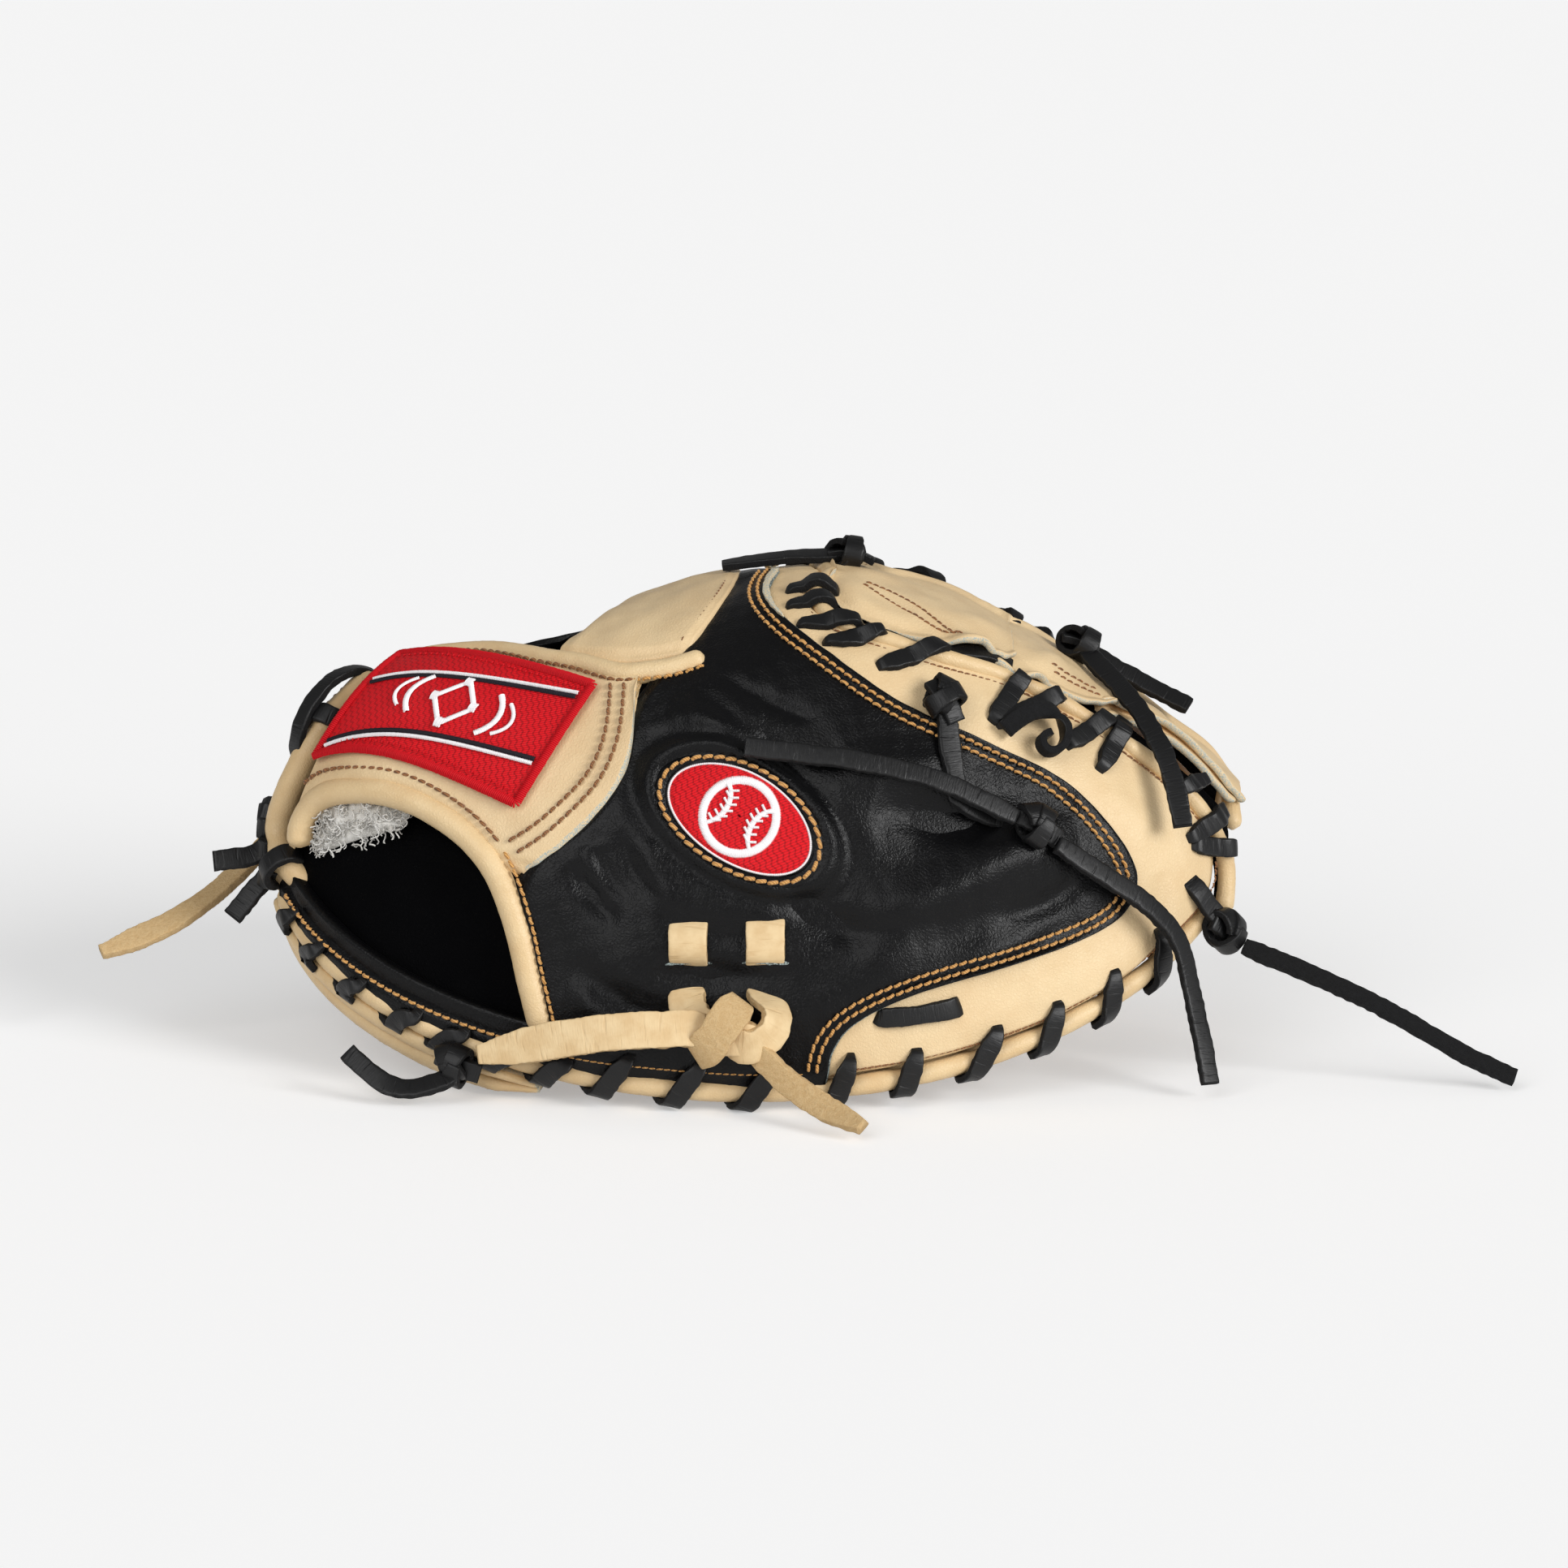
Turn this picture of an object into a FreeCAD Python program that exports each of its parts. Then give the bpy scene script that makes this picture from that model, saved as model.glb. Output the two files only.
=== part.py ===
"""Catcher's mitt, lying palm down with its pocket over the floor.

Millimetres. +X runs from the heel to the tip of the web, -Y is the thumb side,
+Z is up, and the origin is on the floor under the middle of the mitt. The mitt is
a long shell: seen from the end it is an arch, with the back of the hand outside
and the pocket inside. Every skin is a patch of that arch, named by two numbers:
its place along the mitt (x) and its turn round the arch, from 0 at the thumb's
rim, through a quarter turn at the crest, to a half turn at the fingers' rim.
"""
import FreeCAD, Part

import math
import os

from FreeCAD import Placement, Rotation, Vector

DOC = FreeCAD.newDocument("CatchersMitt")

DIMENSIONS = {
    "half_length": (155.0, "middle of the mitt to either end"),
    "half_depth": (88.0, "crest line to either rim"),
    "heel_rise": (59.0, "floor to the rim at the heel"),
    "tip_rise": (77.0, "floor to the rim at the web's tip"),
    "fullness": (2.4, "exponent of the arch: 2 is an ellipse"),
    "wall": (14.0, "thickness of the whole wall at its rim"),
    "pocket_rise": (0.69, "pocket's height over the arch's, at the palm"),
    "web_rise": (0.93, "pocket's height over the arch's, at the web"),
    "leather": (3.0, "thickness of a leather skin"),
    "lining": (2.0, "thickness of the hand's lining"),
    "padding_share": (0.26, "padding's share of the wall"),
    "stiffener": (1.6, "thickness of the plastic stays"),
    "roll": (3.2, "radius of a rolled leather binding"),
    "lace_width": (6.2, "width of a rawhide lace"),
    "lace_gauge": (2.8, "thickness of a rawhide lace"),
    "wrap_rise": (8.0, "rim roll's centre to a lace's hole in the skin"),
    "wrist_wrap_rise": (3.5, "the same where the hand goes in"),
    "tail_radius": (3.0, "radius of a free lace"),
    "wide_tail_radius": (4.6, "radius of the wide loop lace"),
    "break_offset": (30.0, "crest line to the fold on either side"),
    "seam_gap": (0.3, "gap between neighbouring skins"),
    "strap_gauge": (4.0, "thickness of the wrist strap"),
    "emblem_length": (52.0, "oval emblem, long way"),
    "emblem_width": (33.0, "oval emblem, short way"),
    "emblem_border": (4.0, "padded border round the emblem"),
    "badge_gauge": (1.8, "thickness of an embroidered patch"),
    "pad_gauge": (9.0, "thickness of the index finger's pad"),
    "band_width": (12.0, "loop lace where it shows through the shell"),
    "band_height": (13.0, "height of that stretch"),
    "curl_radius": (8.0, "radius of the curled lace end"),
    "knot_length": (8.5, "knot, half its length"),
    "knot_width": (6.5, "knot, half its width"),
    "knot_height": (5.0, "knot, half its height"),
}


def make_sheet():
    """The driving dimensions, one aliased cell each."""
    sheet = DOC.addObject("Spreadsheet::Sheet", "Dimensions")
    for row, (name, (value, note)) in enumerate(DIMENSIONS.items(), start=1):
        sheet.set(f"A{row}", name)
        sheet.set(f"B{row}", str(value))
        sheet.set(f"C{row}", note)
        sheet.setAlias(f"B{row}", name)
    DOC.recompute()
    return sheet


SHEET = make_sheet()


def size(name):
    """One dimension, read from the sheet."""
    return float(SHEET.get(name))


# ---- smooth lines through a few places


def natural_cubic(knots, values):
    """Second derivatives of the natural cubic through the values at the knots."""
    count = len(knots)
    upper = [0.0] * count
    right = [0.0] * count
    for i in range(1, count - 1):
        before = knots[i] - knots[i - 1]
        after = knots[i + 1] - knots[i]
        bend = 6 * ((values[i + 1] - values[i]) / after - (values[i] - values[i - 1]) / before)
        pivot = 2 * (before + after) - before * upper[i - 1]
        upper[i] = after / pivot
        right[i] = (bend - before * right[i - 1]) / pivot
    for i in range(count - 2, 0, -1):
        right[i] -= upper[i] * right[i + 1]
    return right


def smooth(points):
    """A smooth line through the points, as a function of 0 to 1."""
    knots = [i / (len(points) - 1) for i in range(len(points))]
    columns = list(zip(*points))
    seconds = [natural_cubic(knots, column) for column in columns]

    def at(t):
        i = min(int(t * (len(knots) - 1)), len(knots) - 2)
        step = knots[i + 1] - knots[i]
        a = (knots[i + 1] - t) / step
        b = (t - knots[i]) / step
        place = []
        for column, second in zip(columns, seconds):
            swing = (a**3 - a) * second[i] + (b**3 - b) * second[i + 1]
            place.append(a * column[i] + b * column[i + 1] + swing * step * step / 6)
        return tuple(place)

    return at


def part_of(line, start, end):
    """The stretch of a line between two of its fractions."""
    return lambda t: line(start + (end - start) * t)


# ---- the arch

CREST = smooth([
    (-155, 64), (-150, 84), (-135, 108), (-105, 124), (-60, 133), (-5, 149),
    (40, 147), (80, 132), (115, 112), (140, 94), (155, 76),
])


def crest_height(x):
    """Height of the crest line over the floor."""
    low = 0.0
    high = 1.0
    for _ in range(40):
        middle = (low + high) / 2
        if CREST(middle)[0] < x:
            low = middle
        else:
            high = middle
    return CREST(low)[1]


def flare(x):
    """How far the arch is spread, 1 at the middle and 0 at its ends."""
    return math.sqrt(max(0.0, 1 - (x / size("half_length")) ** 2))


def rim_height(x):
    """Height of the rims over the floor."""
    rise = size("heel_rise") if x < 0 else size("tip_rise")
    return rise * (1 - flare(x))


def pocket_share(x):
    """The pocket's height over the arch's: it is deeper under the web."""
    ramp = min(1.0, max(0.0, (x + 20) / 75))
    ease = ramp * ramp * (3 - 2 * ramp)
    return size("pocket_rise") + (size("web_rise") - size("pocket_rise")) * ease


SECTIONS = {}


def section(x):
    """Spread, rim height, crest height and pocket share at x."""
    key = round(x, 4)
    if key not in SECTIONS:
        SECTIONS[key] = (flare(x), rim_height(x), crest_height(x), pocket_share(x))
    return SECTIONS[key]


def arch_point(x, turn, inside):
    """A point of the outer arch, or of the pocket's arch."""
    spread, rim, crest, share = section(x)
    power = 2 / size("fullness")
    cosine = math.cos(turn)
    side = math.copysign(abs(cosine) ** power, -cosine)
    lift = abs(math.sin(turn)) ** power
    if not inside:
        return Vector(x, size("half_depth") * spread * side, rim + (crest - rim) * lift)
    inner_x = x * (1 - size("wall") / size("half_length"))
    inner_y = (size("half_depth") - size("wall")) * spread * side
    return Vector(inner_x, inner_y, rim + share * (crest - rim) * lift)


def wall_place(x, turn, depth):
    """A point inside the wall. depth(wall) gives its depth under the back."""
    outer = arch_point(x, turn, False)
    through = arch_point(x, turn, True) - outer
    return outer + through * (depth(through.Length) / through.Length)


def turn_at_height(x, height):
    """Turn of the thumb side's point at this height."""
    spread, rim, crest, share = section(x)
    lift = min(1.0, max(0.0, (height - rim) / (crest - rim)))
    return math.asin(lift ** (size("fullness") / 2))


def turn_at_side(x, y):
    """Turn of the crest's point this far from the crest line."""
    spread = section(x)[0]
    share = min(1.0, abs(y) / (size("half_depth") * spread))
    return math.acos(math.copysign(share ** (size("fullness") / 2), -y))


def place_near(x, y, height):
    """The arch's place nearest to a point beside it."""
    spread, rim, crest, share = section(x)
    power = size("fullness") / 2
    reach = min(1.0, abs(y) / (size("half_depth") * spread))
    lift = min(1.0, max(0.0, (height - rim) / (crest - rim)))
    return (x, math.atan2(lift**power, math.copysign(reach**power, -y)))


def traced(points):
    """A smooth line on the arch past points (x, y, height) beside it."""
    return smooth([place_near(*point) for point in points])


def seen_from_above(points):
    """A smooth line on the arch over places (x, y)."""
    return smooth([(x, turn_at_side(x, y)) for x, y in points])


def above_rim(start, end, height):
    """The line on the thumb side that stays this far above the rim."""
    def at(t):
        x = start + (end - start) * t
        return (x, turn_at_height(x, rim_height(x) + height))
    return at


def across(line):
    """The same line on the fingers' side."""
    def at(t):
        x, turn = line(t)
        return (x, math.pi - turn)
    return at


def shifted(line, along=0.0, turned=0.0):
    """A line moved along the mitt and round the arch."""
    def at(t):
        x, turn = line(t)
        return (x + along, turn + turned)
    return at


def straight(start, end):
    """A straight line between two places of the arch."""
    return lambda t: tuple(a + (b - a) * t for a, b in zip(start, end))


# ---- depths in the wall


def deep(value):
    """A fixed depth under the back."""
    return lambda wall: value


def from_pocket(value):
    """A fixed distance from the pocket's face."""
    return lambda wall: wall - value


def padding_top(wall):
    """Depth of the padding's upper face."""
    return wall - size("leather") - size("padding_share") * (wall - size("lining"))


def lining_top(wall):
    """Depth of the lining's upper face."""
    return padding_top(wall) - size("lining")


# ---- patches, rolls and laces


def between(first, second):
    """The patch ruled between two lines."""
    def at(s, t):
        return tuple(a + (b - a) * s for a, b in zip(first(t), second(t)))
    return at


def framed(bottom, top, left, right):
    """The patch inside four lines that meet at its corners."""
    def at(s, t):
        place = []
        for axis in range(2):
            ruled = (1 - t) * bottom(s)[axis] + t * top(s)[axis]
            sided = (1 - s) * left(t)[axis] + s * right(t)[axis]
            low = (1 - s) * bottom(0)[axis] + s * bottom(1)[axis]
            high = (1 - s) * top(0)[axis] + s * top(1)[axis]
            place.append(ruled + sided - (1 - t) * low - t * high)
        return tuple(place)
    return at


def surface(place, rows, columns):
    """The smooth surface through a grid of points."""
    grid = []
    for i in range(rows):
        grid.append([place(i / (rows - 1), j / (columns - 1)) for j in range(columns)])
    skin = Part.BSplineSurface()
    skin.interpolate(grid)
    return skin


def border(skin, side):
    """One of a surface's four edges."""
    u_low, u_high, v_low, v_high = skin.bounds()
    if side < 2:
        return skin.uIso((u_low, u_high)[side]).toShape()
    return skin.vIso((v_low, v_high)[side - 2]).toShape()


def closed(faces):
    """The solid inside a set of faces."""
    shell = Part.makeShell(faces)
    shell.sewShape()
    solid = Part.makeSolid(shell)
    if solid.Volume < 0:
        solid.reverse()
    return solid


def between_skins(skins):
    """The solid between two surfaces whose edges match."""
    faces = [skin.toShape() for skin in skins]
    for side in range(4):
        faces.append(Part.makeRuledSurface(border(skins[0], side), border(skins[1], side)))
    return closed(faces)


def slab(patch, top, bottom, rows=13, columns=13):
    """A skin over a patch, between two depths of the wall."""
    skins = []
    for depth in (top, bottom):
        def place(s, t, depth=depth):
            x, turn = patch(s, t)
            return wall_place(x, turn, depth)
        skins.append(surface(place, rows, columns))
    return between_skins(skins)


def frame_at(line, t, depth):
    """Centre, outward, onward and sideways directions of a line in the wall."""
    step = 0.002
    before = max(0.0, t - step)
    after = min(1.0, t + step)
    x, turn = line(t)
    centre = wall_place(x, turn, depth)
    onward = (wall_place(*line(after), depth) - wall_place(*line(before), depth)).normalize()
    outward = outward_at(x, turn)
    outward = (outward - onward * outward.dot(onward)).normalize()
    return centre, outward, onward, outward.cross(onward).normalize()


def roll(line, depth, radius, rows=25):
    """A round binding along a line, a little flattened where its two halves meet."""
    reach = math.radians(82)
    skins = []
    for middle, way in ((0.0, 1), (math.pi, -1)):
        def place(s, t, middle=middle, way=way):
            centre, outward, onward, sideways = frame_at(line, s, depth)
            angle = middle + way * reach * (2 * t - 1)
            return centre + outward * (radius * math.cos(angle)) + sideways * (radius * math.sin(angle))
        skins.append(surface(place, rows, 7))
    return between_skins(skins)


def lace_wrap(line, t, depth, side, rise, curl, inner):
    """A lace that stands on a panel and turns round the binding beside it."""
    outer = inner + size("lace_gauge") - 0.1
    centre, outward, onward, sideways = frame_at(line, t, depth)
    beyond = sideways * side
    angles = [math.radians(curl * step / 4) for step in range(5)]
    path = [(outer, -rise)]
    path += [(outer * math.cos(angle), outer * math.sin(angle)) for angle in angles]
    path += [(inner * math.cos(angle), inner * math.sin(angle)) for angle in reversed(angles)]
    path += [(inner, -rise), (outer, -rise)]
    start = centre - onward * (size("lace_width") / 2)
    corners = [start + outward * out + beyond * far for out, far in path]
    face = Part.Face(Part.makePolygon(corners))
    return face.extrude(onward * size("lace_width"))


# ---- document objects

NODES = []


def keep(thing, label):
    """Label an object as one of the mitt's pieces."""
    thing.Label = label
    NODES.append(thing)
    return thing


def feature(label, shape):
    """A freeform piece."""
    thing = DOC.addObject("Part::Feature", label + "_shape")
    thing.Shape = shape
    thing.Placement = Placement()
    return keep(thing, label)


def pieces(label, solids):
    """Several small solids that are one piece."""
    return feature(label, Part.makeCompound(solids))


def facing(direction, along=Vector(1, 0, 0)):
    """The turn that brings Z to a direction and X near another."""
    normal = Vector(direction).normalize()
    side = normal.cross(along).normalize()
    return Rotation(side.cross(normal), side, normal, "ZXY")


def ellipse_prism(name, point, direction, along, grown):
    """A PartDesign pad of the emblem's ellipse, grown all round, at a point of the back."""
    body = DOC.addObject("PartDesign::Body", name)
    plane = next(o for o in body.Origin.OriginFeatures if o.Role == "XY_Plane")
    sketch = body.newObject("Sketcher::SketchObject", name + "_outline")
    sketch.AttachmentSupport = [(plane, "")]
    sketch.MapMode = "FlatFace"
    long_radius = (size("emblem_length") + grown) / 2
    short_radius = (size("emblem_width") + grown) / 2
    oval = sketch.addGeometry(Part.Ellipse(Vector(), long_radius, short_radius))
    sketch.exposeInternalGeometry(oval)
    DOC.recompute()
    pad = body.newObject("PartDesign::Pad", name + "_pad")
    pad.Profile = sketch
    pad.Midplane = True
    pad.setExpression("Length", "Dimensions.emblem_width")
    body.Placement = Placement(point, facing(direction, along))
    return body


def knot(label, point, direction, along):
    """A pulled knot of lace."""
    thing = DOC.addObject("Part::Ellipsoid", label + "_ball")
    thing.setExpression("Radius1", "Dimensions.knot_height")
    thing.setExpression("Radius2", "Dimensions.knot_length")
    thing.setExpression("Radius3", "Dimensions.knot_width")
    thing.Placement = Placement(point, facing(direction, along))
    return keep(thing, label)


def outward_at(x, turn):
    """The direction square to the back."""
    step = 0.001
    turn = min(max(turn, 0.03), math.pi - 0.03)
    along = arch_point(x + step, turn, False) - arch_point(x - step, turn, False)
    round_arch = arch_point(x, turn + step, False) - arch_point(x, turn - step, False)
    return along.cross(round_arch).normalize()


def on_back(x, y, z, height):
    """A point square above the back, and the direction away from it there."""
    place = place_near(x, y, z)
    outward = outward_at(*place)
    return arch_point(*place, False) + outward * height, outward


def rounded_path(label, points):
    """Straight runs joined by tangent arcs, as a wire."""
    edges = []
    start = points[0]
    radii = []
    for i in range(1, len(points) - 1):
        back = points[i - 1] - points[i]
        ahead = points[i + 1] - points[i]
        turned = math.pi - back.getAngle(ahead)
        shorter = min(back.Length, ahead.Length)
        tangent = 0.45 * shorter
        radii.append(tangent / math.tan(turned / 2))
        first = points[i] + back.normalize() * tangent
        last = points[i] + ahead.normalize() * tangent
        bisector = (back + ahead).normalize()
        sagitta = radii[-1] * (1 / math.cos(turned / 2) - 1)
        middle = points[i] + bisector * sagitta
        edges.append(Part.LineSegment(start, first).toShape())
        edges.append(Part.Arc(first, middle, last).toShape())
        start = last
    edges.append(Part.LineSegment(start, points[-1]).toShape())
    print(label, "bend radii", [round(radius, 1) for radius in radii])
    return Part.Wire(edges)


def cord(label, points, radius_name):
    """A free lace along a route."""
    wire = rounded_path(label, points)
    spine = DOC.addObject("Part::Feature", label + "_spine")
    spine.Shape = wire
    ring = DOC.addObject("Part::Circle", label + "_ring")
    ring.setExpression("Radius", "Dimensions." + radius_name)
    ring.Placement = Placement(points[0], Rotation(Vector(0, 0, 1), points[1] - points[0]))
    sweep = DOC.addObject("Part::Sweep", label + "_sweep")
    sweep.Sections = [ring]
    sweep.Spine = (spine, [f"Edge{i + 1}" for i in range(len(wire.Edges))])
    sweep.Solid = True
    sweep.Frenet = False
    DOC.recompute()
    expected = math.pi * size(radius_name) ** 2 * wire.Length
    ratio = sweep.Shape.Volume / expected
    print(label, "length", round(wire.Length, 1), "volume ratio", round(ratio, 3))
    return keep(sweep, label)


# ---- the lines that the pieces share

RIM_LIFT = size("roll") + size("lace_gauge") + 0.3
SKIRT = RIM_LIFT + size("roll") + 0.3
LACE_FIT = 0.3
RIM_SPAN = (-134, 141)
PALM_END = 137
WRIST_END = -62
RIM_WRAPS = (-124, -110, -96, -80, -64, -46, -24, -2, 24, 45, 67, 88, 107, 123)

WEB_WRAPS = (0.07, 0.145, 0.22, 0.32, 0.48, 0.745, 0.86, 0.96)
WEB_WRAP_RISE = 7
STRAP_WRAPS = (0.55, 0.7, 0.85)
STRAP_WRAP_RISE = 8
RIM_CURL = 75
SIDE_CURL = 90
CURLED_END = (85, -55, 101)
WEB_PANELS = {"crown": (0, 0.43), "middle": (0.445, 0.75), "tip": (0.765, 1)}
LABEL_INSET = (0.12, 0.93, 0.14, 0.9)
FLEECE_INSET = (0.06, 0.9, 0.1, 0.92)
BAND_PLACES = (-21, 2)
BAND_FOOT = 45

SHELL_HEEL_EDGE = traced([
    (-60, -80, 14.6), (-66, -78, 38), (-71, -74, 58), (-67, -72, 73),
    (-52, -71, 85), (-41, -66, 101), (-36, -54, 119), (-18, -38, 139),
])
SHELL_WEB_EDGE = traced([
    (19, -87, 10.5), (28, -86, 28), (64, -79, 41), (106, -63, 49),
    (113, -57, 63), (91, -57, 92), (39, -62, 114), (2, -36, 142),
])
PANEL_EDGE = traced([
    (25, -87, 11), (62, -79, 16.6), (102, -65, 29.5), (134, -43, 49.5),
    (137, -39, 62), (112, -47, 89), (58, -58, 113), (9, -39, 138),
])
WEB_RIM = traced([
    (143, -34, 58), (134, -37, 79), (112, -43, 98), (90, -48, 108),
    (66, -52, 119), (43, -53, 126), (24, -51, 131), (13, -42, 139),
])
WRIST_EDGE = traced([
    (-66, -80, 22), (-70, -78, 38), (-75, -74, 54), (-79, -69, 66),
])
STRAP_LOW = traced([(-147, -21, 79), (-125, -40, 92), (-104, -52, 93), (-86, -63, 82), (-68, -71, 74)])
STRAP_HIGH = traced([(-117, -3, 119), (-100, -5, 125), (-80, -17, 128), (-58, -33, 128), (-37, -52, 122)])
PALM_SIDE = seen_from_above([
    (-134, -38), (-120, -36), (-100, -33.5), (-80, -32), (-60, -31.5), (-40, -31), (-20, -31),
    (-4, -31.5), (8, -33), (20, -45), (34, -54), (50, -58), (70, -57), (90, -54), (114, -49), (136, -40),
])
CORE_SIDE = seen_from_above([
    (-150, -20), (-142, -32), (-134, -31), (-118, -30), (-100, -30), (-80, -30), (-60, -30),
    (-40, -30), (-20, -30), (-4, -30), (11, -30),
])
WEB_SIDE = seen_from_above([
    (12, -29), (24, -41), (40, -44), (58, -44.5), (74, -43.5), (90, -41), (110, -36), (126, -31), (147, -22),
])


def end_arc(x, start):
    """The line round the arch at x, from one rim to the other."""
    return straight((x, start), (x, math.pi - start))


# ---- each half: palm, padding, lining, rim


def half_skins(prefix, mirror):
    """Palm skin, padding and hand lining of one half."""
    low = mirror(above_rim(-134, 136, SKIRT / size("pocket_rise")))
    patch = between(low, mirror(PALM_SIDE))
    feature(prefix + "_palm", slab(patch, from_pocket(size("leather")), deep_wall, 13, 25))
    feature(prefix + "_padding", slab(patch, padding_top, from_pocket(size("leather")), 13, 25))
    feature(prefix + "_lining", slab(patch, lining_top, padding_top, 13, 25))


def deep_wall(wall):
    """Depth of the pocket's face."""
    return wall


def half_rim(prefix, mirror, side, heel_rise):
    """Rolled bindings along one rim, and the lace that whips them."""
    start, end = RIM_SPAN
    outer = mirror(above_rim(start, end, RIM_LIFT))
    inner = mirror(above_rim(start, PALM_END, RIM_LIFT / size("pocket_rise")))
    radius = size("roll")
    feature(prefix + "_rim_binding", roll(outer, deep(radius), radius, 33))
    feature(prefix + "_palm_binding", roll(inner, from_pocket(radius), radius))
    wraps = []
    for x in RIM_WRAPS:
        rise = size("wrap_rise") if x > WRIST_END else heel_rise
        place = (x - start) / (end - start)
        wraps.append(lace_wrap(outer, place, deep(radius), side, rise, RIM_CURL, radius + LACE_FIT))
    if prefix == "thumb":
        wraps.append(flat_lace([(38, -85, 29), (48, -83, 30), (59, -81, 31)]))
    pieces(prefix + "_rim_lace", wraps)


def same(line):
    """The thumb side's own line."""
    return line


# ---- the thumb half


def thumb_back():
    """Black shell over the thumb, tan panel beside the web, plastic stay."""
    shell = between(SHELL_HEEL_EDGE, SHELL_WEB_EDGE)
    feature("thumb_back_shell", slab(shell, deep(0), deep(size("leather")), 21, 25))
    panel = between(shifted(SHELL_WEB_EDGE, along=size("seam_gap")), PANEL_EDGE)
    feature("thumb_rim_panel", slab(panel, deep(0), deep(size("leather")), 9, 29))
    stay_top = size("leather") + size("seam_gap")
    stay = framed(
        straight(place_near(-40, -85, 24), place_near(24, -87, 30)),
        straight(place_near(-30, -70, 96), place_near(50, -66, 100)),
        straight(place_near(-40, -85, 24), place_near(-30, -70, 96)),
        straight(place_near(24, -87, 30), place_near(50, -66, 100)),
    )
    feature("thumb_stay", slab(stay, deep(stay_top), deep(stay_top + size("stiffener")), 7, 7))


def thumb_bindings():
    """Rolled edges of the web side and of the wrist opening."""
    radius = size("roll")
    feature("web_rim_binding", roll(WEB_RIM, deep(radius), radius))
    feature("wrist_binding", roll(WRIST_EDGE, deep(radius), radius, 13))
    inner = radius + LACE_FIT + 0.1
    wraps = [lace_wrap(WEB_RIM, t, deep(radius), -1, WEB_WRAP_RISE, SIDE_CURL, inner) for t in WEB_WRAPS]
    wraps.append(curled_end())
    pieces("web_rim_lace", wraps)


def curled_end():
    """The cut end of the web's lace, which curls up beside its last stitch."""
    up = Vector(0, 0, 1)
    curl = Part.makeTorus(size("curl_radius"), size("lace_gauge") * 0.9, Vector(), up, 0, 360, 200)
    point, outward = on_back(*CURLED_END, 2 * size("roll"))
    curl.Placement = Placement(point, facing(outward, up))
    return curl


def emblem():
    """Oval embroidered patch on the shell, inside a padded border."""
    centre, outward = on_back(-5, -77, 87, 0)
    along = on_back(16, -80, 75, 0)[0] - on_back(-27, -69, 100, 0)[0]
    low = straight(place_near(-44, -82, 56), place_near(34, -84, 56))
    high = straight(place_near(-36, -60, 116), place_near(32, -56, 122))
    cover = DOC.addObject("Part::Feature", "emblem_cover")
    cover.Shape = slab(between(low, high), deep(-size("badge_gauge")), deep(-0.1), 9, 9)
    patch = ellipse_prism("emblem_prism", centre, outward, along, 0)
    rim = ellipse_prism("emblem_outer_prism", centre, outward, along, 2 * size("emblem_border"))
    hollow = ellipse_prism("emblem_inner_prism", centre, outward, along, size("seam_gap"))
    keep(combined("Part::Common", "emblem_patch_disc", cover, patch), "emblem_patch")
    disc = combined("Part::Common", "emblem_border_disc", cover, rim)
    keep(combined("Part::Cut", "emblem_border_ring", disc, hollow), "emblem_border")


def combined(kind, name, base, tool):
    """A boolean of two objects."""
    thing = DOC.addObject(kind, name)
    thing.Base = base
    thing.Tool = tool
    return thing


def thumb_loop():
    """Tan thumb loop: two stretches of lace woven through the shell, and their knot."""
    half = size("band_width") / 2
    top = BAND_FOOT + size("band_height")
    bands = []
    for x in BAND_PLACES:
        low = straight(place_near(x - half, -85, BAND_FOOT), place_near(x + half, -85, BAND_FOOT))
        high = straight(place_near(x - half, -83, top), place_near(x + half, -83, top))
        bands.append(slab(between(low, high), deep(-1.2), deep(-0.1), 5, 5))
    pieces("thumb_loop_bands", bands)
    knot("thumb_loop_knot", Vector(-9, -93.5, 28), Vector(0, -1, 0.1), Vector(1, 0, 0))


def strap():
    """Wrist strap, its fleece, its embroidered label, its bindings and its lacing."""
    left = straight(STRAP_LOW(0), STRAP_HIGH(0))
    right = straight(STRAP_LOW(1), STRAP_HIGH(1))
    patch = framed(STRAP_LOW, STRAP_HIGH, left, right)
    gauge = size("strap_gauge")
    feature("wrist_strap", slab(patch, deep(0), deep(gauge), 15, 9))
    under = framed_inset(patch, *FLEECE_INSET)
    feature("strap_fleece", slab(under, deep(gauge + 0.1), deep(gauge + 4), 15, 9))
    field = framed_inset(patch, *LABEL_INSET)
    feature("strap_label", slab(field, deep(-size("badge_gauge")), deep(-0.1), 15, 9))
    radius = size("roll")
    low = part_of(shifted(STRAP_LOW, turned=-0.055), 0.02, 0.9)
    high = shifted(STRAP_HIGH, turned=0.055)
    end = part_of(shifted(left, along=-4), 0.0, 0.9)
    rolls = [roll(line, deep(radius), radius, 17) for line in (low, high, end)]
    pieces("strap_bindings", rolls)
    inner = radius + LACE_FIT + 0.1
    wraps = [lace_wrap(end, t, deep(radius), 1, STRAP_WRAP_RISE, SIDE_CURL, inner) for t in STRAP_WRAPS]
    pieces("strap_lace", wraps)


def framed_inset(patch, s_low, s_high, t_low, t_high):
    """A smaller patch inside another."""
    return lambda s, t: patch(s_low + (s_high - s_low) * s, t_low + (t_high - t_low) * t)


def flat_lace(points):
    """A flat lace that lies on the back along a line."""
    line = traced(points)
    half = size("lace_width") / 2

    def patch(s, t):
        centre, outward, onward, sideways = frame_at(line, t, deep(0))
        spot = centre + sideways * (half * (2 * s - 1))
        return place_near(spot.x, spot.y, spot.z)

    return slab(patch, deep(-size("lace_gauge")), deep(-0.15), 3, 11)


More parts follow.
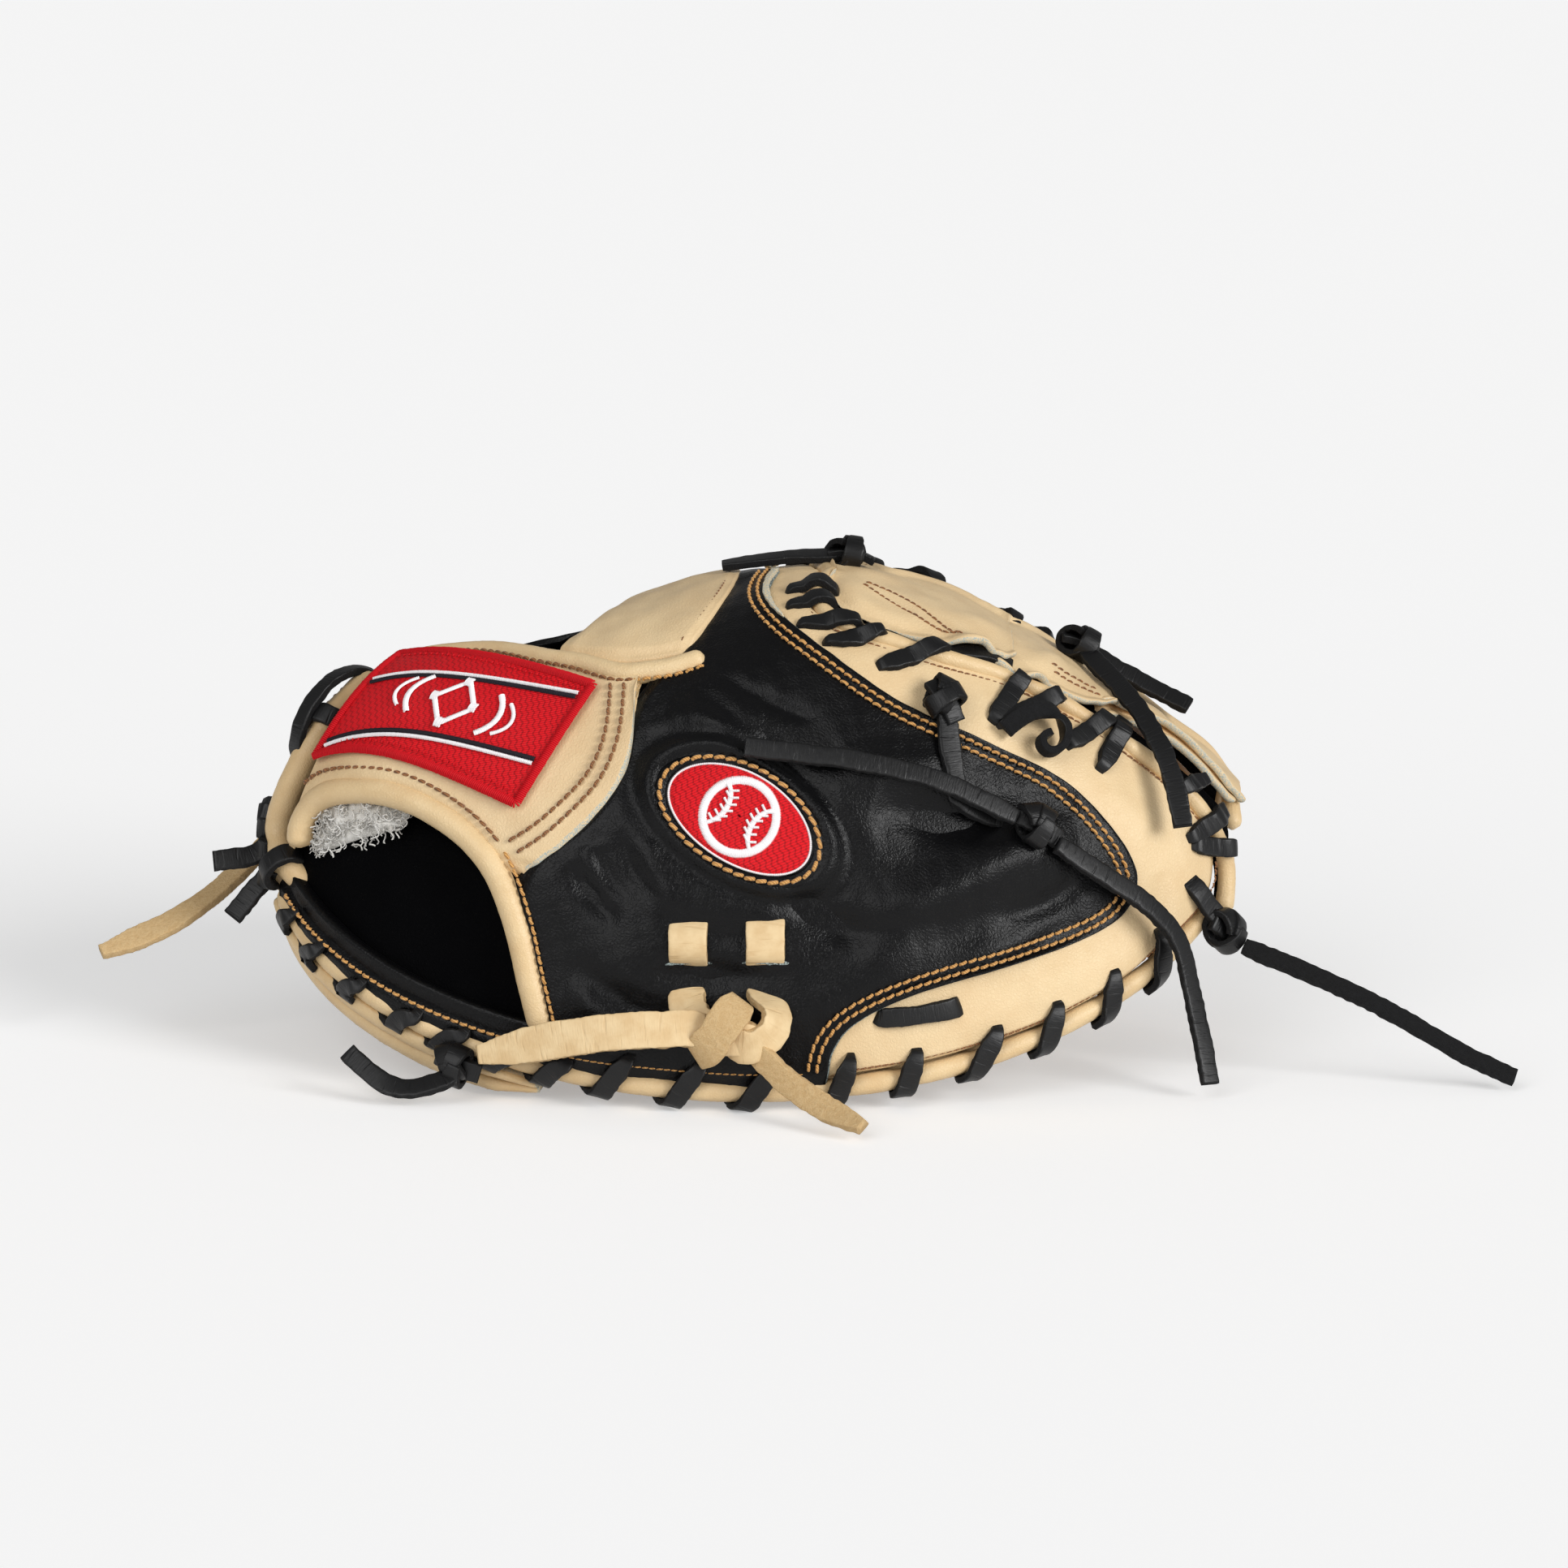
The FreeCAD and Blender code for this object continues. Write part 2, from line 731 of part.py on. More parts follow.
def tie_knot(label, x, y, z, along):
    """A knot that sits on the back."""
    point, outward = on_back(x, y, z, size("knot_height") + 0.4)
    return knot(label, point, outward, along)


def thumb_ties():
    """Knots on the thumb half, and the laces that come up to them."""
    long_riser = flat_lace([(56, -57, 114), (57, -62, 107), (60, -66, 98), (68, -66, 91), (76, -66, 87)])
    tip_riser = flat_lace([(133, -44, 60), (136, -42, 55), (138, -40, 52)])
    pieces("tie_risers", [long_riser, tip_riser])
    tie_knot("thumb_tie_knot", 83, -64, 82, Vector(1, 0, -0.6))
    tie_knot("thumb_upper_knot", 55, -55, 118, Vector(0.4, 0, -1))
    tie_knot("tip_tie_knot", 140, -38, 45, Vector(0.4, 0, -1))
    tie_knot("heel_tie_knot", -89, -72, 12, Vector(1, 0, -0.3))


# ---- the middle


def core_skins():
    """Palm skin, padding and lining between the two folds."""
    patch = between(CORE_SIDE, across(CORE_SIDE))
    feature("middle_palm", slab(patch, from_pocket(size("leather")), deep_wall, 17, 25))
    feature("middle_padding", slab(patch, padding_top, from_pocket(size("leather")), 17, 25))
    feature("middle_lining", slab(patch, lining_top, padding_top, 17, 25))


def core_back():
    """Black bridge over the knuckles and the index finger's pad."""
    near = seen_from_above([(-14, -31), (-4, -31), (8, -31)])
    bridge = between(near, across(near))
    feature("back_bridge", slab(bridge, deep(0), deep(size("leather")), 15, 7))
    near = seen_from_above([(-58, -2), (-36, -6), (-15, -10)])
    far = seen_from_above([(-58, 27), (-36, 28), (-15, 28)])
    pad = between(near, far)
    feature("index_finger_pad", slab(pad, deep(-3), deep(size("pad_gauge") - 3), 9, 9))


def web():
    """Three overlapping web leathers, the web's palm and its end bindings."""
    gauge = size("leather") - 0.5
    for label, (start, end) in WEB_PANELS.items():
        near = part_of(WEB_SIDE, start, end)
        feature("web_panel_" + label, slab(between(near, across(near)), deep(0), deep(gauge), 15, 9))
    whole = between(WEB_SIDE, across(WEB_SIDE))
    feature("web_palm", slab(whole, from_pocket(gauge), deep_wall, 15, 21))
    radius = size("roll")
    feature("tip_binding", roll(end_arc(151.5, 0.5), deep(radius + 1), radius, 17))
    inner = roll(end_arc(-152.5, 0.4), from_pocket(radius), radius, 17)
    outer = roll(end_arc(-152.5, 0.4), deep(radius), radius, 17)
    pieces("heel_binding", [inner, outer])


def core_ties():
    """Knots on the crown and on the web, and the cut ends of the heel's lace."""
    tie_knot("crown_knot", 28, 6, 148, Vector(1, 0, 0))
    tie_knot("web_knot", 99, 3, 122, Vector(1, 0, -0.4))
    high_end = lace_stub(Vector(-157, -6, 61), Vector(-171, -9, 60))
    low_end = lace_stub(Vector(-157, -10, 50), Vector(-165, -14, 43))
    pieces("heel_lace", [high_end, low_end])


def lace_stub(base, tip):
    """A short straight end of lace."""
    stub = Part.makeBox(size("lace_width"), size("lace_gauge"), (tip - base).Length)
    stub.Placement = Placement(base, facing(tip - base, Vector(0, 1, 0)))
    return stub


# ---- the finger half


def finger_back():
    """Black shell over the fingers, tan panel beside the web, plastic stay."""
    heel_edge = traced([
        (-134, -44, 40), (-138, -39, 55), (-136, -38, 72), (-129, -38, 88),
        (-120, -38, 98), (-108, -38, 107), (-92, -38, 113), (-70, -37, 120),
    ])
    shell = between(across(heel_edge), across(SHELL_WEB_EDGE))
    feature("finger_back_shell", slab(shell, deep(0), deep(size("leather")), 21, 25))
    panel = between(across(shifted(SHELL_WEB_EDGE, along=size("seam_gap"))), across(PANEL_EDGE))
    feature("finger_rim_panel", slab(panel, deep(0), deep(size("leather")), 9, 29))
    radius = size("roll")
    feature("finger_web_binding", roll(across(WEB_RIM), deep(radius), radius))
    knot("pinky_loop_knot", Vector(-147, 45, 64), Vector(0, 1, 0), Vector(1, 0, 0))


# ---- free laces

CORDS = {
    "thumb_tie_tail_left": ("tail_radius", [
        (77.5, -72, 87.5), (61.5, -73.5, 97), (41, -74.5, 103.5), (18.5, -75, 107.5), (-4, -73.5, 109.5),
    ]),
    "thumb_tie_tail_right": ("tail_radius", [
        (90, -70, 79), (104, -68, 69), (118, -64.5, 59.5), (128.5, -61, 47),
        (132, -62, 31), (135, -68, 17), (137, -73, 5),
    ]),
    "tip_tie_tail": ("tail_radius", [
        (149, -44, 41), (160, -47, 37), (176, -51, 31), (192, -55.5, 24),
        (207, -58, 15.5), (220, -60.5, 8.5), (231, -62, 4),
    ]),
    "crown_tail": ("tail_radius", [
        (26, 6, 154.4), (15, 6.3, 154.2), (4, 5.4, 153.4), (-5, 4.8, 152.3), (-11.5, 4.8, 151.2),
    ]),
    "web_side_tail": ("tail_radius", [
        (101.5, 3.4, 125), (110, 3, 120.2), (118.5, 2, 115.4), (127, 0.5, 111.2), (134.5, -2, 108),
    ]),
    "web_long_tail": ("tail_radius", [
        (102, -2, 125), (111.5, -17, 117.5), (119.5, -32.5, 109), (126.5, -46, 96), (129, -54.5, 81),
    ]),
    "heel_tie_tail": ("tail_radius", [
        (-92, -80, 9.5), (-101, -81.5, 6), (-110, -80, 5.5), (-118, -76, 9), (-124.5, -70.5, 14.5),
    ]),
    "thumb_loop_tail_left": ("wide_tail_radius", [
        (-15.5, -95.5, 28.5), (-32, -97, 28.5), (-50, -94.5, 26.5), (-68, -90, 22), (-84, -85, 17.5),
    ]),
    "thumb_loop_tail_right": ("wide_tail_radius", [
        (-3.5, -95.5, 24.5), (5.5, -99, 15.5), (15, -105, 9.5), (23.5, -112, 6.2), (31, -119, 4.8),
    ]),
    "pinky_loop_tail": ("wide_tail_radius", [
        (-150, 42.5, 62.5), (-159.5, 30, 55.5), (-169, 15, 47.5),
        (-181, 2, 40), (-195, -5, 34), (-207, -9, 30.5),
    ]),
}


def main():
    """Build every piece, check them all and write them."""
    half_skins("thumb", same)
    half_skins("finger", across)
    half_rim("thumb", same, -1, size("wrist_wrap_rise"))
    half_rim("finger", across, 1, size("wrap_rise"))
    thumb_back()
    thumb_bindings()
    emblem()
    thumb_loop()
    strap()
    thumb_ties()
    core_skins()
    core_back()
    web()
    core_ties()
    finger_back()
    for label, (radius_name, places) in CORDS.items():
        cord(label, [Vector(*place) for place in places], radius_name)
    DOC.recompute()
    check_document()
    write_parts()


def check_document():
    """Stop if any object failed or any piece isn't a valid solid."""
    for thing in DOC.Objects:
        if "Invalid" in thing.State or "Error" in thing.State:
            raise RuntimeError(f"{thing.Name} failed: {thing.State}")
    for thing in NODES:
        shape = thing.Shape
        if shape.isNull() or not shape.isValid() or shape.Volume <= 0:
            raise RuntimeError(f"{thing.Label} has no valid solid")


def write_parts():
    """Write one STEP file for each piece."""
    os.makedirs("parts", exist_ok=True)
    for thing in NODES:
        thing.Shape.exportStep(f"parts/{thing.Label}.step")
    print(len(NODES), "pieces")


main()
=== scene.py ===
"""Catcher's mitt: leather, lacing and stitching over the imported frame.

Lengths inside the classes are millimetres, in the frame's own axes: +X from the
heel to the web's tip, -Y the thumb side, +Z up. They become metres when a mesh
is made. Every skin lies on one arch, and a place on it is its x and its turn
round the arch, from 0 at the thumb's rim to half a turn at the fingers' rim.
"""

import logging
import math
from dataclasses import dataclass, field
from enum import Enum
from typing import Callable, Sequence

import bmesh
import bpy
import numpy as np
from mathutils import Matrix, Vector


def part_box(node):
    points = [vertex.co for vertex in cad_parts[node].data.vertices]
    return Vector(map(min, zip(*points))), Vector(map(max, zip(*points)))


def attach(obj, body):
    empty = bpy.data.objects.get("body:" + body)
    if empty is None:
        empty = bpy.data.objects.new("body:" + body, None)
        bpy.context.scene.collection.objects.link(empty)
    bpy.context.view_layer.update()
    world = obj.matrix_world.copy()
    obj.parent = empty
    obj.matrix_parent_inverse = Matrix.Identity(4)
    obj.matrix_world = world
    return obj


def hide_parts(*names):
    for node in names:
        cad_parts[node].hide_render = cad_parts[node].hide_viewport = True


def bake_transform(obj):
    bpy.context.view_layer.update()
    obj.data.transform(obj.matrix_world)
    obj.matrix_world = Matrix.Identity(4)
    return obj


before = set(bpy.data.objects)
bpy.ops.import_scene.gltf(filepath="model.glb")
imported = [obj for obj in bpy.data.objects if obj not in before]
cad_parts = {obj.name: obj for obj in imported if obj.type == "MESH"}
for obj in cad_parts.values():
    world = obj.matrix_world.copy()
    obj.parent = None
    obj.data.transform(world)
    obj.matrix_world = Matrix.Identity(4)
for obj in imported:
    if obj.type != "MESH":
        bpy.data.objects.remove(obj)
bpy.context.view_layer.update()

logging.basicConfig(level=logging.INFO, format="%(message)s")
log = logging.getLogger("mitt")

MM = 0.001
Array = np.ndarray
Line = Callable[[Array], Array]
Patch = Callable[[Array, Array], Array]
Depth = Callable[[Array], Array]


# ---- lines and patches


def ease(share: Array) -> Array:
    """A smooth step of a share, which is held between 0 and 1."""
    share = np.clip(share, 0.0, 1.0)
    return share * share * (3 - 2 * share)


def unit(vectors: Array) -> Array:
    """Vectors brought to length 1, row by row."""
    return vectors / np.maximum(np.linalg.norm(vectors, axis=-1, keepdims=True), 1e-12)


def smooth(points: Sequence[Sequence[float]]) -> Line:
    """A natural cubic line through a few points.

    Args:
        points: The points, each with the same count of numbers.

    Returns:
        A function of fractions, which goes on straight before 0 and after 1.
    """
    knots = np.array(points, float)
    last = len(knots) - 1
    step = 1.0 / last
    second = np.zeros_like(knots)
    if last > 1:
        inner = last - 1
        beside = np.ones(inner - 1)
        matrix = np.diag(np.full(inner, 4.0)) + np.diag(beside, 1) + np.diag(beside, -1)
        bend = knots[2:] - 2 * knots[1:-1] + knots[:-2]
        second[1:-1] = np.linalg.solve(matrix, 6 * bend / step**2)

    first_slope = (knots[1] - knots[0]) / step - step / 6 * second[1]
    last_slope = (knots[-1] - knots[-2]) / step + step / 6 * second[-2]

    def at(t: Array) -> Array:
        asked = np.atleast_1d(np.asarray(t, float))
        t = np.clip(asked, 0.0, 1.0)
        i = np.minimum((t * last).astype(int), last - 1)
        b = (t * last - i)[:, None]
        a = 1 - b
        swing = (a**3 - a) * second[i] + (b**3 - b) * second[i + 1]
        inside = a * knots[i] + b * knots[i + 1] + swing * step * step / 6
        before, after = np.minimum(asked, 0.0)[:, None], np.maximum(asked - 1.0, 0.0)[:, None]
        return inside + before * first_slope + after * last_slope

    return at


def straight(start: Sequence[float], end: Sequence[float]) -> Line:
    """A straight line between two places."""
    start, end = np.array(start, float), np.array(end, float)
    return lambda t: start + (end - start) * np.atleast_1d(np.asarray(t, float))[:, None]


def part_of(line: Line, start: float, end: float) -> Line:
    """The stretch of a line between two of its fractions."""
    return lambda t: line(start + (end - start) * np.asarray(t, float))


def across(line: Line) -> Line:
    """The same line on the fingers' side."""
    return lambda t: line(t) * (1, -1) + (0, math.pi)


def shifted(line: Line, along: float) -> Line:
    """A line moved along the mitt."""
    return lambda t: line(t) + (along, 0.0)


def between(first: Line, second: Line) -> Patch:
    """The patch ruled between two lines."""
    return lambda s, t: first(t) * (1 - s)[:, None] + second(t) * s[:, None]


def framed(bottom: Line, top: Line, left: Line, right: Line) -> Patch:
    """The patch inside four lines that meet at its corners.

    Args:
        bottom: Line along the low side.
        top: Line along the high side.
        left: Line up the left side.
        right: Line up the right side.

    Returns:
        A function from fractions across and up to places.
    """
    ends = np.array([0.0, 1.0])

    def at(s: Array, t: Array) -> Array:
        sc, tc = s[:, None], t[:, None]
        low, high = bottom(ends), top(ends)
        flat = (1 - tc) * ((1 - sc) * low[0] + sc * low[1]) + tc * ((1 - sc) * high[0] + sc * high[1])
        return (1 - tc) * bottom(s) + tc * top(s) + (1 - sc) * left(t) + sc * right(t) - flat

    return at


def straight_sided(low_left: Array, low_right: Array, high_left: Array, high_right: Array) -> Patch:
    """The patch with straight sides between four places.

    Args:
        low_left: The low side's left corner.
        low_right: The low side's right corner.
        high_left: The high side's left corner.
        high_right: The high side's right corner.

    Returns:
        The patch.
    """
    return framed(
        straight(low_left, low_right), straight(high_left, high_right),
        straight(low_left, high_left), straight(low_right, high_right),
    )


def run_lengths(points: Array) -> Array:
    """Length of the line from its first point to each point."""
    return np.concatenate([[0.0], np.cumsum(np.linalg.norm(np.diff(points, axis=0), axis=1))])


def evenly(points: Array, spacing: float) -> Array:
    """Points read again along their line at an even spacing, ends kept.

    Args:
        points: Points as rows, in millimetres.
        spacing: Distance between the new points, in millimetres.

    Returns:
        The new points.
    """
    lengths = run_lengths(points)
    count = max(2, int(round(lengths[-1] / spacing)) + 1)
    places = np.linspace(0.0, lengths[-1], count)
    return np.stack([np.interp(places, lengths, column) for column in points.T], axis=1)


def wobble(points: Array, wavelength: float, seed: int, waves: int = 7) -> Array:
    """Smooth seeded noise between about -1 and 1 at points in space.

    Args:
        points: Places in millimetres, one a row.
        wavelength: Usual size of a bump.
        seed: Seed of the waves' directions.
        waves: How many waves are added up.

    Returns:
        One number a point.
    """
    usual_peak = 1.4
    chance = np.random.default_rng(seed)
    total = np.zeros(len(points))
    for _ in range(waves):
        direction = unit(chance.normal(size=3))
        pitch = wavelength * chance.uniform(0.7, 1.5)
        total += np.sin(points @ direction * (2 * math.pi / pitch) + chance.uniform(0, 2 * math.pi))
    return total / math.sqrt(waves) / usual_peak


# ---- the arch


@dataclass(frozen=True)
class MittForm:
    """The arch that every skin of the mitt lies on.

    Attributes:
        half_length: Half the mitt's length.
        half_depth: Half its depth, from rim to rim.
        heel_rise: Height of the rims' end at the heel.
        tip_rise: Height of the rims' end at the tip.
        fullness: Power of the arch's outline, over 2 for one fuller than an ellipse.
        wall: Distance from the back's arch to the pocket's at the rims.
        pocket_rise: The pocket's height over the back's at the heel.
        web_rise: The same under the web.
        crest_points: The crest line from the side, as x and height.
        crest_line: The same line read finely.
    """

    half_length: float = 155.0
    half_depth: float = 88.0
    heel_rise: float = 59.0
    tip_rise: float = 77.0
    fullness: float = 2.4
    wall: float = 14.0
    pocket_rise: float = 0.69
    web_rise: float = 0.93
    crest_points: tuple[tuple[float, float], ...] = (
        (-155, 64), (-150, 84), (-135, 108), (-105, 124), (-60, 133), (-5, 149),
        (40, 147), (80, 132), (115, 112), (140, 94), (155, 76),
    )
    crest_line: Array = field(init=False, repr=False, compare=False)

    def __post_init__(self) -> None:
        """Reads the crest's smooth line once."""
        object.__setattr__(self, "crest_line", smooth(self.crest_points)(np.linspace(0, 1, 3001)))

    def flare(self, x: Array) -> Array:
        """How far the arch is spread at x, 1 at the middle and 0 at its ends."""
        return np.sqrt(np.clip(1 - (x / self.half_length) ** 2, 0, 1))

    def rim_height(self, x: Array) -> Array:
        """Height of the rims over the floor at x."""
        return np.where(x < 0, self.heel_rise, self.tip_rise) * (1 - self.flare(x))

    def crest_height(self, x: Array) -> Array:
        """Height of the crest line over the floor at x."""
        return np.interp(x, self.crest_line[:, 0], self.crest_line[:, 1])

    def pocket_share(self, x: Array) -> Array:
        """The pocket's height over the arch's at x."""
        return self.pocket_rise + (self.web_rise - self.pocket_rise) * ease((x + 20) / 75)

    def arch(self, places: Array, inside: bool = False) -> Array:
        """Points of the back's arch, or of the pocket's.

        Args:
            places: Rows of x and turn.
            inside: Whether the pocket's arch is meant.

        Returns:
            One point a row.
        """
        x, turn = places[:, 0], places[:, 1]
        spread, rim, crest = self.flare(x), self.rim_height(x), self.crest_height(x)
        power = 2 / self.fullness
        cosine = np.cos(turn)
        side = np.copysign(np.abs(cosine) ** power, -cosine)
        lift = np.abs(np.sin(turn)) ** power
        if not inside:
            return np.stack([x, self.half_depth * spread * side, rim + (crest - rim) * lift], axis=1)
        inner_x = x * (1 - self.wall / self.half_length)
        inner_y = (self.half_depth - self.wall) * spread * side
        return np.stack([inner_x, inner_y, rim + self.pocket_share(x) * (crest - rim) * lift], axis=1)

    def at(self, places: Array, depth: Depth | float | Array = 0.0) -> Array:
        """Points inside the wall.

        Args:
            places: Rows of x and turn.
            depth: Depth under the back, as a number, one a place, or a rule of the wall's thickness.

        Returns:
            One point a row.
        """
        outer = self.arch(places)
        through = self.arch(places, inside=True) - outer
        thickness = np.linalg.norm(through, axis=1)
        deep = depth(thickness) if callable(depth) else np.asarray(depth, float)
        return outer + through * (deep / thickness)[:, None]

    def outward(self, places: Array) -> Array:
        """Directions square to the back, one a place.

        Args:
            places: Places on the arch, as rows of x and turn.

        Returns:
            Unit directions, one for each place.
        """
        step = 0.001
        safe = np.stack([places[:, 0], np.clip(places[:, 1], 0.03, math.pi - 0.03)], axis=1)
        along = self.arch(safe + (step, 0)) - self.arch(safe - (step, 0))
        around = self.arch(safe + (0, step)) - self.arch(safe - (0, step))
        return unit(np.cross(along, around))

    def near(self, points: Array) -> Array:
        """The arch's places nearest to points beside it.

        Args:
            points: Points as rows, in millimetres.

        Returns:
            Places on the arch, as rows of x and turn.
        """
        points = np.atleast_2d(np.asarray(points, float))
        x, y, z = points.T
        power = self.fullness / 2
        spread, rim, crest = self.flare(x), self.rim_height(x), self.crest_height(x)
        reach = np.minimum(1.0, np.abs(y) / np.maximum(self.half_depth * spread, 1e-6))
        lift = np.clip((z - rim) / np.maximum(crest - rim, 1e-6), 0, 1)
        return np.stack([x, np.arctan2(lift**power, np.copysign(reach**power, -y))], axis=1)

    def traced(self, points: Sequence[Sequence[float]]) -> Line:
        """A smooth line on the arch past points beside it."""
        return smooth(self.near(np.array(points, float)))

    def from_above(self, points: Sequence[Sequence[float]]) -> Line:
        """A smooth line on the arch over places seen from above.

        Args:
            points: Rows of x and y, in millimetres.

        Returns:
            The line.
        """
        x, y = np.array(points, float).T
        share = np.minimum(1.0, np.abs(y) / (self.half_depth * self.flare(x)))
        turn = np.arccos(np.copysign(share ** (self.fullness / 2), -y))
        return smooth(np.stack([x, turn], axis=1))

    def above_rim(self, start: float, end: float, height: float) -> Line:
        """The line on the thumb side that stays this far above the rim.

        Args:
            start: Where it starts, in millimetres across.
            end: Where it ends, in millimetres across.
            height: Height over the rim, in millimetres.

        Returns:
            The line.
        """

        def at(t: Array) -> Array:
            x = start + (end - start) * np.atleast_1d(np.asarray(t, float))
            rim = self.rim_height(x)
            lift = np.clip(height / (self.crest_height(x) - rim), 0, 1)
            return np.stack([x, np.arcsin(lift ** (self.fullness / 2))], axis=1)

        return at

    def rail(self, line: Line, t: Array, depth: Depth | float) -> tuple[Array, Array, Array, Array]:
        """Centre, outward, onward and sideways along a line in the wall.

        Args:
            line: The line on the arch.
            t: Fractions along it.
            depth: Depth of the line under the back.

        Returns:
            Four arrays, one row a fraction.
        """
        step = 0.002
        places = line(t)
        centre = self.at(places, depth)
        ahead = self.at(line(np.minimum(1.0, t + step)), depth)
        behind = self.at(line(np.maximum(0.0, t - step)), depth)
        onward = unit(ahead - behind)
        outward = self.outward(places)
        outward = unit(outward - onward * np.sum(outward * onward, axis=1, keepdims=True))
        return centre, outward, onward, unit(np.cross(outward, onward))

    def beside(self, line: Line, t: Array, offset: float | Array) -> Array:
        """Places beside a line, square to it over the back.

        Args:
            line: The line on the arch.
            t: Fractions along it.
            offset: Distance to its sideways hand.

        Returns:
            Rows of x and turn.
        """
        centre, _, _, sideways = self.rail(line, t, 0.0)
        offsets = np.broadcast_to(np.asarray(offset, float), (len(centre),))
        return self.near(centre + sideways * offsets[:, None])


FORM = MittForm()


def deep(value: float) -> Depth:
    """A fixed depth under the back."""
    return lambda wall: np.full_like(wall, value)


def from_pocket(value: float) -> Depth:
    """A fixed distance from the pocket's face."""
    return lambda wall: wall - value


def padding_top(wall: Array) -> Array:
    """Depth of the padding's upper face."""
    return wall - Gauge.LEATHER - Gauge.PADDING_SHARE * (wall - Gauge.LINING)


def lining_top(wall: Array) -> Array:
    """Depth of the lining's upper face."""
    return padding_top(wall) - Gauge.LINING


class Gauge:
    """Thicknesses and distances that several pieces share.

    Attributes:
        LEATHER: Thickness of the shell's and the palm's leather.
        WEB_LEATHER: Thickness of the web's.
        LINING: Thickness of the hand lining.
        PADDING_SHARE: The padding's share of the wall that is left under the leather.
        STIFFENER: Thickness of the moulded stay.
        ROLL: Radius of a rolled edge.
        LACE_WIDTH: Width of the lace.
        LACE: Its thickness.
        SEAM_GAP: Gap between leathers that are sewn together.
        STRAP: Thickness of the wrist strap.
        RIM_LIFT: Height of the rolled rim's centre over the edge.
        SKIRT: Height of the palm's lower edge over the edge.
    """

    LEATHER = 3.0
    WEB_LEATHER = LEATHER - 0.5
    LINING = 2.0
    PADDING_SHARE = 0.26
    STIFFENER = 1.6
    ROLL = 3.2
    LACE_WIDTH = 6.2
    LACE = 2.4
    SEAM_GAP = 0.3
    STRAP = 4.0
    RIM_LIFT = 6.3
    SKIRT = 9.8


# ---- meshes


@dataclass
class MeshPlan:
    """Points, faces and their attributes before they become a Blender mesh.

    Attributes:
        points: Places in millimetres, one a row.
        faces: Corner indices of each face.
        uv: Distances over the piece's own surface, one pair a point.
        raw: 1 where fibres show, 0 where the face is smooth.
        tone: 1 where the finish is darkest: towards a piece's edges, and as painted shade where a lace
            pinches a roll.
    """

    points: Array
    faces: list[tuple[int, ...]]
    uv: Array
    raw: Array
    tone: Array

    @staticmethod
    def joined(plans: Sequence["MeshPlan"]) -> "MeshPlan":
        """Several plans as one.

        Args:
            plans: The plans, which may have different attributes.

        Returns:
            One plan with all their faces.
        """
        faces: list[tuple[int, ...]] = []
        start = 0
        for plan in plans:
            faces += [tuple(i + start for i in face) for face in plan.faces]
            start += len(plan.points)
        return MeshPlan(
            np.concatenate([plan.points for plan in plans]),
            faces,
            np.concatenate([plan.uv for plan in plans]),
            np.concatenate([plan.raw for plan in plans]),
            np.concatenate([plan.tone for plan in plans]),
        )

    def mesh(self, name: str) -> bpy.types.Mesh:
        """The plan as a mesh in metres, with UVs in metres and its point attributes.

        Args:
            name: The mesh's name.

        Returns:
            The mesh.
        """
        data = bpy.data.meshes.new(name)
        data.from_pydata((self.points * MM).tolist(), [], self.faces)
        data.polygons.foreach_set("use_smooth", np.ones(len(data.polygons), bool))
        corners = np.zeros(len(data.loops), np.int32)
        data.loops.foreach_get("vertex_index", corners)
        layer = data.uv_layers.new(name="UVMap")
        layer.data.foreach_set("uv", (self.uv[corners] * MM).astype(np.float32).ravel())
        for label, values in (("raw", self.raw), ("tone", self.tone)):
            attribute = data.attributes.new(label, "FLOAT", "POINT")
            attribute.data.foreach_set("value", values.astype(np.float32))
        data.update()
        return data


def as_faces(*corners: Array) -> list[tuple[int, ...]]:
    """Faces from the indices of their first, second and later corners."""
    return [tuple(face) for face in np.stack(corners, axis=1).tolist()]


def grid_faces(
    rows: int, columns: int, start: int = 0, loop: bool = False, flip: bool = False,
) -> list[tuple[int, ...]]:
    """Four-sided faces over a grid of points.

    Args:
        rows: Rows of points.
        columns: Points in a row.
        start: Index of the first point.
        loop: Whether a row closes on itself.
        flip: Whether the faces are turned over.

    Returns:
        Corner indices, one tuple a face.
    """
    i = np.arange(rows - 1)[:, None]
    j = np.arange(columns if loop else columns - 1)[None, :]
    after = (j + 1) % columns
    corners = [i * columns + j, (i + 1) * columns + j, (i + 1) * columns + after, i * columns + after]
    if flip:
        corners.reverse()
    return as_faces(*(np.broadcast_to(c, (rows - 1, j.shape[1])).ravel() + start for c in corners))


@dataclass(frozen=True)
class Fold:
    """A ridge in a skin, or with a negative height a crease.

    Attributes:
        points: A few points beside the skin, which it follows.
        height: How far it rises.
        width: How wide it is.
        fade: How early it fades towards its ends.
    """

    points: tuple[tuple[float, float, float], ...]
    height: float
    width: float
    fade: float = 0.8

    def raise_at(self, points: Array) -> Array:
        """Height that the fold adds at each point, in millimetres.

        Args:
            points: Points as rows, in millimetres.

        Returns:
            One height for each point.
        """
        line = smooth(self.points)(np.linspace(0, 1, 8 * len(self.points)))
        start, run = line[:-1], np.diff(line, axis=0)
        best = np.full(len(points), 1e9)
        share = np.zeros(len(points))
        for index, (a, ab) in enumerate(zip(start, run)):
            t = np.clip((points - a) @ ab / (ab @ ab), 0, 1)
            gap = np.linalg.norm(points - a - t[:, None] * ab, axis=1)
            closer = gap < best
            best = np.where(closer, gap, best)
            share = np.where(closer, (index + t) / len(run), share)
        end = np.clip(np.sin(math.pi * np.clip(share, 0, 1)), 0, 1) ** self.fade
        return self.height * np.exp(-((best / self.width) ** 2)) * end


